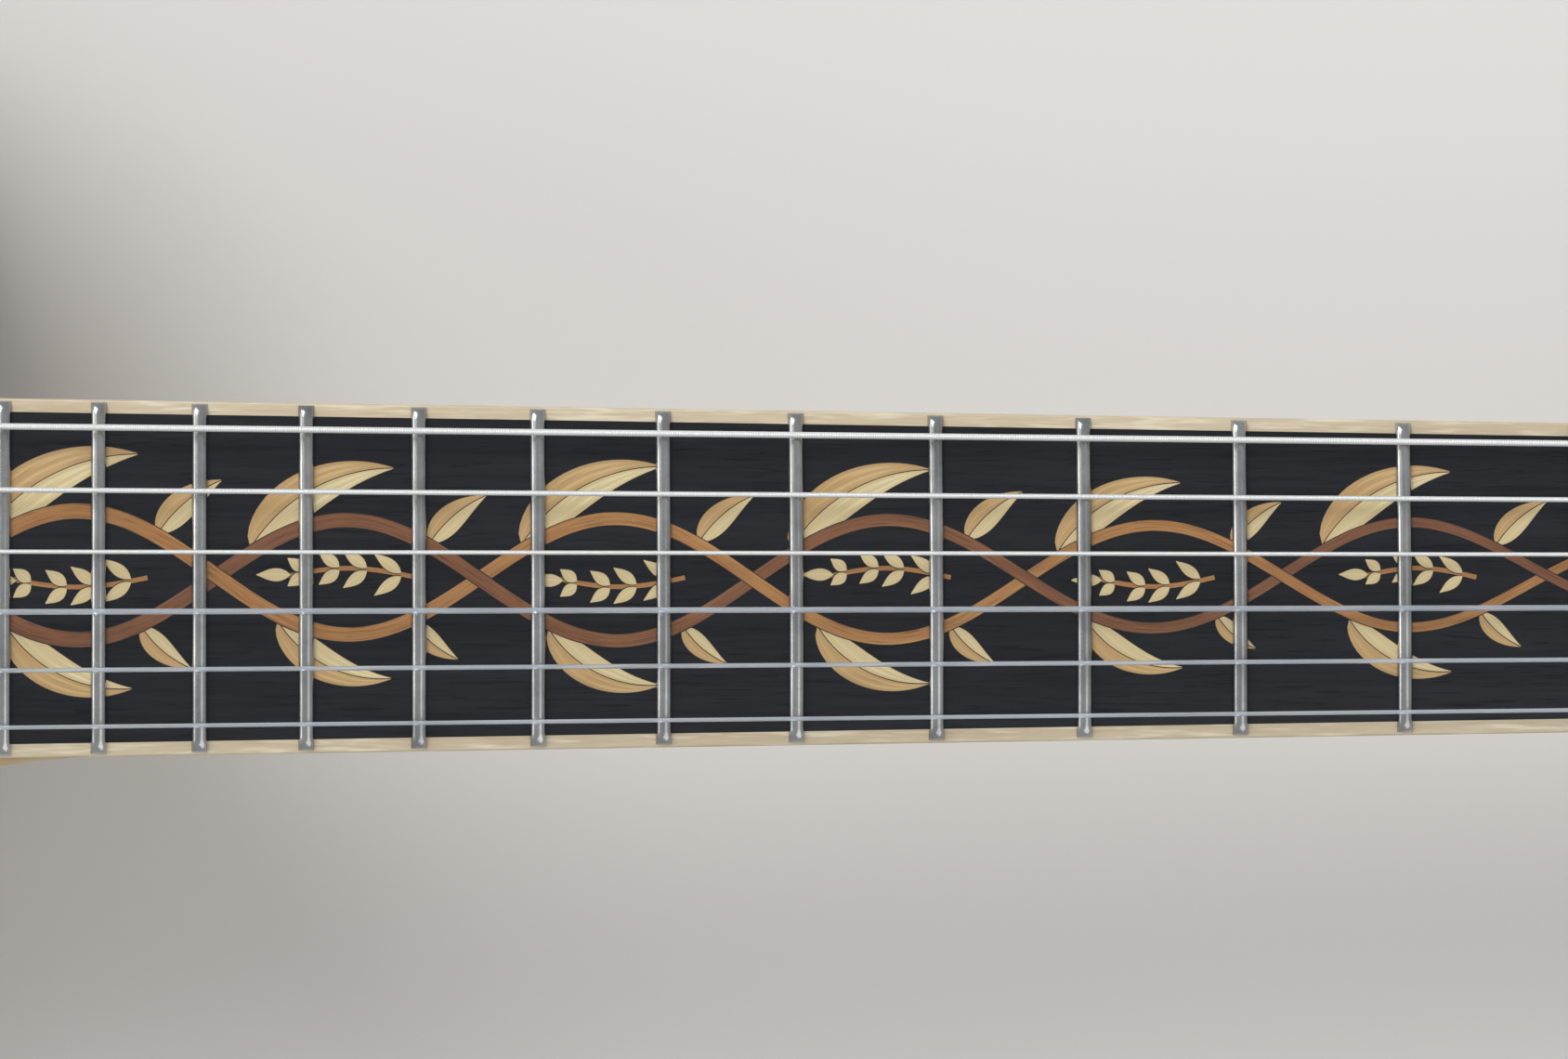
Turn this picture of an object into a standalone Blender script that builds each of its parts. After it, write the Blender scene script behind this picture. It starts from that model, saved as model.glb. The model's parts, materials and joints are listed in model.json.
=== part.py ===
"""Nylon string archtop guitar, built piece by piece in metres.

The guitar lies on its back. +X runs from the tail to the headstock, +Y is the
bass side and +Z points out of the soundboard. Three frames carry the pieces:
the body frame has the string line of the bridge at X = 0 and the glue plane of
the back at Z = 0, the neck frame is pitched back with its floor on the top
of the fingerboard, and the head frame leans back again behind the nut.
"""
import math

import bmesh
import bpy
import numpy as np
from mathutils import Matrix, Vector
from mathutils.geometry import delaunay_2d_cdt

# Clearance between pieces that touch.
GAP = 0.0003

# Scale and strings, from the low E to the high E.
SCALE_LENGTH = 0.650
FRET_COUNT = 20
BODY_JOIN_FRET = 16
STRING_NAMES = ("string_6_low_e", "string_5_a", "string_4_d", "string_3_g", "string_2_b", "string_1_high_e")
STRING_GAUGES = (0.00109, 0.00089, 0.00074, 0.00102, 0.00081, 0.00071)
NUT_SPREAD = 0.0446
BRIDGE_SPREAD = 0.0562
BASS_LEAN = 0.07
NUT_CLEARANCE = 0.0017
ACTION_AT_TWELVE = 0.0029

# Fingerboard, its edge binding and the frets.
NUT_WIDTH = 0.0512
TWELFTH_WIDTH = 0.0602
BOARD_RADIUS = 0.508
BOARD_THICKNESS = 0.0065
BOARD_OVERHANG = 0.0060
EDGE_BINDING = 0.00235
FRET_WIDTH = 0.0027
FRET_HEIGHT = 0.00125
FRET_TANG = 0.0005
FRET_TANG_DEPTH = 0.0016
FRET_INSET = 0.0005
FRET_BEVEL_END = 0.0004
NUT_THICKNESS = 0.0053
NUT_RISE = 0.0008

# Neck, heel and truss rod.
NECK_PITCH = math.radians(3.8)
NECK_DEPTH_NUT = 0.0148
NECK_DEPTH_HEEL = 0.0178
NECK_ROUNDNESS = 2.2
HEEL_LENGTH = 0.056
HEEL_FLARE = 0.0036
HEEL_FLARE_LENGTH = 0.0280
HEEL_FLARE_POWER = 1.4
HEEL_FOOT = 0.36
EXTENSION_CLEARANCE = 0.0015
TENON_LENGTH = 0.0220
TENON_WIDTH = 0.0250
TENON_FOOT_WIDTH = 0.0210
TENON_FOOT = 0.0060
ROD_RADIUS = 0.0025
ROD_CHANNEL_WIDTH = 0.0062
ROD_CHANNEL_DEPTH = 0.0086
ROD_NUT_RADIUS = 0.0040
ROD_NUT_LENGTH = 0.0100
ROD_POCKET_LENGTH = 0.0330
ROD_POCKET_WIDTH = 0.0100

# Headstock.
HEAD_ANGLE = math.radians(13.0)
HEAD_LENGTH = 0.165
HEAD_THICKNESS = 0.0145
HEAD_SHOULDER = 0.034
HEAD_WIDTH_SHOULDER = 0.0670
HEAD_WIDTH_END = 0.0590
HEAD_CROWN = 0.0060
HEAD_SPARE = 0.0020

# Tuning machines, three on a plate, with open gears.
POST_FIRST = 0.046
POST_PITCH = 0.040
POST_INSET = 0.0090
POST_RADIUS = 0.0032
POST_RISE = 0.0165
POST_HOLE_RISE = 0.0125
POST_SHANK = 0.0025
TUNER_PLATE = 0.0012
TUNER_PLATE_WIDTH = 0.0130
GEAR_TEETH = 14
GEAR_THICKNESS = 0.0030
WORM_PITCH_RADIUS = 0.0026
WORM_LEAD = 0.00233
WORM_TURNS = 2
TOOTH_DEPTH = 0.0013
WORM_SHAFT = 0.0013
LUG_THICKNESS = 0.0014
BUTTON_LENGTH = 0.0150
BUTTON_HALF_HEIGHT = 0.0080
BUTTON_HALF_THICKNESS = 0.0036
BUTTON_STANDOFF = 0.0065
WRAP_TURNS = 1.5
WRAP_SPACING = 0.00047
LOOP_POINTS = 24

# Body.
BODY_LENGTH = 0.508
LOWER_BOUT = 0.406
WAIST = 0.238
UPPER_BOUT = 0.292
RIB_DEPTH = 0.0720
RIB_THICKNESS = 0.0023
RIB_INSET = 0.0030
LINING_WIDTH = 0.0055
LINING_HEIGHT = 0.0140
PLATE_EDGE = 0.0045
TOP_ARCH = 0.0160
BACK_ARCH = 0.0155
CROWN_THICKNESS = 0.0056
RIM_MARGIN = 0.0080
LINING_MARGIN = 0.0125
ARCH_REACH = 0.080
BODY_BINDING = 0.0022
PLATE_GRID = 0.037
NECK_FLAT = 0.0350
NECK_BLOCK_LENGTH = 0.048
TAIL_BLOCK_LENGTH = 0.026
BLOCK_WIDTH = 0.060
BRACE_WIDTH = 0.0070
BRACE_HEIGHT = 0.0130
BRACE_END_HEIGHT = 0.0040
BRACE_CLEARANCE = 0.0008

# Sound holes.
EYE_UPPER = 0.0052
EYE_LOWER = 0.0066
STEM_HALF_WIDTH = 0.0041
STEM_TIP = 0.0011

# Bridge.
BRIDGE_RISE = 0.0265
BASE_LENGTH = 0.154
BASE_WIDTH = 0.0130
BASE_HEIGHT = 0.0085
BASE_TOE_HEIGHT = 0.0035
STUD_SPACING = 0.078
STUD_RADIUS = 0.0020
WHEEL_RADIUS = 0.0068
WHEEL_THICKNESS = 0.0030
WHEEL_KNURLS = 16
LIFT_DOWN = 0.0015
LIFT_UP = 0.0020
THREAD_PITCH = 0.0007
SADDLE_LENGTH = 0.098
SADDLE_WIDTH = 0.0095
SADDLE_CREST = 0.0030

# Tailpiece, its cord and the end pin.
TAIL_FRONT = -0.096
TAIL_FRONT_WIDTH = 0.0860
TAIL_WAIST_WIDTH = 0.0360
TAIL_BACK_WIDTH = 0.0400
TAIL_THICKNESS = 0.0090
TAIL_FRONT_RISE = 0.0105
TAIL_BACK_RISE = 0.0125
TAIL_BACK_MARGIN = 0.022
TAIL_BOW = 0.0026
CORD_RADIUS = 0.0014
CORD_SPACING = 0.0180
PIN_RADIUS = 0.0040
PIN_HEAD_RADIUS = 0.0078
PIN_HEAD_THICKNESS = 0.0050
PIN_HEIGHT = 0.0360

# Finishes: colour, roughness and metallic value.
FINISHES = {
    "ebony": ((0.018, 0.017, 0.017), 0.38, 0.0),
    "maple": ((0.520, 0.330, 0.160), 0.30, 0.0),
    "pale_maple": ((0.640, 0.520, 0.340), 0.35, 0.0),
    "spruce": ((0.640, 0.420, 0.190), 0.30, 0.0),
    "inner_wood": ((0.560, 0.410, 0.240), 0.70, 0.0),
    "bone": ((0.760, 0.710, 0.580), 0.35, 0.0),
    "nickel_silver": ((0.610, 0.600, 0.570), 0.22, 1.0),
    "steel": ((0.400, 0.400, 0.410), 0.35, 1.0),
    "gold": ((0.800, 0.560, 0.220), 0.25, 1.0),
    "wound_string": ((0.720, 0.710, 0.690), 0.28, 1.0),
    "nylon": ((0.620, 0.650, 0.680), 0.20, 0.0),
    "black_cord": ((0.020, 0.020, 0.020), 0.60, 0.0),
}


# Small modelling helpers.

def clear_scene():
    """Take away whatever the file starts with."""
    for thing in list(bpy.data.objects):
        bpy.data.objects.remove(thing, do_unlink=True)


def finish(name, kind):
    """Make the Principled material of one piece."""
    colour, roughness, metallic = FINISHES[kind]
    look = bpy.data.materials.new(name + "_" + kind)
    look.use_nodes = True
    shader = look.node_tree.nodes["Principled BSDF"]
    shader.inputs["Base Color"].default_value = (*colour, 1.0)
    shader.inputs["Roughness"].default_value = roughness
    shader.inputs["Metallic"].default_value = metallic
    look.diffuse_color = (*colour, 1.0)
    return look


def frame(name, parent, matrix):
    """Make an empty that carries other pieces."""
    empty = bpy.data.objects.new(name, None)
    bpy.context.collection.objects.link(empty)
    empty.parent = parent
    empty.matrix_local = matrix
    return empty


def solid(name, verts, faces, kind, parent, place=None, crease=35.0):
    """Make one object from points and faces, with its faces turned outward."""
    mesh = bpy.data.meshes.new(name)
    mesh.from_pydata([tuple(v) for v in verts], [], faces)
    work = bmesh.new()
    work.from_mesh(mesh)
    bmesh.ops.recalc_face_normals(work, faces=work.faces)
    work.to_mesh(mesh)
    work.free()
    mesh.shade_smooth()
    mesh.set_sharp_from_angle(angle=math.radians(crease))
    thing = bpy.data.objects.new(name, mesh)
    bpy.context.collection.objects.link(thing)
    thing.parent = parent
    if place is not None:
        thing.matrix_local = place
    if kind:
        mesh.materials.append(finish(name, kind))
    return thing


def skin(rings, closed=False):
    """Join rings of points into faces, with flat ends unless the rings close."""
    count = len(rings[0])
    verts = [p for ring in rings for p in ring]
    faces = []
    spans = len(rings) if closed else len(rings) - 1
    for i in range(spans):
        a = i * count
        b = ((i + 1) % len(rings)) * count
        for j in range(count):
            k = (j + 1) % count
            faces.append((a + j, a + k, b + k, b + j))
    if not closed:
        faces.append(tuple(range(count)))
        faces.append(tuple((len(rings) - 1) * count + j for j in range(count)))
    return verts, faces


def prism(outline, low, high):
    """Extrude a flat outline between two heights."""
    return skin([[(x, y, low) for x, y in outline], [(x, y, high) for x, y in outline]])


def circle(radius, count, start=0.0):
    """Give the points of a circle in a plane."""
    steps = (start + 2 * math.pi * i / count for i in range(count))
    return [(radius * math.cos(a), radius * math.sin(a)) for a in steps]


def turned(profile, count):
    """Turn a profile of radius and height pairs about Z, with flat ends."""
    return skin([[(x, y, z) for x, y in circle(r, count)] for r, z in profile])


def hide_tool(thing):
    """Mark a shape as a cutter or an added part that isn't a piece itself."""
    thing.hide_render = True
    thing.display_type = "WIRE"
    return thing


def combine(target, tool, operation="DIFFERENCE"):
    """Cut a tool from a piece, or add it, with an exact Boolean."""
    change = target.modifiers.new(operation.lower() + "_" + tool.name, "BOOLEAN")
    change.object = hide_tool(tool)
    change.operation = operation
    change.solver = "EXACT"
    return change


def bezier(a, b, c, d, count):
    """Give count points along a cubic curve, without its last point."""
    points = []
    for i in range(count):
        t = i / count
        s = 1 - t
        points.append(tuple(s ** 3 * a[k] + 3 * s * s * t * b[k] + 3 * s * t * t * c[k] + t ** 3 * d[k]
                            for k in range(len(a))))
    return points


def offset(outline, distance):
    """Move a closed outline inward, with mitred corners."""
    moved = []
    for i, point in enumerate(outline):
        before = Vector(outline[i - 1])
        here = Vector(point)
        after = Vector(outline[(i + 1) % len(outline)])
        first = (here - before).normalized()
        second = (after - here).normalized()
        n1 = Vector((first.y, -first.x))
        n2 = Vector((second.y, -second.x))
        mitre = (n1 + n2) / (1.0 + n1.dot(n2))
        spot = here - mitre * distance
        moved.append((spot.x, spot.y))
    return moved


def tube(name, points, radius, kind, parent, resolution=1):
    """Make a round tube along points, with filled ends."""
    curve = bpy.data.curves.new(name, "CURVE")
    curve.dimensions = "3D"
    curve.bevel_depth = radius
    curve.bevel_resolution = resolution
    curve.use_fill_caps = True
    line = curve.splines.new("POLY")
    line.points.add(len(points) - 1)
    for spot, point in zip(line.points, points):
        spot.co = (*point, 1.0)
    line.use_smooth = True
    thing = bpy.data.objects.new(name, curve)
    bpy.context.collection.objects.link(thing)
    thing.parent = parent
    curve.materials.append(finish(name, kind))
    return thing


def smooth_step(t):
    """Ease from 0 to 1."""
    t = min(1.0, max(0.0, t))
    return t * t * (3 - 2 * t)


# Sizes that follow from the ones above.

def fret_place(number):
    """Distance of a fret from the bridge line."""
    return SCALE_LENGTH * 2 ** (-number / 12)


def half_board(x):
    """Half the width of the bound fingerboard at a distance from the bridge."""
    slope = (TWELFTH_WIDTH - NUT_WIDTH) / (SCALE_LENGTH - fret_place(12))
    return (NUT_WIDTH + slope * (SCALE_LENGTH - x)) / 2


def drop(y):
    """Fall of the fingerboard's round top from its middle line."""
    return BOARD_RADIUS - math.sqrt(BOARD_RADIUS ** 2 - y * y)


JOIN = fret_place(BODY_JOIN_FRET) - 0.0010
TAIL = JOIN - BODY_LENGTH
TOP_RIM = RIB_DEPTH + GAP + PLATE_EDGE
BACK_RIM = -GAP - PLATE_EDGE
BOARD_END = fret_place(FRET_COUNT) - BOARD_OVERHANG
NUT_BACK = SCALE_LENGTH + NUT_THICKNESS + GAP
SADDLE_CLEARANCE = 2 * (FRET_HEIGHT + ACTION_AT_TWELVE) - NUT_CLEARANCE
GEAR_RADIUS = GEAR_TEETH * WORM_LEAD / (2 * math.pi)
GEAR_OFFSET = GEAR_RADIUS + WORM_PITCH_RADIUS
LEAD_ANGLE = math.atan(WORM_LEAD / (2 * math.pi * WORM_PITCH_RADIUS))
THREAD_ROOT_HALF = 0.285
THREAD_CREST_HALF = 0.100
WORM_HALF = (WORM_TURNS + 1 + 2 * THREAD_ROOT_HALF) / 2 * WORM_LEAD + GAP
LUG_PLACE = WORM_HALF + GAP


def body_outline(density):
    """Give the body's outline, anticlockwise, starting at the heel's bass corner."""
    lower_x = TAIL + 0.242 * BODY_LENGTH
    waist_x = JOIN - 0.388 * BODY_LENGTH
    upper_x = JOIN - 0.176 * BODY_LENGTH
    half_waist = WAIST / 2
    half_upper = UPPER_BOUT / 2
    half_lower = LOWER_BOUT / 2
    horn = (JOIN - 0.040, -0.098)
    cut = (JOIN - 0.064, -0.0565)
    treble_bout = (upper_x - 0.008, -half_upper + 0.012)
    bass_corner = (JOIN, NECK_FLAT)
    treble_corner = (JOIN, -NECK_FLAT)
    bass_bout = (upper_x, half_upper)
    bass_waist = (waist_x, half_waist)
    bass_lower = (lower_x, half_lower)
    tail = (TAIL, 0.0)
    treble_lower = (lower_x, -half_lower)
    treble_waist = (waist_x, -half_waist)
    spans = (
        (bass_corner, (JOIN, NECK_FLAT + 0.058), (upper_x + 0.058, half_upper), bass_bout, 7),
        (bass_bout, (upper_x - 0.045, half_upper), (waist_x + 0.045, half_waist), bass_waist, 4),
        (bass_waist, (waist_x - 0.062, half_waist), (lower_x + 0.078, half_lower), bass_lower, 6),
        (bass_lower, (lower_x - 0.080, half_lower), (TAIL, 0.108), tail, 8),
        (tail, (TAIL, -0.108), (lower_x - 0.080, -half_lower), treble_lower, 8),
        (treble_lower, (lower_x + 0.078, -half_lower), (waist_x - 0.062, -half_waist), treble_waist, 6),
        (treble_waist, (waist_x + 0.045, -half_waist), (treble_bout[0] - 0.040, treble_bout[1]), treble_bout, 4),
        (treble_bout, (treble_bout[0] + 0.036, treble_bout[1]), (horn[0], horn[1] - 0.022), horn, 6),
        (horn, (horn[0], horn[1] + 0.019), (cut[0], cut[1] - 0.019), cut, 6),
        (cut, (cut[0], cut[1] + 0.017), (JOIN - 0.038, -NECK_FLAT - 0.001), treble_corner, 6),
        (treble_corner, (JOIN, -NECK_FLAT / 3), (JOIN, NECK_FLAT / 3), bass_corner, 2),
    )
    outline = []
    for a, b, c, d, count in spans:
        outline.extend(bezier(a, b, c, d, count * density))
    return outline


class Arching:
    """Smooth dome over the body's outline, level along its rim."""

    def __init__(self, outline):
        points = np.array(outline)
        after = np.roll(points, -1, axis=0)
        self.middles = (points + after) / 2
        self.lengths = np.linalg.norm(after - points, axis=1)
        self.full = self.depth_in(TAIL + 0.242 * BODY_LENGTH, 0.0)

    def depth_in(self, x, y):
        """Smooth stand-in for the distance from the edge."""
        away = np.hypot(self.middles[:, 0] - x, self.middles[:, 1] - y)
        away = np.maximum(away, 1e-5)
        return float(math.sqrt(2.0) * np.sum(self.lengths / away ** 3) ** -0.5)

    def share(self, x, y, margin):
        """Share of the full height at a point, 0 on the rim and 1 at the crown."""
        inner = max(0.0, self.depth_in(x, y) - margin)
        t = math.tanh(inner / ARCH_REACH) / math.tanh((self.full - margin) / ARCH_REACH)
        return (1 - math.cos(math.pi * min(1.0, t))) / 2


OUTLINE = body_outline(1)
ARCHING = Arching(body_outline(6))


def top_height(x, y):
    """Height of the soundboard's outer face."""
    return TOP_RIM + TOP_ARCH * ARCHING.share(x, y, RIM_MARGIN)


def top_underside(x, y):
    """Height of the soundboard's inner face."""
    rise = PLATE_EDGE + TOP_ARCH - CROWN_THICKNESS
    return RIB_DEPTH + GAP + rise * ARCHING.share(x, y, LINING_MARGIN)


def back_height(x, y):
    """Height of the back's outer face."""
    return BACK_RIM - BACK_ARCH * ARCHING.share(x, y, RIM_MARGIN)


def back_inside(x, y):
    """Height of the back's inner face."""
    rise = PLATE_EDGE + BACK_ARCH - CROWN_THICKNESS
    return -GAP - rise * ARCHING.share(x, y, LINING_MARGIN)


CROWN = top_height(0.0, 0.0)
BOARD_HEIGHT = CROWN + BRIDGE_RISE - SADDLE_CLEARANCE
NECK_MATRIX = Matrix.Translation((0.0, 0.0, BOARD_HEIGHT)) @ Matrix.Rotation(NECK_PITCH, 4, "Y")
HEAD_START = Matrix.Translation((NUT_BACK, 0.0, -BOARD_THICKNESS - GAP))
HEAD_MATRIX = NECK_MATRIX @ HEAD_START @ Matrix.Rotation(HEAD_ANGLE, 4, "Y")


def neck_top(x):
    """Height of the neck's flat top, under the fingerboard, at a place in the body frame."""
    along = (x + (BOARD_THICKNESS + GAP) * math.sin(NECK_PITCH)) / math.cos(NECK_PITCH)
    return (NECK_MATRIX @ Vector((along, 0.0, -BOARD_THICKNESS - GAP))).z


# Body.

def make_plate(name, kind, parent, outer, inner):
    """Make an arched plate from its outline, with an even grid of points inside."""
    rim = offset(OUTLINE, BODY_BINDING + GAP)
    ledge = offset(OUTLINE, RIM_MARGIN + 0.002)
    points = [Vector(p) for p in rim + ledge]
    count = len(rim)
    edges = [(i, (i + 1) % count) for i in range(count)]
    edges += [(count + i, count + (i + 1) % count) for i in range(count)]
    rows = int(LOWER_BOUT / PLATE_GRID) + 2
    columns = int(BODY_LENGTH / PLATE_GRID) + 2
    inside = np.array(offset(OUTLINE, RIM_MARGIN + 0.6 * PLATE_GRID))
    for i in range(-1, columns * 2):
        for j in range(-rows, rows + 1):
            x = TAIL + (i + 0.5) * PLATE_GRID * 0.866
            y = (j + 0.5 * (i % 2)) * PLATE_GRID
            if within(inside, x, y) and ARCHING.depth_in(x, y) > RIM_MARGIN + 0.45 * PLATE_GRID:
                points.append(Vector((x, y)))
    flat, _, faces, _, _, _ = delaunay_2d_cdt(points, edges, [], 1, 1e-6)
    total = len(flat)
    verts = [(p.x, p.y, outer(p.x, p.y)) for p in flat]
    verts += [(p.x, p.y, inner(p.x, p.y)) for p in flat]
    skins = [tuple(f) for f in faces] + [tuple(i + total for i in reversed(f)) for f in faces]
    used = {}
    for face in faces:
        for a, b in zip(face, list(face[1:]) + [face[0]]):
            used[(a, b)] = True
    for a, b in used:
        if (b, a) not in used:
            skins.append((b, a, a + total, b + total))
    return solid(name, verts, skins, kind, parent, crease=50.0)


def within(outline, x, y):
    """Say whether a point lies inside an outline."""
    inside = False
    count = len(outline)
    for i in range(count):
        x1, y1 = outline[i]
        x2, y2 = outline[(i + 1) % count]
        if (y1 > y) != (y2 > y) and x < (x2 - x1) * (y - y1) / (y2 - y1) + x1:
            inside = not inside
    return inside


def ring_around(name, section, kind, parent):
    """Run a section of inset and height pairs round the body's outline."""
    loops = [offset(OUTLINE, inset) for inset, _ in section]
    rings = []
    for i in range(len(OUTLINE)):
        rings.append([(loop[i][0], loop[i][1], height) for loop, (_, height) in zip(loops, section)])
    verts, faces = skin(rings, closed=True)
    return solid(name, verts, faces, kind, parent, crease=50.0)


def sound_hole(side):
    """Give the cutter of one sound hole: two round eyes joined by a long curved stem."""
    upper = (0.0570, side * 0.0510)
    crest = (0.0690, side * 0.0600)
    middle = (0.0, side * 0.0800)
    rise = (0.0570, side * 0.0500)
    half = bezier((upper[0] + 0.0035, upper[1] - side * 0.001), (crest[0] - 0.001, rise[1]),
                  (crest[0] + 0.0010, crest[1] - side * 0.0030), crest, 3)
    half += bezier(crest, (crest[0] - 0.0015, crest[1] + side * 0.010), (0.030, middle[1] - side * 0.0035),
                   middle, 5)
    line = half + [middle] + [(-x, 2 * middle[1] - y) for x, y in reversed(half)]
    left = []
    right = []
    last = len(line) - 1
    for i, point in enumerate(line):
        before = Vector(line[max(0, i - 1)])
        after = Vector(line[min(last, i + 1)])
        run = (after - before).normalized()
        t = i / last
        swell = math.sin(math.pi * smooth_step(t)) ** 1.4
        width = STEM_TIP + (STEM_HALF_WIDTH - STEM_TIP) * swell
        left.append((point[0] - run.y * width, point[1] + run.x * width))
        right.append((point[0] + run.y * width, point[1] - run.x * width))
    low = RIB_DEPTH - 0.010
    high = CROWN + 0.010
    name = "bass" if side > 0 else "treble"
    stem = solid(name + "_stem_cutter", *prism(left + right[::-1], low, high), None, None)
    lower = (-upper[0], 2 * middle[1] - upper[1])
    tools = [stem]
    for word, spot, radius in (("upper", upper, EYE_UPPER), ("lower", lower, EYE_LOWER)):
        ring = [(spot[0] + x, spot[1] + y) for x, y in circle(radius, 12, 0.11)]
        tools.append(solid(name + "_" + word + "_eye_cutter", *prism(ring, low, high), None, None))
    return tools


def tenon_box(name, parent, spare, low, high):
    """Make the tapered tenon, or with spare room the slot that takes it."""
    rings = []
    for z in (low, high):
        share = (z - TENON_FOOT) / (TOP_RIM - TENON_FOOT)
        half = (TENON_FOOT_WIDTH + (TENON_WIDTH - TENON_FOOT_WIDTH) * share) / 2 + spare
        back = JOIN - TENON_LENGTH - spare
        front = JOIN + 0.008
        rings.append([(back, -half, z), (front, -half, z), (front, half, z), (back, half, z)])
    return solid(name, *skin(rings), None, parent)


def make_body(guitar):
    """Make the plates, ribs, blocks, bindings and the brace of the sound box."""
    top = make_plate("top_plate", "spruce", guitar, top_height, top_underside)
    back = make_plate("back_plate", "maple", guitar, back_height, back_inside)
    for side in (1, -1):
        for tool in sound_hole(side):
            tool.parent = guitar
            combine(top, tool)
    wall = RIB_INSET + RIB_THICKNESS
    lining = RIB_INSET + LINING_WIDTH + RIB_THICKNESS
    ribs = ring_around("ribs", (
        (RIB_INSET, 0.0), (RIB_INSET, RIB_DEPTH), (lining, RIB_DEPTH), (wall, RIB_DEPTH - LINING_HEIGHT),
        (wall, LINING_HEIGHT), (lining, 0.0)), "maple", guitar)
    top_binding = ring_around("top_binding", (
        (0.0, RIB_DEPTH + GAP), (0.0, TOP_RIM), (BODY_BINDING, TOP_RIM),
        (BODY_BINDING, RIB_DEPTH + GAP)), "pale_maple", guitar)
    ring_around("back_binding", (
        (0.0, BACK_RIM), (0.0, -GAP), (BODY_BINDING, -GAP), (BODY_BINDING, BACK_RIM)), "pale_maple", guitar)
    treble_room = NECK_FLAT - RIB_INSET - RIB_THICKNESS - LINING_WIDTH - GAP
    make_block("neck_block", JOIN, -1, NECK_BLOCK_LENGTH, 0.0, (-treble_room, BLOCK_WIDTH / 2), guitar)
    make_block("tail_block", TAIL, 1, TAIL_BLOCK_LENGTH, 0.0016, (-BLOCK_WIDTH / 2, BLOCK_WIDTH / 2), guitar)
    slot = tenon_box("tenon_slot", guitar, GAP, TENON_FOOT - GAP, TOP_RIM + 0.020)
    for piece in (top, top_binding, ribs, bpy.data.objects["neck_block"]):
        combine(piece, slot)
    pin_hole = turned(((PIN_RADIUS + GAP, -0.004), (PIN_RADIUS + GAP, TAIL_BLOCK_LENGTH + 0.020)), 14)
    along = Matrix.Translation((TAIL, 0.0, PIN_HEIGHT)) @ Matrix.Rotation(math.pi / 2, 4, "Y")
    drill = solid("pin_hole_cutter", *pin_hole, None, guitar, along)
    combine(ribs, drill)
    combine(bpy.data.objects["tail_block"], drill)
    make_brace(guitar)
    return back


def make_block(name, edge, way, length, spare, sides, guitar):
    """Make an end block that fits between the linings and against the rib."""
    wall = edge + way * (RIB_INSET + RIB_THICKNESS + GAP + spare)
    ledge = edge + way * (RIB_INSET + RIB_THICKNESS + LINING_WIDTH + GAP + spare)
    inner = edge + way * length
    profile = ((inner, GAP), (ledge, GAP), (wall, LINING_HEIGHT + GAP), (wall, RIB_DEPTH - LINING_HEIGHT - GAP),
               (ledge, RIB_DEPTH - GAP), (inner, RIB_DEPTH - GAP))
    rings = [[(x, y, z) for x, z in profile] for y in sides]
    return solid(name, *skin(rings), "inner_wood", guitar)


def make_brace(guitar):
    """Make the crossed bars under the soundboard, curved to its inner face."""
    bars = []
    for side, name in ((1, "x_brace"), (-1, "brace_arm")):
        start = Vector((0.165, side * 0.066))
        end = Vector((-0.158, -side * 0.082))
        across = (end - start).normalized()
        across = Vector((-across.y, across.x)) * BRACE_WIDTH / 2
        rings = []
        stations = 8
        for i in range(stations + 1):
            t = i / stations
            spot = start.lerp(end, t)
            height = BRACE_END_HEIGHT + (BRACE_HEIGHT - BRACE_END_HEIGHT) * math.sin(math.pi * t) ** 0.7
            a = spot + across
            b = spot - across
            top_a = top_underside(a.x, a.y) - BRACE_CLEARANCE
            top_b = top_underside(b.x, b.y) - BRACE_CLEARANCE
            rings.append([(a.x, a.y, top_a), (b.x, b.y, top_b),
                          (b.x, b.y, top_b - 0.8 * height), (spot.x, spot.y, min(top_a, top_b) - height),
                          (a.x, a.y, top_a - 0.8 * height)])
        bars.append(solid(name, *skin(rings), "inner_wood" if side > 0 else None, guitar))
    combine(bars[0], bars[1], "UNION")


# Neck.

def section(bass, treble, depth, roundness, foot):
    """Give a neck section: flat on top, rounded below and narrowed to its foot."""
    points = []
    steps = 10
    for i in range(steps + 1):
        angle = math.pi * i / steps
        c = math.cos(angle)
        s = math.sin(angle)
        out = abs(c) ** (2 / roundness)
        down = s ** (2 / roundness) if s > 1e-9 else 0.0
        half = bass if c >= 0 else treble
        y = math.copysign(out, c) * half * (1 - (1 - foot) * down)
        points.append((y, -depth * down))
    for i in (1, 2, 3):
        points.append((-treble + (bass + treble) * i / 4, 0.0))
    return points


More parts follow.
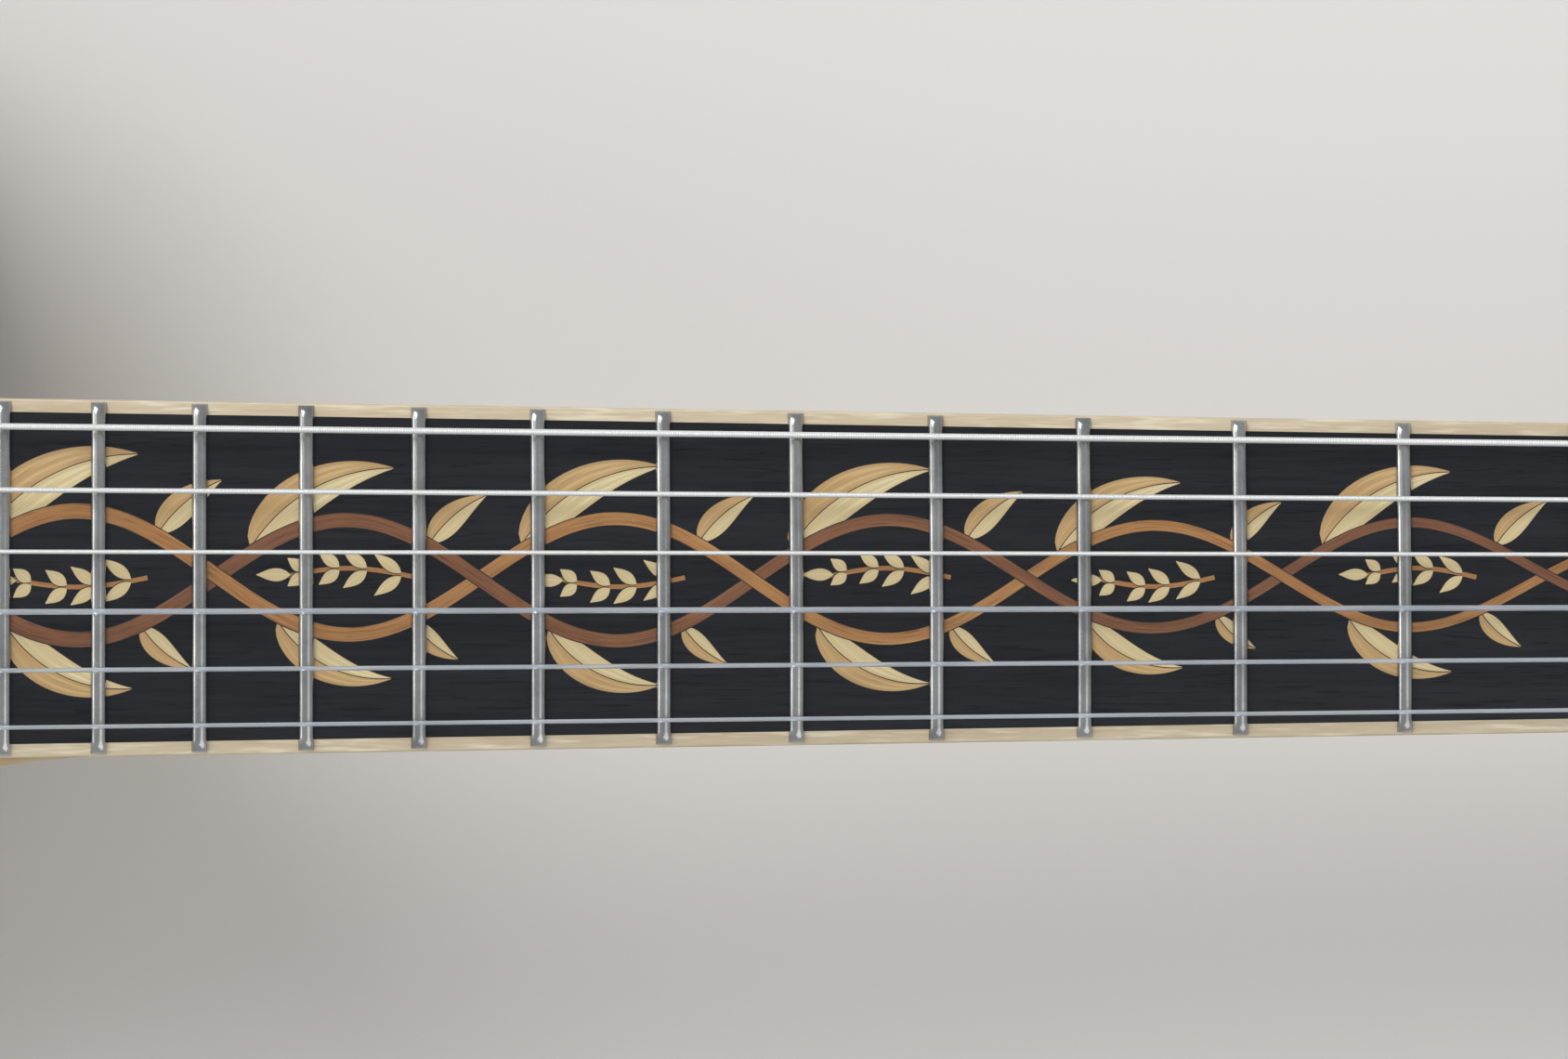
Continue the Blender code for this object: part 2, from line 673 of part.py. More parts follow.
def make_neck(guitar):
    """Loft the neck from the end of its tongue, over the heel, to the head's end."""
    rings = []
    tongue_end = BOARD_END + 0.004
    front = JOIN + GAP
    for share in (0.0, 0.35, 0.70, 1.0):
        x = tongue_end + (front - GAP / 3 - tongue_end) * share
        half = half_board(x) - 0.002
        floor = max(top_height(x, y) for y in (-half, -half / 2, 0.0, half / 2, half))
        depth = neck_top(x) - floor - EXTENSION_CLEARANCE
        rings.append([(x, y, neck_top(x) + z) for y, z in section(half, half, depth, 7.0, 0.92)])
    heel_depth = neck_top(JOIN) - BACK_RIM
    for t in (0.0, 0.06, 0.15, 0.26, 0.40, 0.57, 0.78, 1.0):
        x = front + HEEL_LENGTH * t
        base = NECK_DEPTH_HEEL
        depth = base + (heel_depth - base) * (1 - t) ** 3.0
        bulk = (depth - base) / (heel_depth - base)
        flare = HEEL_FLARE * max(0.0, 1 - (x - JOIN) / HEEL_FLARE_LENGTH) ** HEEL_FLARE_POWER
        roundness = NECK_ROUNDNESS + 1.2 * bulk
        foot = 1 - (1 - HEEL_FOOT) * bulk
        half = half_board(x)
        rings.append([(x, y, neck_top(x) + z) for y, z in section(half, half + flare, depth, roundness, foot)])
    shelf = (NECK_MATRIX @ Vector((NUT_BACK, 0.0, -BOARD_THICKNESS - GAP))).x
    heel_end = front + HEEL_LENGTH
    for share in (0.27, 0.62, 0.87, 1.0):
        x = heel_end + (shelf - heel_end) * share
        depth = NECK_DEPTH_HEEL + (NECK_DEPTH_NUT - NECK_DEPTH_HEEL) * share
        half = min(half_board(x), half_board(JOIN))
        rings.append([(x, y, neck_top(x) + z) for y, z in section(half, half, depth, NECK_ROUNDNESS, 1.0)])
    for u in (0.009, 0.016, 0.024, HEAD_SHOULDER, 0.060, 0.110, HEAD_LENGTH + HEAD_SPARE):
        half = head_half(u)
        blend = smooth_step(u / HEAD_SHOULDER)
        roundness = NECK_ROUNDNESS + 12.0 * blend
        depth = NECK_DEPTH_NUT + (HEAD_THICKNESS - NECK_DEPTH_NUT) * blend
        rings.append([HEAD_MATRIX @ Vector((u, y, z)) for y, z in section(half, half, depth, roundness, 1.0)])
    neck = solid("neck", *skin(rings), "maple", guitar, crease=40.0)
    combine(neck, head_end_cutter(guitar))
    tenon = tenon_box("tenon", guitar, 0.0, TENON_FOOT, TOP_RIM + 0.0035)
    combine(neck, tenon, "UNION")
    channel_start = JOIN + 0.020
    length = NUT_BACK + ROD_POCKET_LENGTH - channel_start
    channel = solid("rod_channel", *box(length, ROD_CHANNEL_WIDTH, ROD_CHANNEL_DEPTH + 0.010), None, guitar,
                    NECK_MATRIX @ Matrix.Translation((channel_start + length / 2, 0.0,
                                                      -BOARD_THICKNESS - ROD_CHANNEL_DEPTH / 2 + 0.005)))
    combine(neck, channel)
    pocket_length = ROD_POCKET_LENGTH - 0.004
    pocket = solid("rod_pocket", *box(pocket_length, ROD_POCKET_WIDTH, ROD_CHANNEL_DEPTH + 0.012), None, guitar,
                   NECK_MATRIX @ Matrix.Translation((NUT_BACK + 0.004 + pocket_length / 2, 0.0,
                                                     -BOARD_THICKNESS - ROD_CHANNEL_DEPTH / 2 + 0.0048)))
    combine(neck, pocket)
    for side, row in post_rows():
        for number, (u, v) in enumerate(row):
            tool = turned(((POST_RADIUS + GAP, -HEAD_THICKNESS - 0.004), (POST_RADIUS + GAP, 0.004)), 14)
            place = HEAD_MATRIX @ Matrix.Translation((u, v, 0.0))
            combine(neck, solid(f"{side}_post_hole_{number + 1}", *tool, None, guitar, place))
    rod_length = NUT_BACK + 0.020 - channel_start - 2 * GAP
    rod = skin([[(x, y, z) for y, z in circle(r, 12)] for x, r in (
        (0.0, ROD_RADIUS), (rod_length - ROD_NUT_LENGTH, ROD_RADIUS))])
    rod_place = NECK_MATRIX @ Matrix.Translation((channel_start + 2 * GAP, 0.0,
                                                  -BOARD_THICKNESS - ROD_CHANNEL_DEPTH + ROD_RADIUS + 0.0009))
    truss = solid("truss_rod", *rod, "steel", guitar, rod_place)
    hexagon = skin([[(x, y, z) for y, z in circle(ROD_NUT_RADIUS, 6)] for x in (
        rod_length - ROD_NUT_LENGTH - 0.0002, rod_length)])
    combine(truss, solid("rod_nut", *hexagon, None, guitar, rod_place), "UNION")
    return neck


def head_end_cutter(guitar):
    """Make the block that trims the head's end to its crowned outline."""
    outline = []
    for step in range(-5, 6):
        share = step / 4
        outline.append((HEAD_LENGTH - HEAD_CROWN * share ** 2, share * HEAD_WIDTH_END / 2))
    far = HEAD_LENGTH + 3 * HEAD_SPARE
    outline += [(far, outline[-1][1]), (far, outline[0][1])]
    return solid("head_end_cutter", *prism(outline, -HEAD_THICKNESS - HEAD_SPARE, HEAD_SPARE), None, guitar,
                 HEAD_MATRIX)


def box(length, width, height):
    """Give a plain block about its middle."""
    x = length / 2
    y = width / 2
    z = height / 2
    return skin([[(-x, -y, h), (x, -y, h), (x, y, h), (-x, y, h)] for h in (-z, z)])


def head_half(u):
    """Half the width of the headstock, which swells past the nut and then tapers."""
    start = half_board(SCALE_LENGTH)
    if u < HEAD_SHOULDER:
        return start + (HEAD_WIDTH_SHOULDER / 2 - start) * smooth_step(u / HEAD_SHOULDER)
    share = (u - HEAD_SHOULDER) / (HEAD_LENGTH - HEAD_SHOULDER)
    return (HEAD_WIDTH_SHOULDER + (HEAD_WIDTH_END - HEAD_WIDTH_SHOULDER) * share) / 2


def post_rows():
    """Give the posts' places on the headstock, bass side first."""
    rows = []
    for side, way in (("bass", 1), ("treble", -1)):
        row = []
        for i in range(3):
            u = POST_FIRST + i * POST_PITCH
            row.append((u, way * (head_half(u) - POST_INSET)))
        rows.append((side, row))
    return rows


def make_board(neck_frame):
    """Make the fingerboard with its slots, the edge binding, the frets and the nut."""
    places = [fret_place(n) for n in range(FRET_COUNT, 0, -1)]
    line = [(BOARD_END + EDGE_BINDING + GAP, 0)]
    slot_half = FRET_TANG / 2 + GAP
    for x in places:
        line += [(x - slot_half, 0), (x - slot_half, 1), (x + slot_half, 1), (x + slot_half, 0)]
    line.append((SCALE_LENGTH - GAP, 0))
    line += [(SCALE_LENGTH - GAP, 2), (BOARD_END + EDGE_BINDING + GAP, 2)]
    slot_depth = FRET_TANG_DEPTH + GAP
    rings = []
    for v in (-1.0, -0.36, 0.36, 1.0):
        ring = []
        for x, level in line:
            y = v * (half_board(x) - EDGE_BINDING - GAP)
            top = -drop(y)
            z = (top, top - slot_depth, -BOARD_THICKNESS)[level]
            ring.append((x, y, z))
        rings.append(ring)
    solid("fingerboard", *skin(rings), "ebony", neck_frame)
    make_edge_binding(neck_frame)
    for number in range(1, FRET_COUNT + 1):
        make_fret(number, neck_frame)
    make_nut(neck_frame)


def make_edge_binding(neck_frame):
    """Make the binding along both edges and across the end of the fingerboard."""
    nut_end = SCALE_LENGTH - GAP
    outer = [(nut_end, -half_board(nut_end)), (BOARD_END, -half_board(BOARD_END))]
    inner_x = BOARD_END + EDGE_BINDING
    inner = [(nut_end, -half_board(nut_end) + EDGE_BINDING), (inner_x, -half_board(inner_x) + EDGE_BINDING)]
    for share in (-0.36, 0.36):
        outer.append((BOARD_END, share * half_board(BOARD_END)))
        inner.append((inner_x, share * half_board(BOARD_END)))
    outer += [(outer[1][0], -outer[1][1]), (outer[0][0], -outer[0][1])]
    inner += [(inner[1][0], -inner[1][1]), (inner[0][0], -inner[0][1])]
    rings = []
    for a, b in zip(outer, inner):
        rings.append([(*a, -drop(a[1])), (*b, -drop(b[1])), (*b, -BOARD_THICKNESS), (*a, -BOARD_THICKNESS)])
    solid("fingerboard_binding", *skin(rings), "pale_maple", neck_frame, crease=30.0)


def make_fret(number, neck_frame):
    """Make one fret: a round crown with bevelled ends on a thin tang."""
    x = fret_place(number)
    reach = half_board(x) - FRET_INSET
    board = half_board(x) - EDGE_BINDING - GAP
    stations = []
    for y, crown, tang in ((reach, FRET_BEVEL_END, 0), (board + GAP / 2, FRET_HEIGHT, 0),
                           (board - GAP / 2, FRET_HEIGHT, 1), (board * 0.36, FRET_HEIGHT, 1)):
        stations.append((y, crown, tang))
    stations = [(-y, c, t) for y, c, t in stations] + stations[::-1]
    rings = []
    for y, crown, tang in stations:
        base = -drop(y) + GAP
        half = FRET_WIDTH / 2
        ring = [(-half, y, base)]
        for angle in (122, 58):
            turn = math.radians(angle)
            ring.append((half * math.cos(turn), y, base + (crown - GAP) * math.sin(turn)))
        foot = -drop(y) - FRET_TANG_DEPTH if tang else base
        grip = FRET_TANG / 2 if tang else FRET_TANG / 3
        ring += [(half, y, base), (FRET_TANG / 2, y, base), (grip, y, foot), (-grip, y, foot),
                 (-FRET_TANG / 2, y, base)]
        rings.append(ring)
    verts, faces = skin(rings)
    solid(f"fret_{number:02d}", verts, faces, "nickel_silver", neck_frame, Matrix.Translation((x, 0.0, 0.0)))


def string_place(number, spread):
    """Sideways place of a string in a spread, with wider gaps between the bass strings."""
    t = number / (len(STRING_NAMES) - 1)
    t = t + BASS_LEAN * t * (1 - t)
    return spread * (0.5 - t)


def make_nut(neck_frame):
    """Make the nut with one slot for each string, sloped back toward the head."""
    width = half_board(SCALE_LENGTH)
    slope = math.tan(HEAD_ANGLE) * NUT_THICKNESS
    edges = []
    for number in range(len(STRING_NAMES) - 1, -1, -1):
        radius = STRING_GAUGES[number] / 2
        y = string_place(number, NUT_SPREAD)
        floor = NUT_CLEARANCE - GAP - drop(y)
        crest = NUT_CLEARANCE + 2 * radius + NUT_RISE - drop(y)
        room = radius + GAP
        fan = string_fan(number) * NUT_THICKNESS
        for side, height in ((-1, crest), (-1, floor), (1, floor), (1, crest)):
            edges.append((y + side * room, height, fan))
    edge_height = NUT_CLEARANCE + NUT_RISE - drop(width) - 0.0006
    line = [(-width, edge_height, 0.0)] + edges + [(width, edge_height, 0.0)]
    front = [(0.0, y, z) for y, z, _ in line] + [(0.0, width, -BOARD_THICKNESS), (0.0, -width, -BOARD_THICKNESS)]
    back = [(NUT_THICKNESS, y + fan, z - slope) for y, z, fan in line]
    back += [(NUT_THICKNESS, width, -BOARD_THICKNESS), (NUT_THICKNESS, -width, -BOARD_THICKNESS)]
    solid("nut", *skin([front, back]), "bone", neck_frame, Matrix.Translation((SCALE_LENGTH, 0.0, 0.0)))


# Strings.

def post_of(number):
    """Give the post of a string: outer strings go to the posts nearest the nut."""
    rows = post_rows()
    if number < 3:
        return rows[0][1][number]
    return rows[1][1][5 - number]


def string_fan(number):
    """Sideways slope of a string between the nut and its post."""
    u, v = post_of(number)
    start = string_place(number, NUT_SPREAD)
    wrap = POST_RADIUS + GAP + STRING_GAUGES[number] / 2
    inner = abs(v) - wrap
    return (math.copysign(inner, v) - start) / u


def string_path(number):
    """Give the route of a string in the body frame, from the tailpiece to its post's hole."""
    radius = STRING_GAUGES[number] / 2
    anchor = tail_anchor(number)
    points = [anchor + Vector((-0.0075, 0.0, 0.0)), anchor]
    y = string_place(number, BRIDGE_SPREAD)
    crest = NECK_MATRIX @ Vector((0.0, y, SADDLE_CLEARANCE + radius - drop(y)))
    start = string_place(number, NUT_SPREAD)
    level = NUT_CLEARANCE + radius - drop(start)
    at_nut = NECK_MATRIX @ Vector((SCALE_LENGTH, start, level))
    before = (anchor - crest).normalized()
    after = (at_nut - crest).normalized()
    points.append(crest + before * 0.0022 - Vector((0.0, 0.0, 0.00005)))
    points.append(crest)
    points.append(crest + after * 0.0022 - Vector((0.0, 0.0, 0.00005)))
    points.append(at_nut - after * 0.0016)
    fan = string_fan(number)
    bend = math.tan(HEAD_ANGLE)
    points.append(NECK_MATRIX @ Vector((SCALE_LENGTH + 0.0010, start + fan * 0.001, level - 0.15 * bend * 0.001)))
    leave = NECK_MATRIX @ Vector((SCALE_LENGTH + NUT_THICKNESS, start + fan * NUT_THICKNESS,
                                  level - bend * (NUT_THICKNESS - 0.0006)))
    points.append(leave)
    return points + wrap_path(number, leave)


def wrap_path(number, leave):
    """Give the turns of a string round its post and the short run into the post's hole."""
    radius = STRING_GAUGES[number] / 2
    u, v = post_of(number)
    wrap = POST_RADIUS + GAP + radius
    way = 1 if v > 0 else -1
    outside = HEAD_MATRIX.inverted() @ leave
    to_post = Vector((u - outside.x, v - outside.y))
    reach = to_post.length
    heading = math.atan2(to_post.y, to_post.x) - way * math.asin(wrap / reach)
    angle = heading - way * math.pi / 2
    pitch = 2 * radius + WRAP_SPACING
    level = POST_HOLE_RISE - pitch * WRAP_TURNS
    steps = int(WRAP_TURNS * LOOP_POINTS)
    points = []
    for i in range(steps + 1):
        turn = angle + way * 2 * math.pi * i / LOOP_POINTS
        points.append(Vector((u + wrap * math.cos(turn), v + wrap * math.sin(turn),
                              level + pitch * i / LOOP_POINTS)))
    last = angle + way * 2 * math.pi * steps / LOOP_POINTS
    bend = radius + 0.00035
    shift = math.asin(bend / (wrap - bend))
    centre = Vector((u + (wrap - bend) * math.cos(last), v + (wrap - bend) * math.sin(last)))
    hole = last + way * shift
    total = math.pi / 2 + shift
    for i in range(1, 6):
        turn = last + way * total * i / 5
        points.append(Vector((centre.x + bend * math.cos(turn), centre.y + bend * math.sin(turn), POST_HOLE_RISE)))
    stub = Vector((u - 0.0022 * math.cos(hole), v - 0.0022 * math.sin(hole), POST_HOLE_RISE))
    points.append(stub)
    return [HEAD_MATRIX @ p for p in points]


def hole_direction(number):
    """Angle of the cross hole in a string's post."""
    leave = string_leave(number)
    radius = STRING_GAUGES[number] / 2
    u, v = post_of(number)
    wrap = POST_RADIUS + GAP + radius
    way = 1 if v > 0 else -1
    outside = HEAD_MATRIX.inverted() @ leave
    to_post = Vector((u - outside.x, v - outside.y))
    heading = math.atan2(to_post.y, to_post.x) - way * math.asin(wrap / to_post.length)
    steps = int(WRAP_TURNS * LOOP_POINTS)
    last = heading - way * math.pi / 2 + way * 2 * math.pi * steps / LOOP_POINTS
    bend = radius + 0.00035
    return last + way * math.asin(bend / (wrap - bend))


def string_leave(number):
    """Point where a string leaves the back of the nut, in the body frame."""
    radius = STRING_GAUGES[number] / 2
    start = string_place(number, NUT_SPREAD)
    level = NUT_CLEARANCE + radius - drop(start)
    return NECK_MATRIX @ Vector((SCALE_LENGTH + NUT_THICKNESS, start + string_fan(number) * NUT_THICKNESS,
                                 level - math.tan(HEAD_ANGLE) * (NUT_THICKNESS - 0.0006)))


def least_gap(points, radius):
    """Least distance between a tube's own turns, measured on its points."""
    spots = np.array([tuple(p) for p in points])
    along = np.concatenate(([0.0], np.cumsum(np.linalg.norm(np.diff(spots, axis=0), axis=1))))
    least = 1.0
    for i in range(len(spots)):
        far = np.abs(along - along[i]) > 8 * radius
        if far.any():
            gaps = np.linalg.norm(spots[far] - spots[i], axis=1) - 2 * radius
            least = min(least, float(gaps.min()))
    return least


def make_strings(guitar):
    """Make the six strings whole, from the tailpiece to the tuning posts."""
    least = 1.0
    for number, name in enumerate(STRING_NAMES):
        path = string_path(number)
        radius = STRING_GAUGES[number] / 2
        kind = "wound_string" if number < 3 else "nylon"
        tube(name, path, radius, kind, guitar)
        least = min(least, least_gap(path, radius))
    print("least gap between turns of a string: %.2f mm" % (least * 1000))


# Tuning machines.

def gear_rings():
    """Give the lower and upper outline of a worm wheel whose teeth slant with the thread."""
    rings = []
    low = GEAR_RADIUS - TOOTH_DEPTH / 2
    high = GEAR_RADIUS + TOOTH_DEPTH / 2
    step = 2 * math.pi / GEAR_TEETH
    for z in (-GEAR_THICKNESS / 2, GEAR_THICKNESS / 2):
        lean = z * math.tan(LEAD_ANGLE) / GEAR_RADIUS
        ring = []
        for i in range(GEAR_TEETH):
            middle = i * step + lean
            for share, radius in ((-0.30, low), (-0.11, high), (0.11, high), (0.30, low)):
                angle = middle + share * step
                ring.append((radius * math.cos(angle), radius * math.sin(angle), z))
        rings.append(ring)
    return rings


def worm_solid(count=10, start=0.0):
    """Make a worm about X whose points follow its thread, with its ends closed on the axis."""
    root = WORM_PITCH_RADIUS - TOOTH_DEPTH / 2 - 0.00005
    crest = WORM_PITCH_RADIUS + TOOTH_DEPTH / 2 - 0.00005
    profile = ((-THREAD_ROOT_HALF, root), (-THREAD_CREST_HALF, crest),
               (THREAD_CREST_HALF, crest), (THREAD_ROOT_HALF, root))
    rows = []
    for turn in range(WORM_TURNS + 1):
        for share, radius in profile:
            rows.append((turn + share, radius))
    last = len(rows) - 1
    verts = []
    for k, (place, radius) in enumerate(rows):
        for j in range(count):
            angle = 2 * math.pi * j / count + start
            x = (place + j / count) * WORM_LEAD
            fade = 1.0
            along = (k + 4 * j / count) / (last + 4)
            if along < 0.16 or along > 0.84:
                fade = max(0.0, min(along, 1 - along) / 0.16)
            r = root + (radius - root) * fade
            verts.append((x, r * math.cos(angle), r * math.sin(angle)))
    middle = (rows[last][0] + 1 + rows[0][0]) / 2 * WORM_LEAD
    faces = []
    for k in range(last):
        for j in range(count):
            a = k * count + j
            b = (k + 1) * count + j
            if j < count - 1:
                faces.append((a, a + 1, b + 1, b))
            elif k + 5 <= last:
                faces.append((a, (k + 4) * count, (k + 5) * count, b))
    low_rim = [j for j in range(count)] + [4 * count, 3 * count, 2 * count, count]
    top = last * count
    high_rim = [top + j for j in range(count)]
    seam = [(last - 4 + i) * count + count - 1 for i in range(5)]
    ends = []
    low_tip = len(verts)
    verts.append((rows[0][0] * WORM_LEAD - GAP, 0.0, 0.0))
    high_tip = len(verts)
    verts.append(((rows[last][0] + 1) * WORM_LEAD + GAP, 0.0, 0.0))
    for i in range(len(low_rim)):
        ends.append((low_tip, low_rim[i], low_rim[(i + 1) % len(low_rim)]))
    high_loop = high_rim[:-1] + seam[::-1]
    for i in range(len(high_loop)):
        ends.append((high_tip, high_loop[i], high_loop[(i + 1) % len(high_loop)]))
    verts = [(x - middle, y, z) for x, y, z in verts]
    return verts, faces + ends


def make_tuners(head_frame):
    """Make the posts with their wheels, the worms with their buttons and the two plates."""
    count = 0
    under = -HEAD_THICKNESS - GAP
    gear_level = under - TUNER_PLATE - GAP - WORM_PITCH_RADIUS - TOOTH_DEPTH / 2
    for side, row in post_rows():
        way = 1 if side == "bass" else -1
        for index, (u, v) in enumerate(row):
            number = index if way > 0 else 5 - index
            label = STRING_NAMES[number].replace("string_", "")
            post_place = Matrix.Translation((u, v, 0.0))
            post = turned(((POST_SHANK, gear_level - GEAR_THICKNESS / 2 - 0.0006), (POST_SHANK, -HEAD_THICKNESS - 0.0002),
                           (POST_RADIUS, -HEAD_THICKNESS + 0.0005), (POST_RADIUS, POST_RISE - 0.0010),
                           (POST_RADIUS - 0.0008, POST_RISE)), 10)
            piece = solid(f"tuner_post_{label}", *post, "gold", head_frame, post_place)
            wheel_place = post_place @ Matrix.Translation((0.0, 0.0, gear_level)) @ mesh_turn(way)
            wheel = solid(f"wheel_{label}", *skin(gear_rings()), None, head_frame, wheel_place)
            combine(piece, wheel, "UNION")
            bore = STRING_GAUGES[number] / 2 + 0.00035
            spin = Matrix.Rotation(hole_direction(number), 4, "Z") @ Matrix.Rotation(math.pi / 2, 4, "Y")
            drill = solid(f"string_hole_{label}", *turned(((bore, -0.006), (bore, 0.006)), 8), None, head_frame,
                          post_place @ Matrix.Translation((0.0, 0.0, POST_HOLE_RISE)) @ spin)
            combine(piece, drill)
            make_worm(label, u, v, way, gear_level, head_frame)
            count += 1
        make_tuner_plate(side, row, way, gear_level, head_frame)


def mesh_turn(way):
    """Turn of a wheel that sets its teeth between the threads: a worm turned end for end needs half a tooth."""
    return Matrix.Rotation(0.0 if way > 0 else math.pi / GEAR_TEETH, 4, "Z")


def worm_axis(u):
    """Place of a worm's axis along the head, beside its wheel."""
    return u + GEAR_OFFSET


def make_worm(label, u, v, way, level, head_frame):
    """Make one worm on its shaft, with the button at the outer end."""
    out = head_half(u) - abs(v) + BUTTON_STANDOFF
    axis = Matrix.Translation((worm_axis(u), v, level))
    turn = Matrix.Rotation(way * math.pi / 2, 4, "Z")
    place = axis @ turn
    shaft_in = -LUG_PLACE - LUG_THICKNESS - 0.0010
    shaft = skin([[(x, y, z) for y, z in circle(WORM_SHAFT, 8)] for x in (shaft_in, out + 0.001)])
    piece = solid(f"tuner_button_{label}", *shaft, "gold", head_frame, place)
    thread = solid(f"worm_{label}", *worm_solid(), None, head_frame, place)
    combine(piece, thread, "UNION")
    rings = []
    for share, spread in ((0.0, 0.36), (0.32, 0.84), (0.60, 1.0), (0.86, 0.80), (1.0, 0.45)):
        x = out + share * BUTTON_LENGTH
        ring = []
        for i in range(10):
            angle = 2 * math.pi * i / 10
            ring.append((x, BUTTON_HALF_HEIGHT * spread * math.cos(angle),
                         BUTTON_HALF_THICKNESS * (0.35 + 0.65 * spread) * math.sin(angle)))
        rings.append(ring)
    knob = solid(f"knob_{label}", *skin(rings), None, head_frame, place)
    combine(piece, knob, "UNION")
    return piece


def make_tuner_plate(side, row, way, level, head_frame):
    """Make a long plate under the head with two bent lugs at each worm."""
    under = -HEAD_THICKNESS - GAP
    first = row[0]
    last = row[-1]
    start = first[0] - 0.009
    end = worm_axis(last[0]) + 0.008
    slope = (last[1] - first[1]) / (last[0] - first[0])
    outline = []
    for x, edge in ((start, -1), (end, -1), (end, 1), (start, 1)):
        middle = first[1] + slope * (x - first[0])
        outline.append((x, middle + edge * TUNER_PLATE_WIDTH / 2))
    plate = solid(f"{side}_tuner_plate", *prism(outline, under - TUNER_PLATE, under), "gold", head_frame)
    for index, (u, v) in enumerate(row):
        x = worm_axis(u)
        for word, inner in (("inner", -LUG_PLACE - LUG_THICKNESS), ("outer", LUG_PLACE)):
            profile = [(-0.0034, under - TUNER_PLATE / 2), (0.0034, under - TUNER_PLATE / 2)]
            for step in range(5):
                angle = -math.pi * step / 4
                profile.append((0.0034 * math.cos(angle), level + 0.0034 * math.sin(angle)))
            rings = []
            for across in (inner, inner + LUG_THICKNESS):
                rings.append([(x + a, v + way * across, b) for a, b in profile])
            lug = solid(f"{side}_lug_{index}_{word}", *skin(rings), None, head_frame)
            combine(plate, lug, "UNION")
        bore = turned(((POST_SHANK + GAP, under - 0.006), (POST_SHANK + GAP, under + 0.004)), 8)
        combine(plate, solid(f"{side}_plate_hole_{index}", *bore, None, head_frame,
                             Matrix.Translation((u, v, 0.0))))
        reach = LUG_PLACE + LUG_THICKNESS + 0.002
        shaft = skin([[(a, y, z) for y, z in circle(WORM_SHAFT + GAP, 8)] for a in (-reach, reach)])
        combine(plate, solid(f"{side}_shaft_hole_{index}", *shaft, None, head_frame,
                             Matrix.Translation((x, v, level)) @ Matrix.Rotation(math.pi / 2, 4, "Z")))
    return plate


# Bridge.

def make_bridge(guitar):
    """Make the base on its studs, the two thumbwheels and the saddle that rides on them."""
    base_top = CROWN + BASE_HEIGHT
    rings = []
    stations = 14
    for i in range(stations + 1):
        y = -BASE_LENGTH / 2 + BASE_LENGTH * i / stations
        share = abs(2 * y / BASE_LENGTH)
        half = BASE_WIDTH / 2 * (1 - 0.25 * share ** 3)
        edge = min(1.0, (1 - share) / 0.40)
        low = [top_height(x, y) + GAP for x in (-half, 0.0, half)]
        high = min(base_top, low[1] + BASE_TOE_HEIGHT + (base_top - low[1] - BASE_TOE_HEIGHT) * smooth_step(edge))
        rings.append([(-half, y, low[0]), (0.0, y, low[1]), (half, y, low[2]),
                      (half * 0.80, y, high), (-half * 0.80, y, high)])
    base = solid("bridge_base", *skin(rings), "ebony", guitar, crease=40.0)
    wheel_low = base_top + LIFT_DOWN + GAP
    saddle_low = wheel_low + WHEEL_THICKNESS + GAP
    stud_top = saddle_low + 0.0065
    for side, name in ((1, "bass"), (-1, "treble")):
        y = side * STUD_SPACING / 2
        stud = solid(f"{name}_stud", *turned(((STUD_RADIUS, base_top - 0.004), (STUD_RADIUS, stud_top)), 12),
                     None, guitar, Matrix.Translation((0.0, y, 0.0)))
        combine(base, stud, "UNION")
        outline = []
        for i in range(WHEEL_KNURLS * 2):
            radius = WHEEL_RADIUS if i % 2 else WHEEL_RADIUS - 0.0005
            angle = math.pi * i / WHEEL_KNURLS
            outline.append((radius * math.cos(angle), radius * math.sin(angle)))
        place = Matrix.Translation((0.0, y, wheel_low))
        wheel = solid(f"{name}_thumbwheel", *prism(outline, 0.0, WHEEL_THICKNESS), "gold", guitar, place)
        hole = turned(((STUD_RADIUS + GAP, -0.001), (STUD_RADIUS + GAP, WHEEL_THICKNESS + 0.001)), 12)
        combine(wheel, solid(f"{name}_wheel_bore", *hole, None, guitar, place))
    saddle = make_saddle(guitar, saddle_low)
    for side, name in ((1, "bass"), (-1, "treble")):
        hole = turned(((STUD_RADIUS + GAP, saddle_low - 0.002), (STUD_RADIUS + GAP, stud_top + LIFT_DOWN + GAP)), 12)
        combine(saddle, solid(f"{name}_saddle_bore", *hole, None, guitar,
                              Matrix.Translation((0.0, side * STUD_SPACING / 2, 0.0))))


def saddle_crest(y):
    """Height of the saddle's crest under the strings, in the body frame."""
    point = NECK_MATRIX @ Vector((0.0, y, SADDLE_CLEARANCE - drop(y) - GAP))
    return point.z


def make_saddle(guitar, low):
    """Make the saddle as a bar whose crest follows the strings and falls away at its ends."""
    rings = []
    stations = 12
    strings = BRIDGE_SPREAD / 2
    for i in range(stations + 1):
        y = -SADDLE_LENGTH / 2 + SADDLE_LENGTH * i / stations
        past = max(0.0, abs(y) - strings - 0.003) / (SADDLE_LENGTH / 2 - strings - 0.003)
        crest = saddle_crest(min(strings, abs(y))) - 0.0052 * smooth_step(past) - 0.00002
        half = SADDLE_WIDTH / 2
        tip = SADDLE_CREST / 2
        end = abs(y) > SADDLE_LENGTH / 2 - 1e-6
        foot = low + (0.0016 if end else 0.0)
        rings.append([(-half, y, foot), (half, y, foot), (half, y, low + 0.0075 - 0.0015 * past),
                      (tip, y, crest - 0.0006), (0.0, y, crest), (-tip, y, crest - 0.0006),
                      (-half, y, low + 0.0075 - 0.0015 * past)])
    return solid("bridge_saddle", *skin(rings), "ebony", guitar, crease=30.0)


# Tailpiece.

def tail_back():
    """Place of the tailpiece's back end."""
    return TAIL + TAIL_BACK_MARGIN


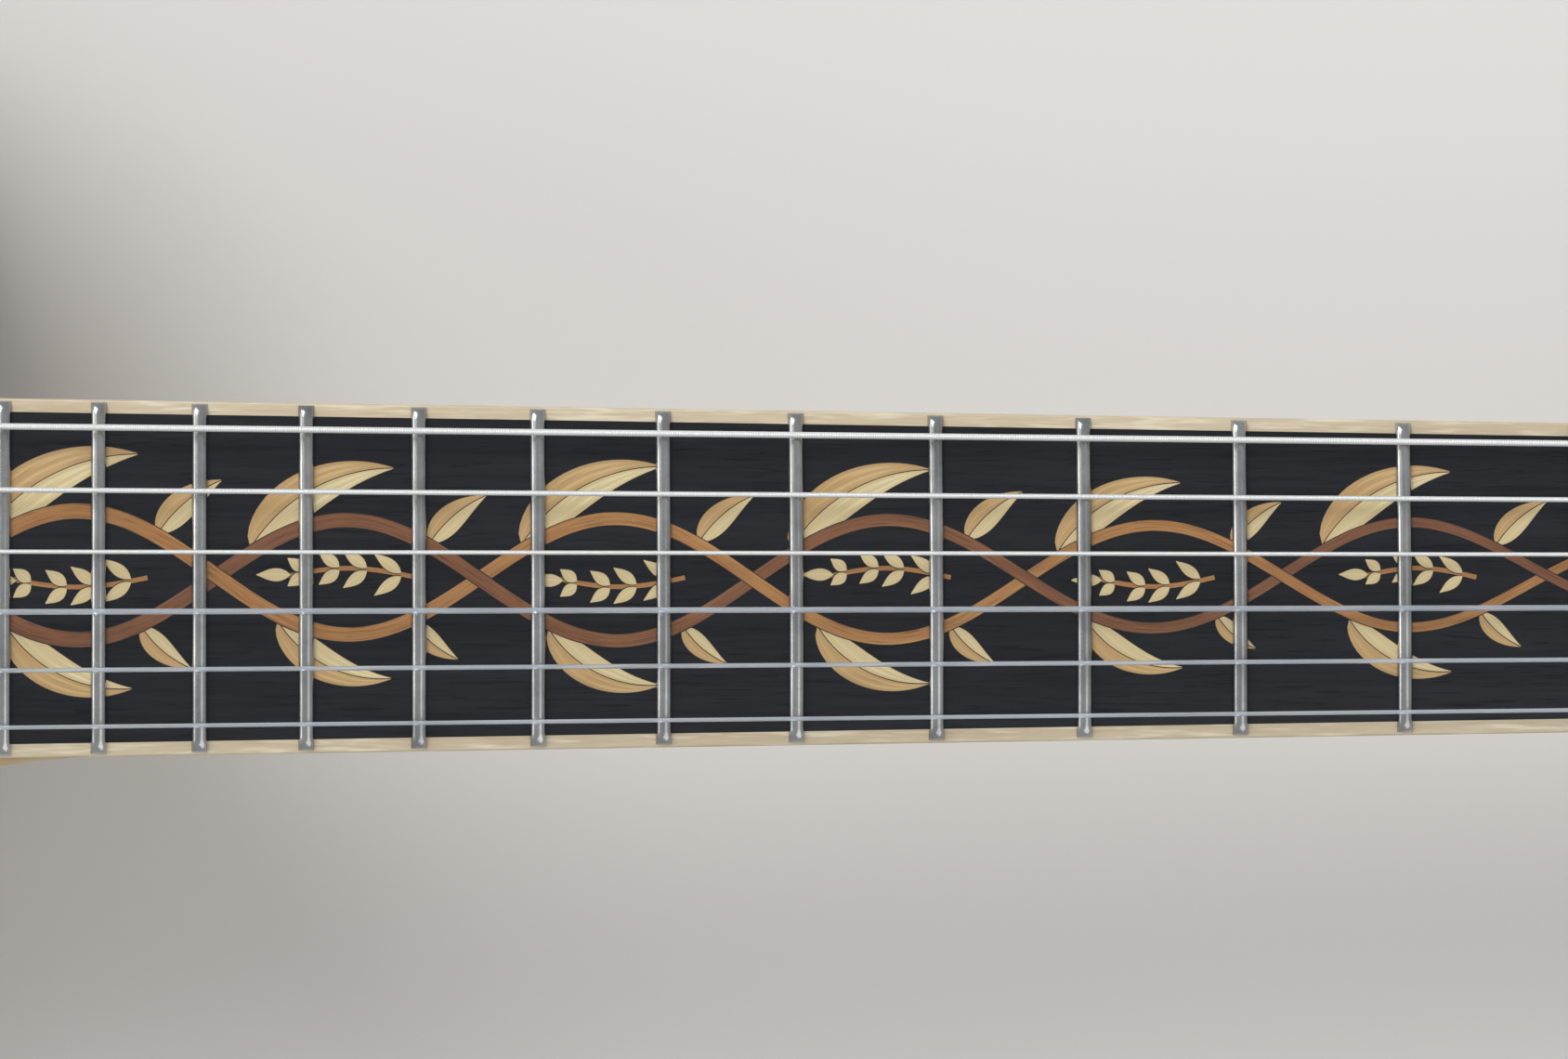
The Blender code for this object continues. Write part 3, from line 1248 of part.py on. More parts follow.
def tail_level(x):
    """Height of the tailpiece's middle plane."""
    front = CROWN + TAIL_FRONT_RISE
    back = TOP_RIM + TAIL_BACK_RISE
    share = (TAIL_FRONT - x) / (TAIL_FRONT - tail_back())
    return front + (back - front) * share + TAIL_BOW * 4 * share * (1 - share)


def tail_anchor(number):
    """Point where a string leaves the tailpiece's front face."""
    y = string_place(number, BRIDGE_SPREAD * 0.96)
    return Vector((TAIL_FRONT, y, tail_level(TAIL_FRONT)))


def make_tailpiece(guitar):
    """Make the tailpiece, the cord that ties it and the end pin."""
    rings = []
    for t in (0.0, 0.06, 0.20, 0.38, 0.60, 0.85, 1.0):
        x = TAIL_FRONT + (tail_back() - TAIL_FRONT) * t
        if t < 0.6:
            half = TAIL_FRONT_WIDTH + (TAIL_WAIST_WIDTH - TAIL_FRONT_WIDTH) * smooth_step(t / 0.6)
        else:
            half = TAIL_WAIST_WIDTH + (TAIL_BACK_WIDTH - TAIL_WAIST_WIDTH) * smooth_step((t - 0.6) / 0.4)
        half = half / 2 - (0.002 if t in (0.0, 1.0) else 0.0)
        thick = TAIL_THICKNESS * (0.92 if t in (0.0, 1.0) else 1.0 - 0.25 * t)
        level = tail_level(x)
        ring = []
        for share, height in ((-1.0, -0.30), (-0.93, -0.5), (0.93, -0.5), (1.0, -0.30), (1.0, 0.1),
                              (0.80, 0.38), (0.40, 0.5), (-0.40, 0.5), (-0.80, 0.38), (-1.0, 0.1)):
            ring.append((x, share * half, level + height * thick))
        rings.append(ring)
    piece = solid("tailpiece", *skin(rings), "ebony", guitar, crease=35.0)
    for number in range(len(STRING_NAMES)):
        spot = tail_anchor(number)
        bore = STRING_GAUGES[number] / 2 + GAP
        tool = skin([[(x, y, z) for y, z in circle(bore, 8)] for x in (-0.010, 0.003)])
        combine(piece, solid(f"anchor_hole_{number}", *tool, None, guitar, Matrix.Translation(spot)))
    path = cord_path()
    for side in (1, -1):
        tip = path[0] if side > 0 else path[-1]
        inner = path[1] if side > 0 else path[-2]
        run = inner - tip
        place = Matrix.Translation(tip) @ run.to_track_quat("X", "Z").to_matrix().to_4x4()
        tool = skin([[(x, y, z) for y, z in circle(CORD_RADIUS + GAP, 12)] for x in (-2 * GAP, 0.020)])
        combine(piece, solid(f"cord_hole_{side}", *tool, None, guitar, place))
    tube("tail_cord", path, CORD_RADIUS, "black_cord", guitar, resolution=2)
    neck_radius = PIN_HEAD_RADIUS * 0.62
    pin = turned(((PIN_RADIUS - 0.0006, -0.018), (PIN_RADIUS, -0.016), (PIN_RADIUS, 0.0),
                  (neck_radius, 0.0), (neck_radius, 0.0042), (PIN_HEAD_RADIUS, 0.0054),
                  (PIN_HEAD_RADIUS, 0.0054 + PIN_HEAD_THICKNESS * 0.7),
                  (PIN_HEAD_RADIUS * 0.72, 0.0054 + PIN_HEAD_THICKNESS)), 14)
    out = TAIL + RIB_INSET - GAP
    place = Matrix.Translation((out, 0.0, PIN_HEIGHT)) @ Matrix.Rotation(-math.pi / 2, 4, "Y")
    solid("end_pin", *pin, "ebony", guitar, place)


def cord_path():
    """Give the cord's route: from the tailpiece over the edge, round the pin and back."""
    half = CORD_SPACING / 2
    back = tail_back()
    level = tail_level(back)
    out = TAIL - CORD_RADIUS - 2 * GAP
    loop = PIN_HEAD_RADIUS * 0.62 + CORD_RADIUS + GAP
    pin_x = TAIL + RIB_INSET - 0.0025
    side = [
        Vector((back + 0.008, half, level + 0.0003)),
        Vector((back, half, level - 0.0004)),
        Vector((TAIL + 0.010, half, TOP_RIM + CORD_RADIUS + 0.0042)),
        Vector((TAIL + 0.0025, half, TOP_RIM + CORD_RADIUS + 0.0014)),
        Vector((out + 0.0006, half * 0.99, TOP_RIM + CORD_RADIUS * 0.6)),
        Vector((out, half * 0.97, TOP_RIM - 0.002)),
        Vector((out, half * 0.92, TOP_RIM - 0.009)),
        Vector(((out + pin_x) / 2, loop + (half - loop) * 0.45, PIN_HEIGHT + 0.017)),
    ]
    arc = []
    steps = 8
    for i in range(steps + 1):
        angle = -math.radians(14) + (math.pi + math.radians(28)) * i / steps
        arc.append(Vector((pin_x, loop * math.cos(angle), PIN_HEIGHT - loop * math.sin(angle))))
    other = [Vector((p.x, -p.y, p.z)) for p in reversed(side)]
    return side + arc + other


# Whole guitar.

def settle(guitar):
    """Stand the guitar on its lowest point, centred over the origin."""
    bpy.context.view_layer.update()
    graph = bpy.context.evaluated_depsgraph_get()
    low = Vector((1e9, 1e9, 1e9))
    high = Vector((-1e9, -1e9, -1e9))
    for thing in bpy.data.objects:
        if thing.type not in {"MESH", "CURVE"} or thing.hide_render:
            continue
        shape = thing.evaluated_get(graph)
        mesh = shape.to_mesh()
        spots = np.empty(len(mesh.vertices) * 3, dtype=np.float32)
        mesh.vertices.foreach_get("co", spots)
        place = np.array(thing.matrix_world)
        spots = spots.reshape(-1, 3) @ place[:3, :3].T + place[:3, 3]
        shape.to_mesh_clear()
        for axis in range(3):
            low[axis] = min(low[axis], float(spots[:, axis].min()))
            high[axis] = max(high[axis], float(spots[:, axis].max()))
    guitar.location = (-(low.x + high.x) / 2, -(low.y + high.y) / 2, -low.z)
    bpy.context.view_layer.update()


def main():
    """Build the guitar."""
    clear_scene()
    guitar = frame("guitar", None, Matrix.Identity(4))
    neck_frame = frame("neck_frame", guitar, NECK_MATRIX)
    head_frame = frame("head_frame", guitar, HEAD_MATRIX)
    make_body(guitar)
    make_neck(guitar)
    make_board(neck_frame)
    make_strings(guitar)
    make_tuners(head_frame)
    make_bridge(guitar)
    make_tailpiece(guitar)
    settle(guitar)


main()
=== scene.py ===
"""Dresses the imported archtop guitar: its woods, metal, bone and strings, and the studio it lies in."""

import json
import logging
import math
from collections.abc import Callable, Iterable, Sequence
from dataclasses import dataclass, field
from enum import Enum
from functools import cache, cached_property

import bmesh
import bpy
import numpy as np
from mathutils import Euler, Matrix, Vector


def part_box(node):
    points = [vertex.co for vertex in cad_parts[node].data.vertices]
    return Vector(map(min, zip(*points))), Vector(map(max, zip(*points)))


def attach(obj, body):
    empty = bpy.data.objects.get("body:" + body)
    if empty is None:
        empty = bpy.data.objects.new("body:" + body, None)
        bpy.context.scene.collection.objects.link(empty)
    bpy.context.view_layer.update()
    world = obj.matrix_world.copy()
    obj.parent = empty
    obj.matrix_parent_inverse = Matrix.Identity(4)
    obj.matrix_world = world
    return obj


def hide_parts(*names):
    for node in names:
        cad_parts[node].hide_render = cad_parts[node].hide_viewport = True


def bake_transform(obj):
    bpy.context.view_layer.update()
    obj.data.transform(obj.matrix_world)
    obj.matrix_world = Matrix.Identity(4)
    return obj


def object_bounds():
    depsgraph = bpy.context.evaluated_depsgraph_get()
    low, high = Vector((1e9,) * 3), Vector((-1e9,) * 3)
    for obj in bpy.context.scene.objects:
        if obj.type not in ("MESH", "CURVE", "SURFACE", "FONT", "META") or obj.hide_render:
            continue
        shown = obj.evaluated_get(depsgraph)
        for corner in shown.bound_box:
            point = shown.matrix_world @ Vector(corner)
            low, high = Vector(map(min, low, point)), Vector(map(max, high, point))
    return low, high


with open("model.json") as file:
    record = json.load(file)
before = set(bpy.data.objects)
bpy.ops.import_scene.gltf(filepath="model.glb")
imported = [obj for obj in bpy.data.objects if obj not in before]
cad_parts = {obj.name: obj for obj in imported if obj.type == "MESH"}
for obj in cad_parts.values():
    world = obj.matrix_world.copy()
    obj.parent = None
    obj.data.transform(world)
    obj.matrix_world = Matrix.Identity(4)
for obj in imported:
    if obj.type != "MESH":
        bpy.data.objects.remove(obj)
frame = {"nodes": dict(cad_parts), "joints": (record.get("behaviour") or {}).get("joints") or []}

log = logging.getLogger("archtop")

CAD_BOX = [list(corner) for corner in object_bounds()]
SEAM = 2e-6
UV_MAP = "UVMap"
Colour = tuple[float, float, float, float]
Flat = tuple[float, float]
Ring = Sequence[Vector]


def linear(red: float, green: float, blue: float) -> Colour:
    """Turns a colour in screen values into the linear one that the nodes take.

    Args:
        red: red, 0 to 255.
        green: green, 0 to 255.
        blue: blue, 0 to 255.

    Returns:
        The linear colour with an alpha of 1.
    """
    shares = (value / 255 for value in (red, green, blue))
    made = [s / 12.92 if s <= 0.04045 else ((s + 0.055) / 1.055) ** 2.4 for s in shares]
    return (made[0], made[1], made[2], 1.0)


def ease(share: float) -> float:
    """Eases a share from 0 to 1 with level ends."""
    share = min(1.0, max(0.0, share))
    return share * share * (3 - 2 * share)


class Signal:
    """A shader socket in a Python expression; each operator adds its Math node."""

    def __init__(self, shader: "Shader", socket: bpy.types.NodeSocket | None) -> None:
        """Keeps the shader that new nodes go into and the socket that is read."""
        self.shader, self.socket = shader, socket

    def maths(self, operation: str, *values: object) -> "Signal":
        """Adds a Math node.

        Args:
            operation: the Math node's operation.
            values: its inputs, numbers or Signals.

        Returns:
            The node's result.
        """
        return self.shader.node("ShaderNodeMath", {"operation": operation}, dict(enumerate(values)))

    def __add__(self, other: object) -> "Signal":
        """self + other."""
        return self.maths("ADD", self, other)

    def __radd__(self, other: object) -> "Signal":
        """other + self."""
        return self.maths("ADD", other, self)

    def __sub__(self, other: object) -> "Signal":
        """self - other."""
        return self.maths("SUBTRACT", self, other)

    def __rsub__(self, other: object) -> "Signal":
        """other - self."""
        return self.maths("SUBTRACT", other, self)

    def __mul__(self, other: object) -> "Signal":
        """self * other."""
        return self.maths("MULTIPLY", self, other)

    def __rmul__(self, other: object) -> "Signal":
        """other * self."""
        return self.maths("MULTIPLY", other, self)

    def __truediv__(self, other: object) -> "Signal":
        """self / other."""
        return self.maths("DIVIDE", self, other)

    def __pow__(self, other: object) -> "Signal":
        """self to the power of other."""
        return self.maths("POWER", self, other)

    def __abs__(self) -> "Signal":
        """The value without its sign."""
        return self.maths("ABSOLUTE", self)


class Shader:
    """One material while it is made."""

    def __init__(self, name: str) -> None:
        """Starts an empty node tree under that name."""
        self.material = bpy.data.materials.new(name)
        self.material.use_nodes = True
        self.tree = self.material.node_tree
        self.tree.nodes.clear()

    def node(self, kind: str, settings: dict | None = None, sockets: dict | None = None, out: object = 0) -> Signal:
        """Adds one node.

        Args:
            kind: the node's type.
            settings: what is set on the node first; "stops" fills its colour ramp.
            sockets: the value or Signal of each input, by name or place.
            out: the output that is handed back, by name or place.

        Returns:
            The chosen output.
        """
        made = self.tree.nodes.new(kind)
        for name, value in (settings or {}).items():
            if name == "stops":
                ramp = made.color_ramp
                ramp.elements.remove(ramp.elements[0])
                ramp.elements[0].position, ramp.elements[0].color = value[0]
                for place, colour in value[1:]:
                    ramp.elements.new(place).color = colour
            else:
                setattr(made, name, value)
        for name, value in (sockets or {}).items():
            if isinstance(value, Signal):
                self.tree.links.new(value.socket, made.inputs[name])
            else:
                made.inputs[name].default_value = value
        return Signal(self, made.outputs[out] if len(made.outputs) else None)

    def mix(self, amount: object, first: object, second: object, blend: str = "MIX") -> Signal:
        """Mixes two colours.

        Args:
            amount: 0 for the first, 1 for the second.
            first: the first colour.
            second: the second colour.
            blend: how the second is laid over the first.

        Returns:
            The mixed colour.
        """
        settings = {"data_type": "RGBA", "blend_type": blend}
        return self.node("ShaderNodeMix", settings, {0: amount, 6: first, 7: second}, 2)

    def between(self, value: object, low: float, high: float, start: float = 0.0, end: float = 1.0) -> Signal:
        """Stretches a value's range and clamps it.

        Args:
            value: the value.
            low: what becomes start.
            high: what becomes end.
            start: the result at low.
            end: the result at high.

        Returns:
            The stretched value.
        """
        sockets = {"Value": value, "From Min": low, "From Max": high, "To Min": start, "To Max": end}
        return self.node("ShaderNodeMapRange", {"clamp": True}, sockets, "Result")

    def place(self, scale: Sequence[float] = (1.0, 1.0, 1.0), turn: Sequence[float] = (0.0, 0.0, 0.0),
              flat: bool = False) -> Signal:
        """Coordinates in metres.

        Args:
            scale: the stretch along each axis.
            turn: the turn about each axis, in radians.
            flat: the piece's own map in place of the object's space.

        Returns:
            The coordinates.
        """
        if flat:
            where = self.node("ShaderNodeUVMap", {"uv_map": UV_MAP})
        else:
            where = self.node("ShaderNodeTexCoord", out="Object")
        return self.node("ShaderNodeMapping", sockets={"Vector": where, "Rotation": turn, "Scale": scale})

    def parts(self, where: Signal) -> tuple[Signal, Signal, Signal]:
        """Splits coordinates into their three numbers."""
        split = self.node("ShaderNodeSeparateXYZ", sockets={0: where})
        outputs = split.socket.node.outputs
        return (Signal(self, outputs[0]), Signal(self, outputs[1]), Signal(self, outputs[2]))

    def joined(self, x: object, y: object, z: object) -> Signal:
        """Puts three numbers together as coordinates."""
        return self.node("ShaderNodeCombineXYZ", sockets={0: x, 1: y, 2: z})

    def noise(self, where: Signal, scale: float = 1.0, detail: float = 3.0, roughness: float = 0.5) -> Signal:
        """Smooth noise.

        Args:
            where: the coordinates it is read at.
            scale: its scale there.
            detail: how many finer layers it has.
            roughness: how strong the finer layers are.

        Returns:
            Its strength, about 0.5 on average.
        """
        sockets = {"Vector": where, "Scale": scale, "Detail": detail, "Roughness": roughness}
        return self.node("ShaderNodeTexNoise", sockets=sockets, out="Fac")

    def bump(self, height: Signal, distance: float, strength: float = 1.0) -> Signal:
        """Turns a height into a normal.

        Args:
            height: the height, about 0 to 1.
            distance: how far a height of 1 stands out, in metres.
            strength: how much of it is used.

        Returns:
            The normal.
        """
        sockets = {"Height": height, "Strength": strength, "Distance": distance}
        return self.node("ShaderNodeBump", sockets=sockets, out="Normal")

    def finish(self, sockets: dict) -> bpy.types.Material:
        """Closes the material with its surface shader.

        Args:
            sockets: the surface shader's values and Signals.

        Returns:
            The finished material.
        """
        surface = self.node("ShaderNodeBsdfPrincipled", sockets=sockets)
        self.node("ShaderNodeOutputMaterial", sockets={"Surface": surface})
        return self.material


class Figure(Enum):
    """What a wood's surface shows besides its fibres."""

    PORES = "short dark pores along the grain"
    REEDS = "even dark lines of late wood"
    CURL = "curled bands across the grain"
    FLECKS = "small pale flecks"


@dataclass(frozen=True)
class Wood:
    """A wood finish: its tones, its figure and its polish."""

    name: str
    light: Colour
    dark: Colour
    figure: Figure
    roughness: float
    coat: float = 0.0
    lengthways: float = 12.0
    fineness: float = 900.0
    across: bool = False
    mapped: bool = False
    shaded: Colour | None = None
    pores: float = 0.20
    lustre: float = 0.5

    def material(self) -> bpy.types.Material:
        """Makes the wood with its grain along the instrument, across it or along the piece's own map."""
        shader = Shader(self.name)
        slow, fast = self.lengthways, self.fineness
        stretch = (fast, slow, fast) if self.across or self.mapped else (slow, fast, fast)
        where = shader.place(stretch, flat=self.mapped)
        fibres = shader.noise(where, 1.0, 4.0, 0.6)
        broad = shader.noise(shader.place([s * 0.08 for s in stretch], flat=self.mapped), 1.0, 2.0)
        tone = fibres * 0.55 + broad * 0.45
        height = fibres
        if self.figure is Figure.PORES:
            pores = shader.noise(shader.place([s * 2.2 for s in stretch], flat=self.mapped), 1.0, 1.0)
            height = fibres * 0.5 - shader.between(pores, 0.60, 0.72)
            tone = tone - shader.between(pores, 0.58, 0.72, 0.0, self.pores)
        if self.figure is Figure.REEDS:
            reeds = self.reeds(shader)
            tone = tone * 0.55 + 0.33 - reeds * 0.26
            height = fibres * 0.5 + reeds * 0.5
        if self.figure is Figure.CURL:
            curl = self.curl(shader)
            tone = tone * 0.40 + curl * 0.50 + 0.05
        if self.figure is Figure.FLECKS:
            flecks = shader.noise(shader.place([s * 0.55 for s in stretch], flat=self.mapped), 1.0, 2.0, 0.7)
            tone = tone * 0.6 + shader.between(flecks, 0.50, 0.68, 0.1, 0.42)
        colour = shader.mix(shader.between(tone, 0.28, 0.72), self.dark, self.light)
        if self.shaded is not None:
            rim = shader.node("ShaderNodeAttribute", {"attribute_name": "rim"}, out="Fac")
            colour = shader.mix(shader.between(rim, 0.0, 0.55, 0.88, 0.0), colour, self.shaded)
        worn = shader.noise(shader.place((1.0, 1.0, 1.0)), 26.0, 3.0)
        rough = self.roughness + (fibres - 0.5) * 0.16 + (worn - 0.5) * 0.14
        return shader.finish({
            "Base Color": colour, "Roughness": rough, "Normal": shader.bump(height, 0.00006, 0.5),
            "Specular IOR Level": self.lustre, "Coat Weight": self.coat, "Coat Roughness": 0.08})

    def reeds(self, shader: Shader) -> Signal:
        """Makes the dark late wood lines, mirrored at the joint in the middle of the plate."""
        x, y, z = shader.parts(shader.place())
        drift = shader.noise(shader.joined(x * 2.2, abs(y) * 26.0, z * 2.0), 1.0, 3.0)
        line = (abs(y) + drift * 0.009) * (2 * math.pi / 0.0016)
        wave = line.maths("SINE", line)
        strength = shader.noise(shader.joined(x * 3.0, abs(y) * 160.0, z * 3.0), 1.0, 2.0)
        return shader.between(wave, 0.10, 1.0) ** 1.6 * shader.between(strength, 0.32, 0.62, 0.3, 1.0)

    def curl(self, shader: Shader) -> Signal:
        """Makes the curled bands that lean away from the joint in the middle."""
        x, y, z = shader.parts(shader.place(flat=self.mapped))
        if self.mapped:
            x, y = y, x
        lean = x + abs(y) * 0.28 + z * 0.35
        drift = shader.noise(shader.joined(x * 16.0, abs(y) * 30.0, z * 30.0), 1.0, 3.0, 0.6)
        wave = (lean * 2 * math.pi / 0.0105 + drift * 7.5)
        bands = wave.maths("SINE", wave)
        patch = shader.noise(shader.joined(x * 9.0, abs(y) * 14.0, z * 14.0), 1.0, 2.0)
        return bands * 0.5 * shader.between(patch, 0.3, 0.6, 0.35, 1.0) + 0.5


@dataclass(frozen=True)
class Metal:
    """A polished metal with cloudy wear and fine scratches that run one way."""

    name: str
    colour: Colour
    worn: Colour
    roughness: float
    scratches: tuple[float, float, float] = (1800.0, 120.0, 1800.0)
    cloud: float = 90.0

    def material(self) -> bpy.types.Material:
        """Makes the metal."""
        shader = Shader(self.name)
        fine = shader.noise(shader.place(self.scratches), 1.0, 3.0, 0.6)
        cloud = shader.noise(shader.place(), self.cloud, 4.0, 0.6)
        spots = shader.between(shader.noise(shader.place(), self.cloud * 9, 2.0), 0.62, 0.76)
        colour = shader.mix(shader.between(cloud, 0.35, 0.68), self.colour, self.worn)
        colour = shader.mix(spots * 0.25, colour, self.worn)
        rough = self.roughness + (fine - 0.5) * 0.16 + (cloud - 0.5) * 0.2
        return shader.finish({"Base Color": colour, "Metallic": 1.0, "Roughness": rough,
                              "Normal": shader.bump(fine, 0.00002, 0.35)})


@dataclass(frozen=True)
class Winding:
    """Fine silver wire wound round a core, its turns counted along the string."""

    name: str
    colour: Colour
    # painted shade for the grooves between the turns, also the colour of the tarnish
    groove_shade_and_tarnish: Colour
    pitch: float
    roughness: float = 0.40
    silver: float = 0.42

    def material(self) -> bpy.types.Material:
        """Makes the winding from the string's own length."""
        shader = Shader(self.name)
        around, along, _ = shader.parts(shader.place(flat=True))
        turn = (along / self.pitch + around) * (2 * math.pi)
        crest = turn.maths("SINE", turn) * 0.5 + 0.5
        tarnish = shader.noise(shader.place((60.0, 400.0, 400.0)), 1.0, 3.0)
        # The grooves between the turns are painted darker than the crests: painted shade where the turns meet.
        colour = shader.mix(crest ** 0.6, self.groove_shade_and_tarnish, self.colour)
        # Random patches then mix towards the same colour: tarnish.
        colour = shader.mix(shader.between(tarnish, 0.55, 0.8, 0.0, 0.35), colour, self.groove_shade_and_tarnish)
        return shader.finish({"Base Color": colour, "Metallic": self.silver,
                              "Roughness": self.roughness + (tarnish - 0.5) * 0.12,
                              "Normal": shader.bump(crest, self.pitch * 0.35, 0.8)})


@dataclass(frozen=True)
class Plain:
    """A finish without grain: clear nylon, bone, glue or lacquer, with slight clouding."""

    name: str
    colour: Colour
    cloudy: Colour
    roughness: float
    scale: float = 300.0
    clear: float = 0.0
    pits: float = 0.00003

    def material(self) -> bpy.types.Material:
        """Makes the finish."""
        shader = Shader(self.name)
        cloud = shader.noise(shader.place((0.4, 1.0, 1.0)), self.scale * 0.3, 3.0)
        fine = shader.noise(shader.place((0.25, 1.0, 1.0)), self.scale * 3, 3.0)
        colour = shader.mix(shader.between(cloud, 0.35, 0.7), self.colour, self.cloudy)
        return shader.finish({"Base Color": colour, "Roughness": self.roughness + (fine - 0.5) * 0.14,
                              "Normal": shader.bump(fine, self.pits, 0.5), "Transmission Weight": self.clear,
                              "IOR": 1.53})


@dataclass(frozen=True)
class Braid:
    """A tightly braided black cord."""

    name: str
    colour: Colour
    # the colour of the hollows between the strands: painted shade
    hollow: Colour
    strands: int
    pitch: float

    def material(self) -> bpy.types.Material:
        """Makes the crossing strands from the cord's own map."""
        shader = Shader(self.name)
        around, along, _ = shader.parts(shader.place(flat=True))
        left = (along / self.pitch + around * self.strands) * (2 * math.pi)
        right = (along / self.pitch - around * self.strands) * (2 * math.pi)
        weave = left.maths("SINE", left) * right.maths("SINE", right)
        height = shader.between(weave, -0.6, 0.8)
        fuzz = shader.noise(shader.place(), 4200.0, 2.0)
        # Where the weave sinks the strands are painted darker: painted shade in the hollows between them, with random
        # fuzz.
        colour = shader.mix(height * 0.7 + fuzz * 0.3, self.hollow, self.colour)
        return shader.finish({"Base Color": colour, "Roughness": 0.62 + (fuzz - 0.5) * 0.2,
                              "Normal": shader.bump(height * 0.8 + fuzz * 0.2, 0.0002, 0.7)})


@dataclass(frozen=True)
class Finishes:
    """Every finish of the instrument."""

    # The ebony's dark tone is the wood's own; its slight blue tint is a painted reflection of the bluish sky light.
    ebony: Wood = Wood("ebony", linear(33, 36, 42), linear(14, 15, 18), Figure.PORES, 0.42, lengthways=14.0,
                       pores=0.26, lustre=0.28)
    cross_ebony: Wood = Wood("ebony_across", linear(42, 41, 42), linear(18, 17, 18), Figure.PORES, 0.32, 0.3,
                             lengthways=14.0, across=True, pores=0.26, lustre=0.4)
    spruce: Wood = Wood("spruce", linear(232, 186, 116), linear(190, 130, 66), Figure.REEDS, 0.30, 0.8,
                        shaded=linear(128, 66, 26))
    flamed: Wood = Wood("flamed_maple", linear(222, 172, 108), linear(160, 100, 50), Figure.CURL, 0.30, 0.8,
                        lengthways=20.0, shaded=linear(112, 56, 24))
    rib_wood: Wood = Wood("rib_maple", linear(208, 148, 84), linear(146, 88, 42), Figure.CURL, 0.30, 0.8,
                          lengthways=20.0, mapped=True)
    neck_wood: Wood = Wood("neck_maple", linear(226, 204, 166), linear(198, 168, 124), Figure.CURL, 0.36, 0.4,
                           lengthways=20.0)
    edging: Wood = Wood("pale_edging", linear(220, 207, 180), linear(184, 165, 134), Figure.FLECKS, 0.42, 0.1,
                        lengthways=90.0, fineness=1500.0)
    trim: Wood = Wood("pale_trim", linear(220, 207, 180), linear(184, 165, 134), Figure.FLECKS, 0.40, 0.4,
                      lengthways=90.0, fineness=1500.0, mapped=True)
    # Its slight blue tint is likewise a painted reflection of the bluish sky light.
    polished: Wood = Wood("polished_ebony", linear(34, 36, 40), linear(14, 15, 18), Figure.PORES, 0.32, 0.35,
                          lengthways=14.0, pores=0.26, lustre=0.4)
    bare: Wood = Wood("bare_spruce", linear(220, 190, 142), linear(188, 152, 104), Figure.REEDS, 0.6)
    leaf: Wood = Wood("pale_inlay", linear(224, 209, 166), linear(190, 168, 120), Figure.FLECKS, 0.44,
                      lengthways=70.0, fineness=2400.0, mapped=True)
    leaf_shade: Wood = Wood("tan_inlay", linear(208, 178, 126), linear(168, 132, 84), Figure.FLECKS, 0.44,
                            lengthways=70.0, fineness=2400.0, mapped=True)
    stem: Wood = Wood("brown_inlay", linear(188, 140, 84), linear(134, 86, 44), Figure.PORES, 0.44,
                      lengthways=60.0, fineness=2000.0, mapped=True, pores=0.5)
    dark_stem: Wood = Wood("dark_inlay", linear(146, 96, 60), linear(92, 56, 36), Figure.PORES, 0.44,
                           lengthways=60.0, fineness=2000.0, mapped=True, pores=0.5)
    glue: Plain = Plain("glue_line", linear(30, 22, 18), linear(18, 14, 12), 0.5)
    black_line: Plain = Plain("black_line", linear(26, 24, 24), linear(16, 15, 15), 0.35)
    fret_metal: Metal = Metal("fret_metal", linear(186, 186, 184), linear(146, 146, 145), 0.24)
    gold: Metal = Metal("soft_gold", linear(222, 178, 100), linear(196, 148, 76), 0.22, (900.0, 900.0, 900.0))
    steel: Metal = Metal("steel", linear(156, 156, 160), linear(120, 120, 124), 0.32)
    nylon: Plain = Plain("clear_nylon", linear(226, 232, 238), linear(206, 214, 222), 0.13, 300.0, 0.60)
    bone: Plain = Plain("bone", linear(236, 227, 204), linear(218, 204, 172), 0.34, 260.0)
    # The cord's second colour is painted shade in the hollows of its braid.
    cord: Braid = Braid("black_cord", linear(46, 45, 46), linear(14, 14, 15), 4, 0.0042)
    # The second colour of each winding is painted shade in its grooves, also used for tarnish.
    winding_low: Winding = Winding("winding_low", linear(250, 251, 249), linear(214, 216, 214), 0.00026)
    winding_mid: Winding = Winding("winding_mid", linear(250, 251, 249), linear(214, 216, 214), 0.00021)
    winding_high: Winding = Winding("winding_high", linear(250, 251, 249), linear(214, 216, 214), 0.00017)

    @cache
    def of(self, name: str) -> bpy.types.Material:
        """The material of a finish, made once."""
        return getattr(self, name).material()


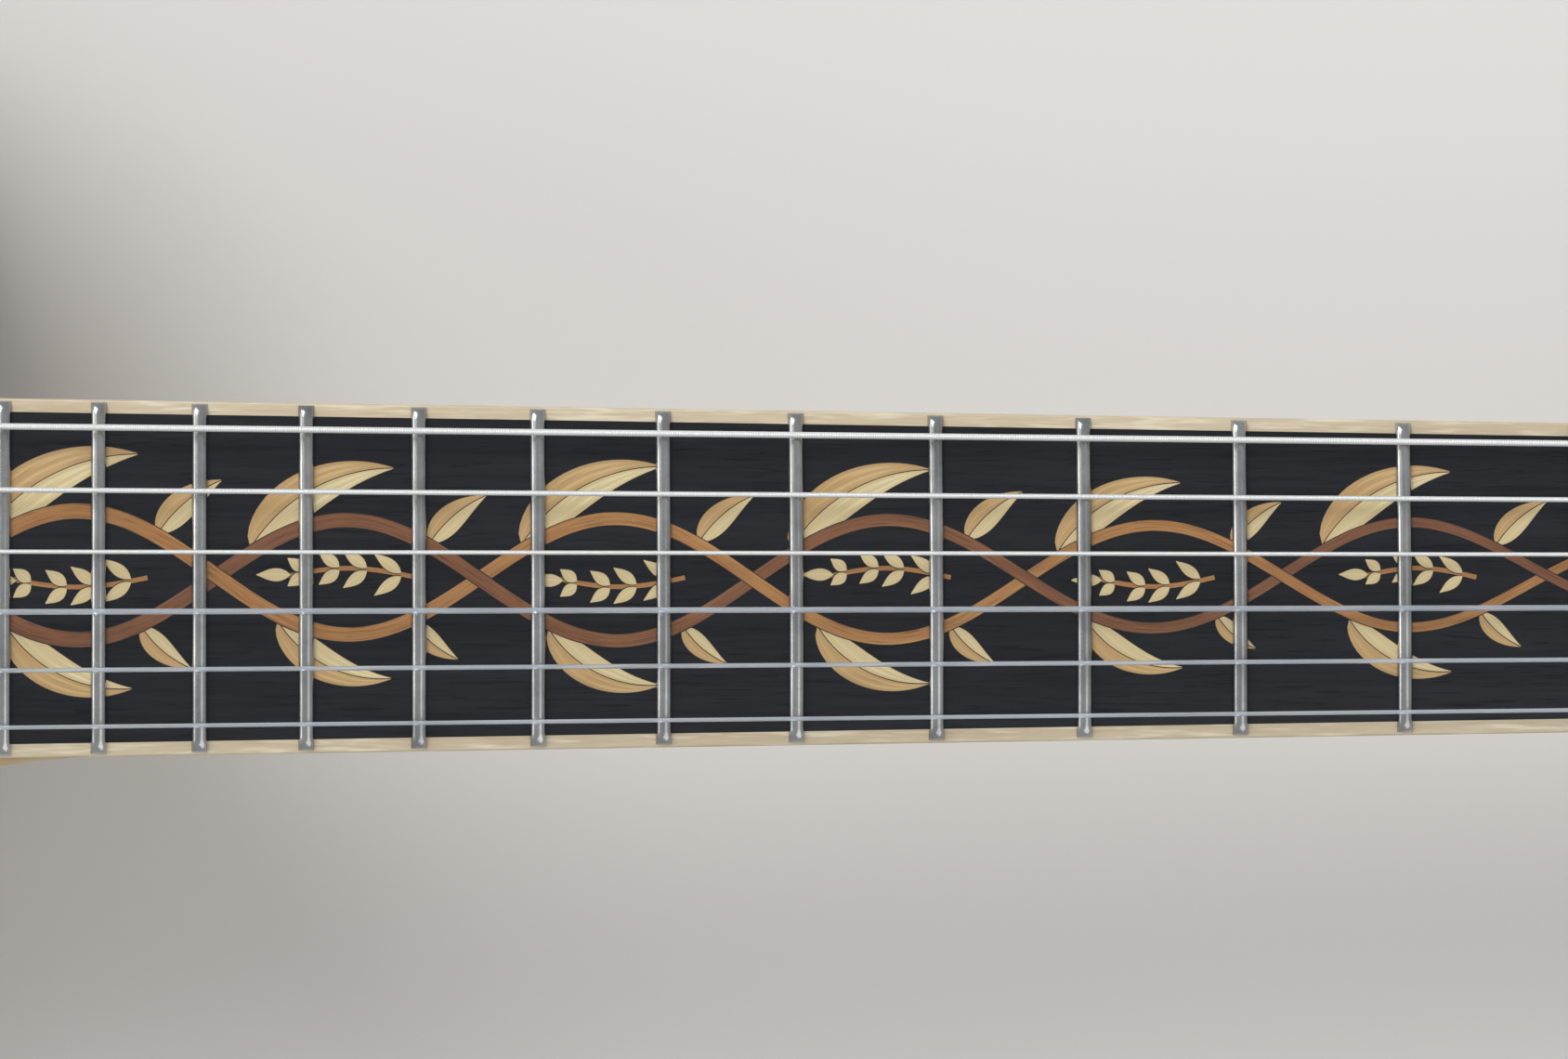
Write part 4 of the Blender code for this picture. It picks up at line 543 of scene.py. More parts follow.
class Bench:
    """The shaping and joining steps that every sub-assembly uses."""

    @staticmethod
    def loft(rings: Sequence[Ring], ring_closed: bool = True, path_closed: bool = False,
             capped: bool = True, wide: float = 1.0) -> bmesh.types.BMesh:
        """Lays a grid of faces through rings of points.

        Args:
            rings: the rings, all with as many points.
            ring_closed: whether a ring's last point joins its first.
            path_closed: whether the last ring joins the first.
            capped: whether open ends are filled.
            wide: what one trip round a ring counts for in the map.

        Returns:
            The skin, its map in shares round the ring and metres along the path.
        """
        around, along = len(rings[0]), len(rings)
        columns = around if ring_closed else around - 1
        rows = along if path_closed else along - 1
        middles = [sum(ring, Vector()) / around for ring in rings]
        walked = [0.0]
        for step in range(rows):
            walked.append(walked[-1] + (middles[(step + 1) % along] - middles[step]).length)
        work = bmesh.new()
        layer = work.loops.layers.uv.new(UV_MAP)
        bmesh.ops.create_grid(work, x_segments=columns, y_segments=rows, size=0.5)
        for face in work.faces:
            for loop in face.loops:
                spot = loop.vert.co
                loop[layer].uv = ((spot.x + 0.5) * wide, walked[round((spot.y + 0.5) * rows)])
        for vert in work.verts:
            i, j = round((vert.co.x + 0.5) * columns), round((vert.co.y + 0.5) * rows)
            vert.co = rings[j % along][i % around]
        return Bench.closed(work, capped and not path_closed)

    @staticmethod
    def closed(work: bmesh.types.BMesh, capped: bool = True) -> bmesh.types.BMesh:
        """Merges doubles, fills open ends and turns the faces outward.

        Args:
            work: the mesh.
            capped: whether open ends are filled.

        Returns:
            The same mesh.
        """
        bmesh.ops.remove_doubles(work, verts=work.verts, dist=SEAM)
        bmesh.ops.dissolve_degenerate(work, edges=work.edges, dist=SEAM / 10)
        if capped:
            bmesh.ops.holes_fill(work, edges=[edge for edge in work.edges if edge.is_boundary], sides=0)
        bmesh.ops.recalc_face_normals(work, faces=work.faces)
        return work

    @staticmethod
    def turned(profile: Sequence[Flat], place: Matrix, steps: int = 32) -> bmesh.types.BMesh:
        """Turns a profile about its own Z as on a lathe.

        Args:
            profile: pairs of radius and height.
            place: where the turned shape stands.
            steps: how many facets go round.

        Returns:
            The turned shape.
        """
        work = bmesh.new()
        verts = [work.verts.new((radius, 0.0, height)) for radius, height in profile]
        edges = [work.edges.new(pair) for pair in zip(verts, verts[1:])]
        bmesh.ops.spin(work, geom=verts + edges, cent=(0, 0, 0), axis=(0, 0, 1), dvec=(0, 0, 0),
                       angle=2 * math.pi, steps=steps, use_merge=True)
        Bench.closed(work)
        bmesh.ops.transform(work, matrix=place, verts=work.verts)
        return work

    @staticmethod
    def block(outline: Sequence[Flat], low: float, high: float, place: Matrix, edge: float = 0.0,
              segments: int = 2) -> bmesh.types.BMesh:
        """Raises a flat outline into a block with rounded arrises.

        Args:
            outline: the outline's points.
            low: the height of its underside.
            high: the height of its top.
            place: where the block stands.
            edge: how far the arrises are rounded.
            segments: how many facets round them.

        Returns:
            The block.
        """
        work = bmesh.new()
        base = work.faces.new([work.verts.new((x, y, low)) for x, y in outline])
        grown = bmesh.ops.extrude_face_region(work, geom=[base])["geom"]
        raised = [item for item in grown if isinstance(item, bmesh.types.BMVert)]
        bmesh.ops.translate(work, verts=raised, vec=(0.0, 0.0, high - low))
        if edge:
            rims = [item for item in work.edges if abs(item.verts[0].co.z - item.verts[1].co.z) < SEAM]
            bmesh.ops.bevel(work, geom=rims, offset=edge, segments=segments, profile=0.5, affect="EDGES",
                            material=-1)
        Bench.closed(work, False)
        bmesh.ops.transform(work, matrix=place, verts=work.verts)
        return work

    @staticmethod
    def together(works: Iterable[bmesh.types.BMesh]) -> bmesh.types.BMesh:
        """Puts several meshes into one and frees them."""
        whole = bmesh.new()
        for work in works:
            passed = bpy.data.meshes.new("passed")
            work.to_mesh(passed)
            work.free()
            whole.from_mesh(passed)
            bpy.data.meshes.remove(passed)
        return whole

    @staticmethod
    def carve(work: bmesh.types.BMesh, tool: bmesh.types.BMesh, operation: str = "DIFFERENCE",
              solver: str = "MANIFOLD") -> bmesh.types.BMesh:
        """Cuts a mesh with a closed tool.

        Args:
            work: the mesh that is cut.
            tool: the closed tool.
            operation: what is kept.
            solver: how it is worked out.

        Returns:
            The cut mesh.
        """
        shapes = []
        for name, source in (("work", work), ("tool", tool)):
            mesh = bpy.data.meshes.new(name)
            source.to_mesh(mesh)
            source.free()
            shapes.append(bpy.data.objects.new(name, mesh))
            bpy.context.scene.collection.objects.link(shapes[-1])
        change = shapes[0].modifiers.new("cut", "BOOLEAN")
        change.object, change.operation, change.solver = shapes[1], operation, solver
        bpy.context.view_layer.update()
        cut = bmesh.new()
        cut.from_object(shapes[0], bpy.context.evaluated_depsgraph_get())
        for shape in shapes:
            mesh = shape.data
            bpy.data.objects.remove(shape)
            bpy.data.meshes.remove(mesh)
        return cut

    @staticmethod
    def publish(work: bmesh.types.BMesh, name: str, material: bpy.types.Material, body: str,
                stands_for: Sequence[str] = (), slot: str = "", crease: float = 35.0) -> bpy.types.Object:
        """Makes a finished piece of a mesh and lets it ride on its body.

        Args:
            work: the mesh, in the instrument's place.
            name: the piece's name.
            material: its finish.
            body: the body that it rides on, or none.
            stands_for: the nodes that it replaces.
            slot: the record's material slot; not used.
            crease: the angle in degrees past which an edge is sharp.

        Returns:
            The piece.
        """
        mesh = bpy.data.meshes.new(name)
        work.to_mesh(mesh)
        work.free()
        mesh.materials.append(material)
        mesh.shade_smooth()
        mesh.set_sharp_from_angle(angle=math.radians(crease))
        piece = bpy.data.objects.new(name, mesh)
        bpy.context.scene.collection.objects.link(piece)
        if body:
            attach(piece, body)
        if stands_for:
            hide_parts(*stands_for)
        log.info("%s: %d faces", name, len(mesh.polygons))
        return piece

    @staticmethod
    def screw(place: Matrix, radius: float) -> bmesh.types.BMesh:
        """Makes a domed screw head with a slot, standing on the place's floor."""
        rise = radius * 0.55
        profile = [(0.0, -0.0002), (radius, -0.0002), (radius, rise * 0.25), (radius * 0.9, rise * 0.6),
                   (radius * 0.62, rise * 0.88), (radius * 0.3, rise), (0.0, rise)]
        slot = [(-radius * 1.2, -radius * 0.14), (radius * 1.2, -radius * 0.14), (radius * 1.2, radius * 0.14),
                (-radius * 1.2, radius * 0.14)]
        head = Bench.turned(profile, place, 24)
        return Bench.carve(head, Bench.block(slot, rise * 0.45, rise * 1.4, place))



def circle(radius: float, count: int, start: float = 0.0) -> list[Flat]:
    """The points of a circle."""
    angles = [start + 2 * math.pi * step / count for step in range(count)]
    return [(radius * math.cos(angle), radius * math.sin(angle)) for angle in angles]


def bezier(a: Flat, b: Flat, c: Flat, d: Flat, count: int) -> list[Flat]:
    """Points along a cubic curve, without its last one."""
    points = []
    for step in range(count):
        t = step / count
        s = 1 - t
        shares = (s ** 3, 3 * s * s * t, 3 * s * t * t, t ** 3)
        points.append(tuple(sum(w * p[k] for w, p in zip(shares, (a, b, c, d))) for k in range(2)))
    return points


def inward(outline: Sequence[Flat], distance: float) -> list[Flat]:
    """Moves a closed outline inward, with mitred corners.

    Args:
        outline: the outline, anticlockwise.
        distance: how far it moves.

    Returns:
        The moved outline.
    """
    moved = []
    for i, point in enumerate(outline):
        here, before = Vector(point), Vector(outline[i - 1])
        after = Vector(outline[(i + 1) % len(outline)])
        first, second = (here - before).normalized(), (after - here).normalized()
        n1, n2 = Vector((first.y, -first.x)), Vector((second.y, -second.x))
        spot = here - (n1 + n2) / (1.0 + n1.dot(n2)) * distance
        moved.append((spot.x, spot.y))
    return moved


def flowing(points: Sequence[Vector], pieces: int, longest: float = math.inf) -> list[Vector]:
    """Runs a smooth curve through points, leaving long straight runs alone.

    Args:
        points: the points, in order.
        pieces: how many pieces each short run is cut into.
        longest: the length past which a run stays straight.

    Returns:
        The points of the curve, the given ones among them.
    """
    last = len(points) - 1
    runs = [(b - a).normalized() for a, b in zip(points, points[1:])]
    leads = [runs[0]] + [(a + b).normalized() for a, b in zip(runs, runs[1:])] + [runs[-1]]
    line = [points[0].copy()]
    for i in range(last):
        a, b = points[i], points[i + 1]
        length = (b - a).length
        if length < longest:
            for step in range(1, pieces):
                t = step / pieces
                near = (2 * t ** 3 - 3 * t * t + 1) * a + (t ** 3 - 2 * t * t + t) * length * leads[i]
                far = (3 * t * t - 2 * t ** 3) * b + (t ** 3 - t * t) * length * leads[i + 1]
                line.append(near + far)
        line.append(b.copy())
    return line


def centreline(node: str, way: int = 1) -> list[Vector]:
    """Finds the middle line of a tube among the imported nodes.

    Args:
        node: the tube's name.
        way: 1 to start at its lowest X, -1 to start at its highest X on the bass side.

    Returns:
        The middles of its rings, in order.
    """
    work = bmesh.new()
    work.from_mesh(frame["nodes"][node].data)
    bmesh.ops.remove_doubles(work, verts=work.verts, dist=SEAM)
    ends = [vert for vert in work.verts if way > 0 or vert.co.y > 0]
    edge = min(vert.co.x * way for vert in ends)
    layer = [vert for vert in ends if vert.co.x * way < edge + 0.0003]
    seen, line = set(layer), []
    while layer:
        line.append(sum((vert.co for vert in layer), Vector()) / len(layer))
        after = []
        for vert in layer:
            for link in vert.link_edges:
                other = link.other_vert(vert)
                if other not in seen:
                    seen.add(other)
                    after.append(other)
        layer = after
    work.free()
    return line


def hose(line: Sequence[Vector], radius: float, sides: int = 14) -> bmesh.types.BMesh:
    """Makes a round tube along a line.

    Args:
        line: the middle line.
        radius: the tube's radius.
        sides: how many facets go round.

    Returns:
        The tube with closed ends, its map in turns round it and metres along it.
    """
    last = len(line) - 1
    normal = Vector((0.0, 0.0, 1.0))
    rings = []
    for i, spot in enumerate(line):
        run = (line[min(last, i + 1)] - line[max(0, i - 1)]).normalized()
        normal = (normal - run * normal.dot(run)).normalized()
        across = run.cross(normal)
        rings.append([spot + (normal * c + across * s) * radius for c, s in circle(1.0, sides)])
    return Bench.loft(rings)


def joint(name: str) -> dict:
    """The record's joint of that name."""
    return next(found for found in frame["joints"] if found["name"] == name)


@dataclass(frozen=True)
class Layout:
    """The instrument's main sizes and the three places that its pieces are measured from."""

    scale: float = 0.650
    frets: int = 20
    join_fret: int = 16
    nut_width: float = 0.0512
    twelfth_width: float = 0.0602
    radius: float = 0.508
    thickness: float = 0.0065
    overhang: float = 0.006
    edging: float = 0.00235
    gap: float = 0.0003
    nut_thickness: float = 0.0053
    nut_spread: float = 0.0446
    bridge_spread: float = 0.0562
    lean: float = 0.07
    nut_clearance: float = 0.0017
    saddle_clearance: float = 0.0066
    pitch: float = math.radians(3.8)
    head_angle: float = math.radians(13.0)
    body_length: float = 0.508
    rib_depth: float = 0.072
    plate_edge: float = 0.0045
    top_arch: float = 0.016
    back_arch: float = 0.0155
    bridge_rise: float = 0.0265
    gauges: tuple[float, ...] = (0.00109, 0.00089, 0.00074, 0.00102, 0.00081, 0.00071)
    strings: tuple[str, ...] = ("6_low_e", "5_a", "4_d", "3_g", "2_b", "1_high_e")

    @property
    def join(self) -> float:
        """Where the body meets the heel."""
        return self.fret(self.join_fret) - 0.001

    @property
    def tail(self) -> float:
        """Where the body ends."""
        return self.join - self.body_length

    @property
    def top_rim(self) -> float:
        """The height of the top's edge."""
        return self.rib_depth + self.gap + self.plate_edge

    @property
    def back_rim(self) -> float:
        """The height of the back's edge."""
        return -self.gap - self.plate_edge

    @property
    def crown(self) -> float:
        """The height of the top under the bridge."""
        return self.top_rim + self.top_arch

    @property
    def board_end(self) -> float:
        """Where the fingerboard ends over the body."""
        return self.fret(self.frets) - self.overhang

    @property
    def nut_back(self) -> float:
        """Where the headstock starts behind the nut."""
        return self.scale + self.nut_thickness + self.gap

    @cached_property
    def body(self) -> Matrix:
        """The body's own place: the bridge line over the underside of the ribs."""
        return Matrix.Translation((joint("bass_wheel_turn")["pos_m"][0], 0.0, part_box("ribs")[0][2]))

    @cached_property
    def neck(self) -> Matrix:
        """The place of the fingerboard: the bridge line at the height of the board's crown."""
        level = self.crown + self.bridge_rise - self.saddle_clearance
        return self.body @ Matrix.Translation((0.0, 0.0, level)) @ Matrix.Rotation(self.pitch, 4, "Y")

    @cached_property
    def head(self) -> Matrix:
        """The headstock's place: its face just behind the nut."""
        start = Matrix.Translation((self.nut_back, 0.0, -self.thickness - self.gap))
        return self.neck @ start @ Matrix.Rotation(self.head_angle, 4, "Y")

    def fret(self, number: int) -> float:
        """How far a fret lies from the bridge line."""
        return self.scale * 2 ** (-number / 12)

    def half(self, x: float) -> float:
        """Half the width of the bound fingerboard at a distance from the bridge line."""
        slope = (self.twelfth_width - self.nut_width) / (self.scale - self.fret(12))
        return (self.nut_width + slope * (self.scale - x)) / 2

    def drop(self, y: float) -> float:
        """How far the board's round top has fallen at a distance from its middle."""
        return self.radius - math.sqrt(self.radius ** 2 - y * y)

    def string(self, number: int, spread: float) -> float:
        """Where a string lies across a spread, the bass strings a little further apart."""
        share = number / (len(self.gauges) - 1)
        share += self.lean * share * (1 - share)
        return spread * (0.5 - share)


LAY = Layout()
WOUND = 3


@dataclass
class Fingerboard:
    """The bound ebony board with its frets and the nut."""

    finishes: Finishes
    stations: int = 28
    fret_width: float = 0.0027
    fret_height: float = 0.00125
    fret_end: float = 0.0004
    fret_inset: float = 0.0005
    fret_bevel: float = 0.0010
    tang: float = 0.0005
    tang_depth: float = 0.0016
    arris: float = 0.00045
    nut_rise: float = 0.0008
    dots: tuple[int, ...] = (3, 5, 7, 9, 12, 15, 17)

    def build(self) -> None:
        """Makes every piece of the board."""
        self.board()
        self.edging()
        for number in range(1, LAY.frets + 1):
            self.fret(number)
        self.nut()
        self.side_dots()

    def placed(self, rings: Sequence[Sequence[tuple[float, float, float]]]) -> list[list[Vector]]:
        """Carries rings from the board's place into the instrument's."""
        place = LAY.neck
        return [[place @ Vector(point) for point in ring] for ring in rings]

    def board(self) -> None:
        """Makes the board with its round top and a slot for each fret."""
        low = LAY.board_end + LAY.edging
        high = LAY.scale - LAY.gap
        half_slot = self.tang / 2 + 0.00005
        line = [(low, 0)]
        for number in range(LAY.frets, 0, -1):
            x = LAY.fret(number)
            line += [(x - half_slot, 0), (x - half_slot, 1), (x + half_slot, 1), (x + half_slot, 0)]
        line += [(high, 0), (high, 2), (low, 2)]
        rings = []
        for step in range(self.stations + 1):
            share = 2 * step / self.stations - 1
            ring = []
            for x, level in line:
                y = share * (LAY.half(x) - LAY.edging)
                top = -LAY.drop(y)
                ring.append((x, y, (top, top - self.tang_depth - 0.0002, -LAY.thickness)[level]))
            rings.append(ring)
        Bench.publish(Bench.loft(self.placed(rings)), "ebony_fingerboard", self.finishes.of("ebony"), "guitar_body",
                      ["fingerboard"], "ebony")

    def edging(self) -> None:
        """Makes the pale edging along both sides and round the end, its outer arris rounded."""
        end = LAY.board_end
        plan = [(LAY.scale - LAY.gap, -1.0), (end, -1.0)]
        plan += [(end, share) for share in (-0.75, -0.5, -0.25, 0.0, 0.25, 0.5, 0.75)]
        plan += [(end, 1.0), (LAY.scale - LAY.gap, 1.0)]
        round_edge = [(self.arris * (1 - math.cos(a)), self.arris * (1 - math.sin(a)))
                      for a in (0.0, math.pi / 8, math.pi / 4, 3 * math.pi / 8, math.pi / 2)]
        rings = []
        for x, share in plan:
            outer = Vector((x, share * LAY.half(x)))
            inner = Vector((max(x, end + LAY.edging), share * LAY.half(x)))
            if abs(share) == 1.0:
                inner = Vector((max(x, end + LAY.edging), share * (LAY.half(max(x, end + LAY.edging)) - LAY.edging)))
            ring = []
            for inset, fall in round_edge + [(LAY.edging, 0.0)]:
                spot = outer.lerp(inner, inset / LAY.edging)
                ring.append((spot.x, spot.y, -LAY.drop(spot.y) - fall))
            ring += [(inner.x, inner.y, -LAY.thickness), (outer.x, outer.y, -LAY.thickness)]
            rings.append(ring)
        Bench.publish(Bench.loft(self.placed(rings)), "board_edging", self.finishes.of("edging"), "guitar_body",
                      ["fingerboard_binding"], "pale_maple")

    def fret(self, number: int) -> None:
        """Makes one fret with a round crown and bevelled ends.

        Args:
            number: its number, counted from the nut.
        """
        place = LAY.fret(number)
        reach = LAY.half(place) - self.fret_inset
        board = LAY.half(place) - LAY.edging - LAY.gap
        ends = [(reach, self.fret_end, 0), (reach - 0.0002, self.fret_end + 0.0003, 0),
                (reach - self.fret_bevel, self.fret_height - 0.0001, 0),
                (reach - self.fret_bevel - 0.0004, self.fret_height, 0), (board, self.fret_height, 1)]
        ends += [(board * share, self.fret_height, 1) for share in (0.86, 0.72, 0.58, 0.44, 0.29, 0.14)]
        stations = [(-y, crown, tang) for y, crown, tang in ends] + [(0.0, self.fret_height, 1)] + ends[::-1]
        half = self.fret_width / 2
        rings = []
        for y, crown, tang in stations:
            base = -LAY.drop(y) - 0.00002
            ring = []
            for step in range(15):
                angle = math.pi * step / 14
                ring.append((place - half * math.cos(angle), y, base + crown * math.sin(angle) ** 0.85))
            foot = base - self.tang_depth if tang else base - 0.00001
            ring += [(place + self.tang / 2, y, base), (place + self.tang / 2, y, foot),
                     (place - self.tang / 2, y, foot), (place - self.tang / 2, y, base)]
            rings.append(ring)
        Bench.publish(Bench.loft(self.placed(rings)), f"fret_wire_{number:02d}", self.finishes.of("fret_metal"),
                      "guitar_body", [f"fret_{number:02d}"], "fret_metal", 30.0)

    def fan(self, number: int) -> float:
        """How fast a string moves sideways from the nut to its post."""
        return Tuners.fan(number)

    def nut(self) -> None:
        """Makes the bone nut with a round slot for each string and softened top edges."""
        width = LAY.half(LAY.scale)
        line = [(-width, -0.0014, 0.0), (-width + 0.0006, -0.0008, 0.0)]
        for number in range(len(LAY.gauges) - 1, -1, -1):
            radius = LAY.gauges[number] / 2
            y, room = LAY.string(number, LAY.nut_spread), radius + 0.00008
            level = LAY.nut_clearance - LAY.drop(y) + radius
            crest = level + radius + self.nut_rise
            fan = self.fan(number) * LAY.nut_thickness
            line += [(y - room - 0.0002, crest, fan), (y - room, crest - 0.0002, fan)]
            for step in range(9):
                angle = math.pi * (1 + step / 8)
                line.append((y + room * math.cos(angle), level + room * math.sin(angle), fan))
            line += [(y + room, crest - 0.0002, fan), (y + room + 0.0002, crest, fan)]
        edge = LAY.nut_clearance + self.nut_rise - LAY.drop(width)
        line = [(y, edge + z if abs(y) > width - 0.001 else z, fan) for y, z, fan in line]
        line += [(width - 0.0006, edge - 0.0008, 0.0), (width, edge - 0.0014, 0.0)]
        rings = []
        slope = math.tan(LAY.head_angle)
        for share, fall in ((0.0, 0.00035), (0.03, 0.00012), (0.08, 0.0), (0.92, 0.0), (0.97, 0.00012), (1.0, 0.00035)):
            x = share * LAY.nut_thickness
            ring = []
            for y, z, fan in line:
                low = z - slope * x
                ring.append((LAY.scale + x, y + fan * share, low - fall))
            ring += [(LAY.scale + x, width, -LAY.thickness), (LAY.scale + x, -width, -LAY.thickness)]
            rings.append(ring)
        Bench.publish(Bench.loft(self.placed(rings)), "bone_nut", self.finishes.of("bone"), "guitar_body",
                      ["nut"], "bone", 30.0)

    def side_dots(self) -> None:
        """Sets small dark position dots in the bass side of the edging."""
        works = []
        for number in self.dots:
            x = (LAY.fret(number) + LAY.fret(number - 1)) / 2
            shifts = (-0.004, 0.004) if number == 12 else (0.0,)
            for shift in shifts:
                spot = LAY.neck @ Matrix.Translation((x + shift, LAY.half(x + shift), -0.0028))
                place = spot @ Matrix.Rotation(-math.pi / 2, 4, "X")
                works.append(Bench.turned([(0.0, -0.0006), (0.0010, -0.0006), (0.0010, 0.00002), (0.0, 0.00003)],
                                          place, 20))
        Bench.publish(Bench.together(works), "side_dots", self.finishes.of("black_line"), "guitar_body", (), "ebony")


class Inlay(Enum):
    """The woods that the board's inlay is cut from, by the finish that each wears."""

    JOINT = "glue"
    STEM = "stem"
    DARK_STEM = "dark_stem"
    LEAF = "leaf"
    SHADE = "leaf_shade"


@dataclass
class Vine:
    """A thin plant inlay: two winding stems, split leaves at their crossings and small sprays."""

    finishes: Finishes
    start: float = 0.062
    end: float = 0.392
    wave: float = 0.0465
    swing: float = 0.0088
    stem_width: float = 0.0027
    glue: float = 0.00016
    leaf_length: float = 0.031
    leaf_width: float = 0.0078
    works: dict = field(default_factory=lambda: {kind: [] for kind in Inlay})

    def build(self) -> None:
        """Cuts and lays every piece of the inlay."""
        self.stems()
        self.leaves()
        self.sprays()
        for kind, works in self.works.items():
            Bench.publish(Bench.together(works), f"inlay_{kind.name.lower()}", self.finishes.of(kind.value),
                          "guitar_body", (), "pale_maple", 40.0)

    def lay(self, kind: Inlay, line: Sequence[Vector], left: Sequence[float], right: Sequence[float],
            height: Sequence[float]) -> None:
        """Lays one thin piece along a line on the board.

        Args:
            kind: the wood that it is cut from.
            line: its middle line, as distance from the nut and place across.
            left: how far it reaches to the left at each point.
            right: how far it reaches to the right at each point.
            height: how far it stands out of the board at each point.
        """
        last = len(line) - 1
        place = LAY.neck
        rings = []
        for i, spot in enumerate(line):
            run = (line[min(last, i + 1)] - line[max(0, i - 1)]).normalized()
            side = Vector((-run.y, run.x))
            ring = []
            for reach, rise in ((left[i], -0.0002), (left[i], height[i]), (right[i], height[i]), (right[i], -0.0002)):
                flat = spot + side * reach
                ring.append(place @ Vector((LAY.scale - flat.x, flat.y, rise - LAY.drop(flat.y))))
            rings.append(ring)
        self.works[kind].append(Bench.loft(rings, wide=0.012))

    def piece(self, kind: Inlay, line: Sequence[Vector], widths: Sequence[float], height: float | Sequence[float],
              glued: bool = True) -> None:
        """Lays a piece of even reach on both sides, with a thin dark joint round it."""
        heights = [height] * len(line) if isinstance(height, float) else list(height)
        if glued:
            outer = [w / 2 + self.glue for w in widths]
            self.lay(Inlay.JOINT, line, outer, [-w for w in outer], [h - 0.000015 for h in heights])
        self.lay(kind, line, [w / 2 for w in widths], [-w / 2 for w in widths], heights)

    def winding(self, phase: float) -> Callable[[float], Vector]:
        """Gives the middle line of one stem by its distance from the nut."""
        def at(s: float) -> Vector:
            share = (s - self.start) / (self.end - self.start)
            swing = self.swing * (0.55 + 0.45 * ease(share * 4)) * (1 + 0.25 * share)
            angle = math.pi * (s - self.start) / self.wave
            return Vector((s, phase * swing * math.sin(angle) + 0.0008 * math.sin(angle * 0.37 + phase)))
        return at

    def stems(self) -> None:
        """Lays the two stems, each over the other in turn."""
        steps = 220
        for kind, phase in ((Inlay.STEM, 1.0), (Inlay.DARK_STEM, -1.0)):
            at = self.winding(phase)
            spots = [self.start + (self.end - self.start) * i / steps for i in range(steps + 1)]
            line = [at(s) for s in spots]
            widths = []
            heights = []
            for i, s in enumerate(spots):
                share = i / steps
                widths.append(self.stem_width * (0.5 + 0.5 * share) * min(1.0, 0.15 + 12 * (1 - abs(2 * share - 1))))
                angle = math.pi * (s - self.start) / self.wave
                heights.append(0.00010 + phase * 0.00002 * math.cos(angle))
            self.piece(kind, line, widths, heights)

    def leaf(self, root: Vector, heading: float, length: float, width: float, bend: float,
             height: float = 0.00004) -> None:
        """Lays one leaf, split along its rib into a pale and a tan half.

        Args:
            root: where it leaves its stem.
            heading: the angle at which it leaves.
            length: its length.
            width: its greatest width.
            bend: how far it turns along its length, in radians.
            height: how far it stands out of the board.
        """
        steps = 22
        line = [root.copy()]
        for i in range(steps):
            angle = heading + bend * (i + 0.5) / steps
            line.append(line[-1] + Vector((math.cos(angle), math.sin(angle))) * length / steps)
        reach = []
        for i in range(steps + 1):
            share = i / steps
            reach.append(max(0.00006, width / 2 * math.sin(math.pi * share ** 0.72) ** 0.85 * (1.05 - 0.1 * share)))
        rib = 0.00008
        level = [height] * (steps + 1)
        outer = [r + self.glue for r in reach]
        self.lay(Inlay.JOINT, line, outer, [-r for r in outer], [height - 0.000015] * (steps + 1))
        pale, tan = (Inlay.LEAF, Inlay.SHADE) if bend >= 0 else (Inlay.SHADE, Inlay.LEAF)
        self.lay(pale, line, [max(r, rib + 0.00002) for r in reach], [rib] * (steps + 1), level)
        self.lay(tan, line, [-rib] * (steps + 1), [-max(r, rib + 0.00002) for r in reach], level)

    def leaves(self) -> None:
        """Lays a leaf outside every bow of the stems, large and small in turn, with a young one beside it."""
        bows = round((self.end - self.start) / self.wave)
        for number in range(bows):
            for phase in (1.0, -1.0):
                side = phase if number % 2 == 0 else -phase
                large = (number + (phase > 0)) % 2
                grown = (0.74 + 0.20 * number / bows) * (1.10 if large else 0.86) * (1 + 0.05 * math.sin(number * 2.4))
                at = self.winding(phase)
                root = at(self.start + (number + (0.86 if large else 0.76)) * self.wave)
                self.leaf(root + Vector((0.0, side * 0.0010)), math.pi - side * 1.02, self.leaf_length * grown,
                          self.leaf_width * grown, side * (1.02 if large else 1.10))
                young = at(self.start + (number + (0.20 if large else 0.26)) * self.wave)
                self.leaf(young + Vector((0.0, side * 0.0006)), math.pi - side * 1.0, self.leaf_length * grown * 0.44,
                          self.leaf_width * grown * 0.62, side * 0.6)
        self.leaf(Vector((self.start + 0.001, 0.0)), math.pi, self.leaf_length * 0.62, self.leaf_width * 0.72, 0.12)

    def sprays(self) -> None:
        """Lays a small spray of paired leaflets inside every loop of the stems."""
        loops = int((self.end - self.start) / self.wave)
        for number in range(loops):
            middle = self.start + (number + 0.5) * self.wave
            grown = 0.8 + 0.2 * number / loops
            lean = 0.0016 if number % 2 else -0.0016
            first, last = middle - 0.0125 * grown, middle + 0.0125 * grown
            line = [Vector((first + (last - first) * i / 20, lean * math.sin(math.pi * i / 20))) for i in range(21)]
            self.piece(Inlay.STEM, line, [0.0008] * 21, 0.00002, False)
            for pair in range(4):
                share = 0.12 + 0.22 * pair
                root = line[round(share * 20)]
                for side in (1, -1):
                    self.leaflet(root, side * 0.62, 0.0060 * grown * (1 - 0.12 * pair), 0.0022 * grown)
            self.leaflet(line[18], 0.0, 0.0062 * grown, 0.0024 * grown)

    def leaflet(self, root: Vector, heading: float, length: float, width: float) -> None:
        """Lays one small whole leaf."""
        steps = 8
        run = Vector((math.cos(heading), math.sin(heading)))
        line = [root + run * (0.0005 + length * i / steps) for i in range(steps + 1)]
        widths = [max(0.0001, width * math.sin(math.pi * (i / steps) ** 0.8)) for i in range(steps + 1)]
        self.piece(Inlay.LEAF, line, widths, 0.00005)


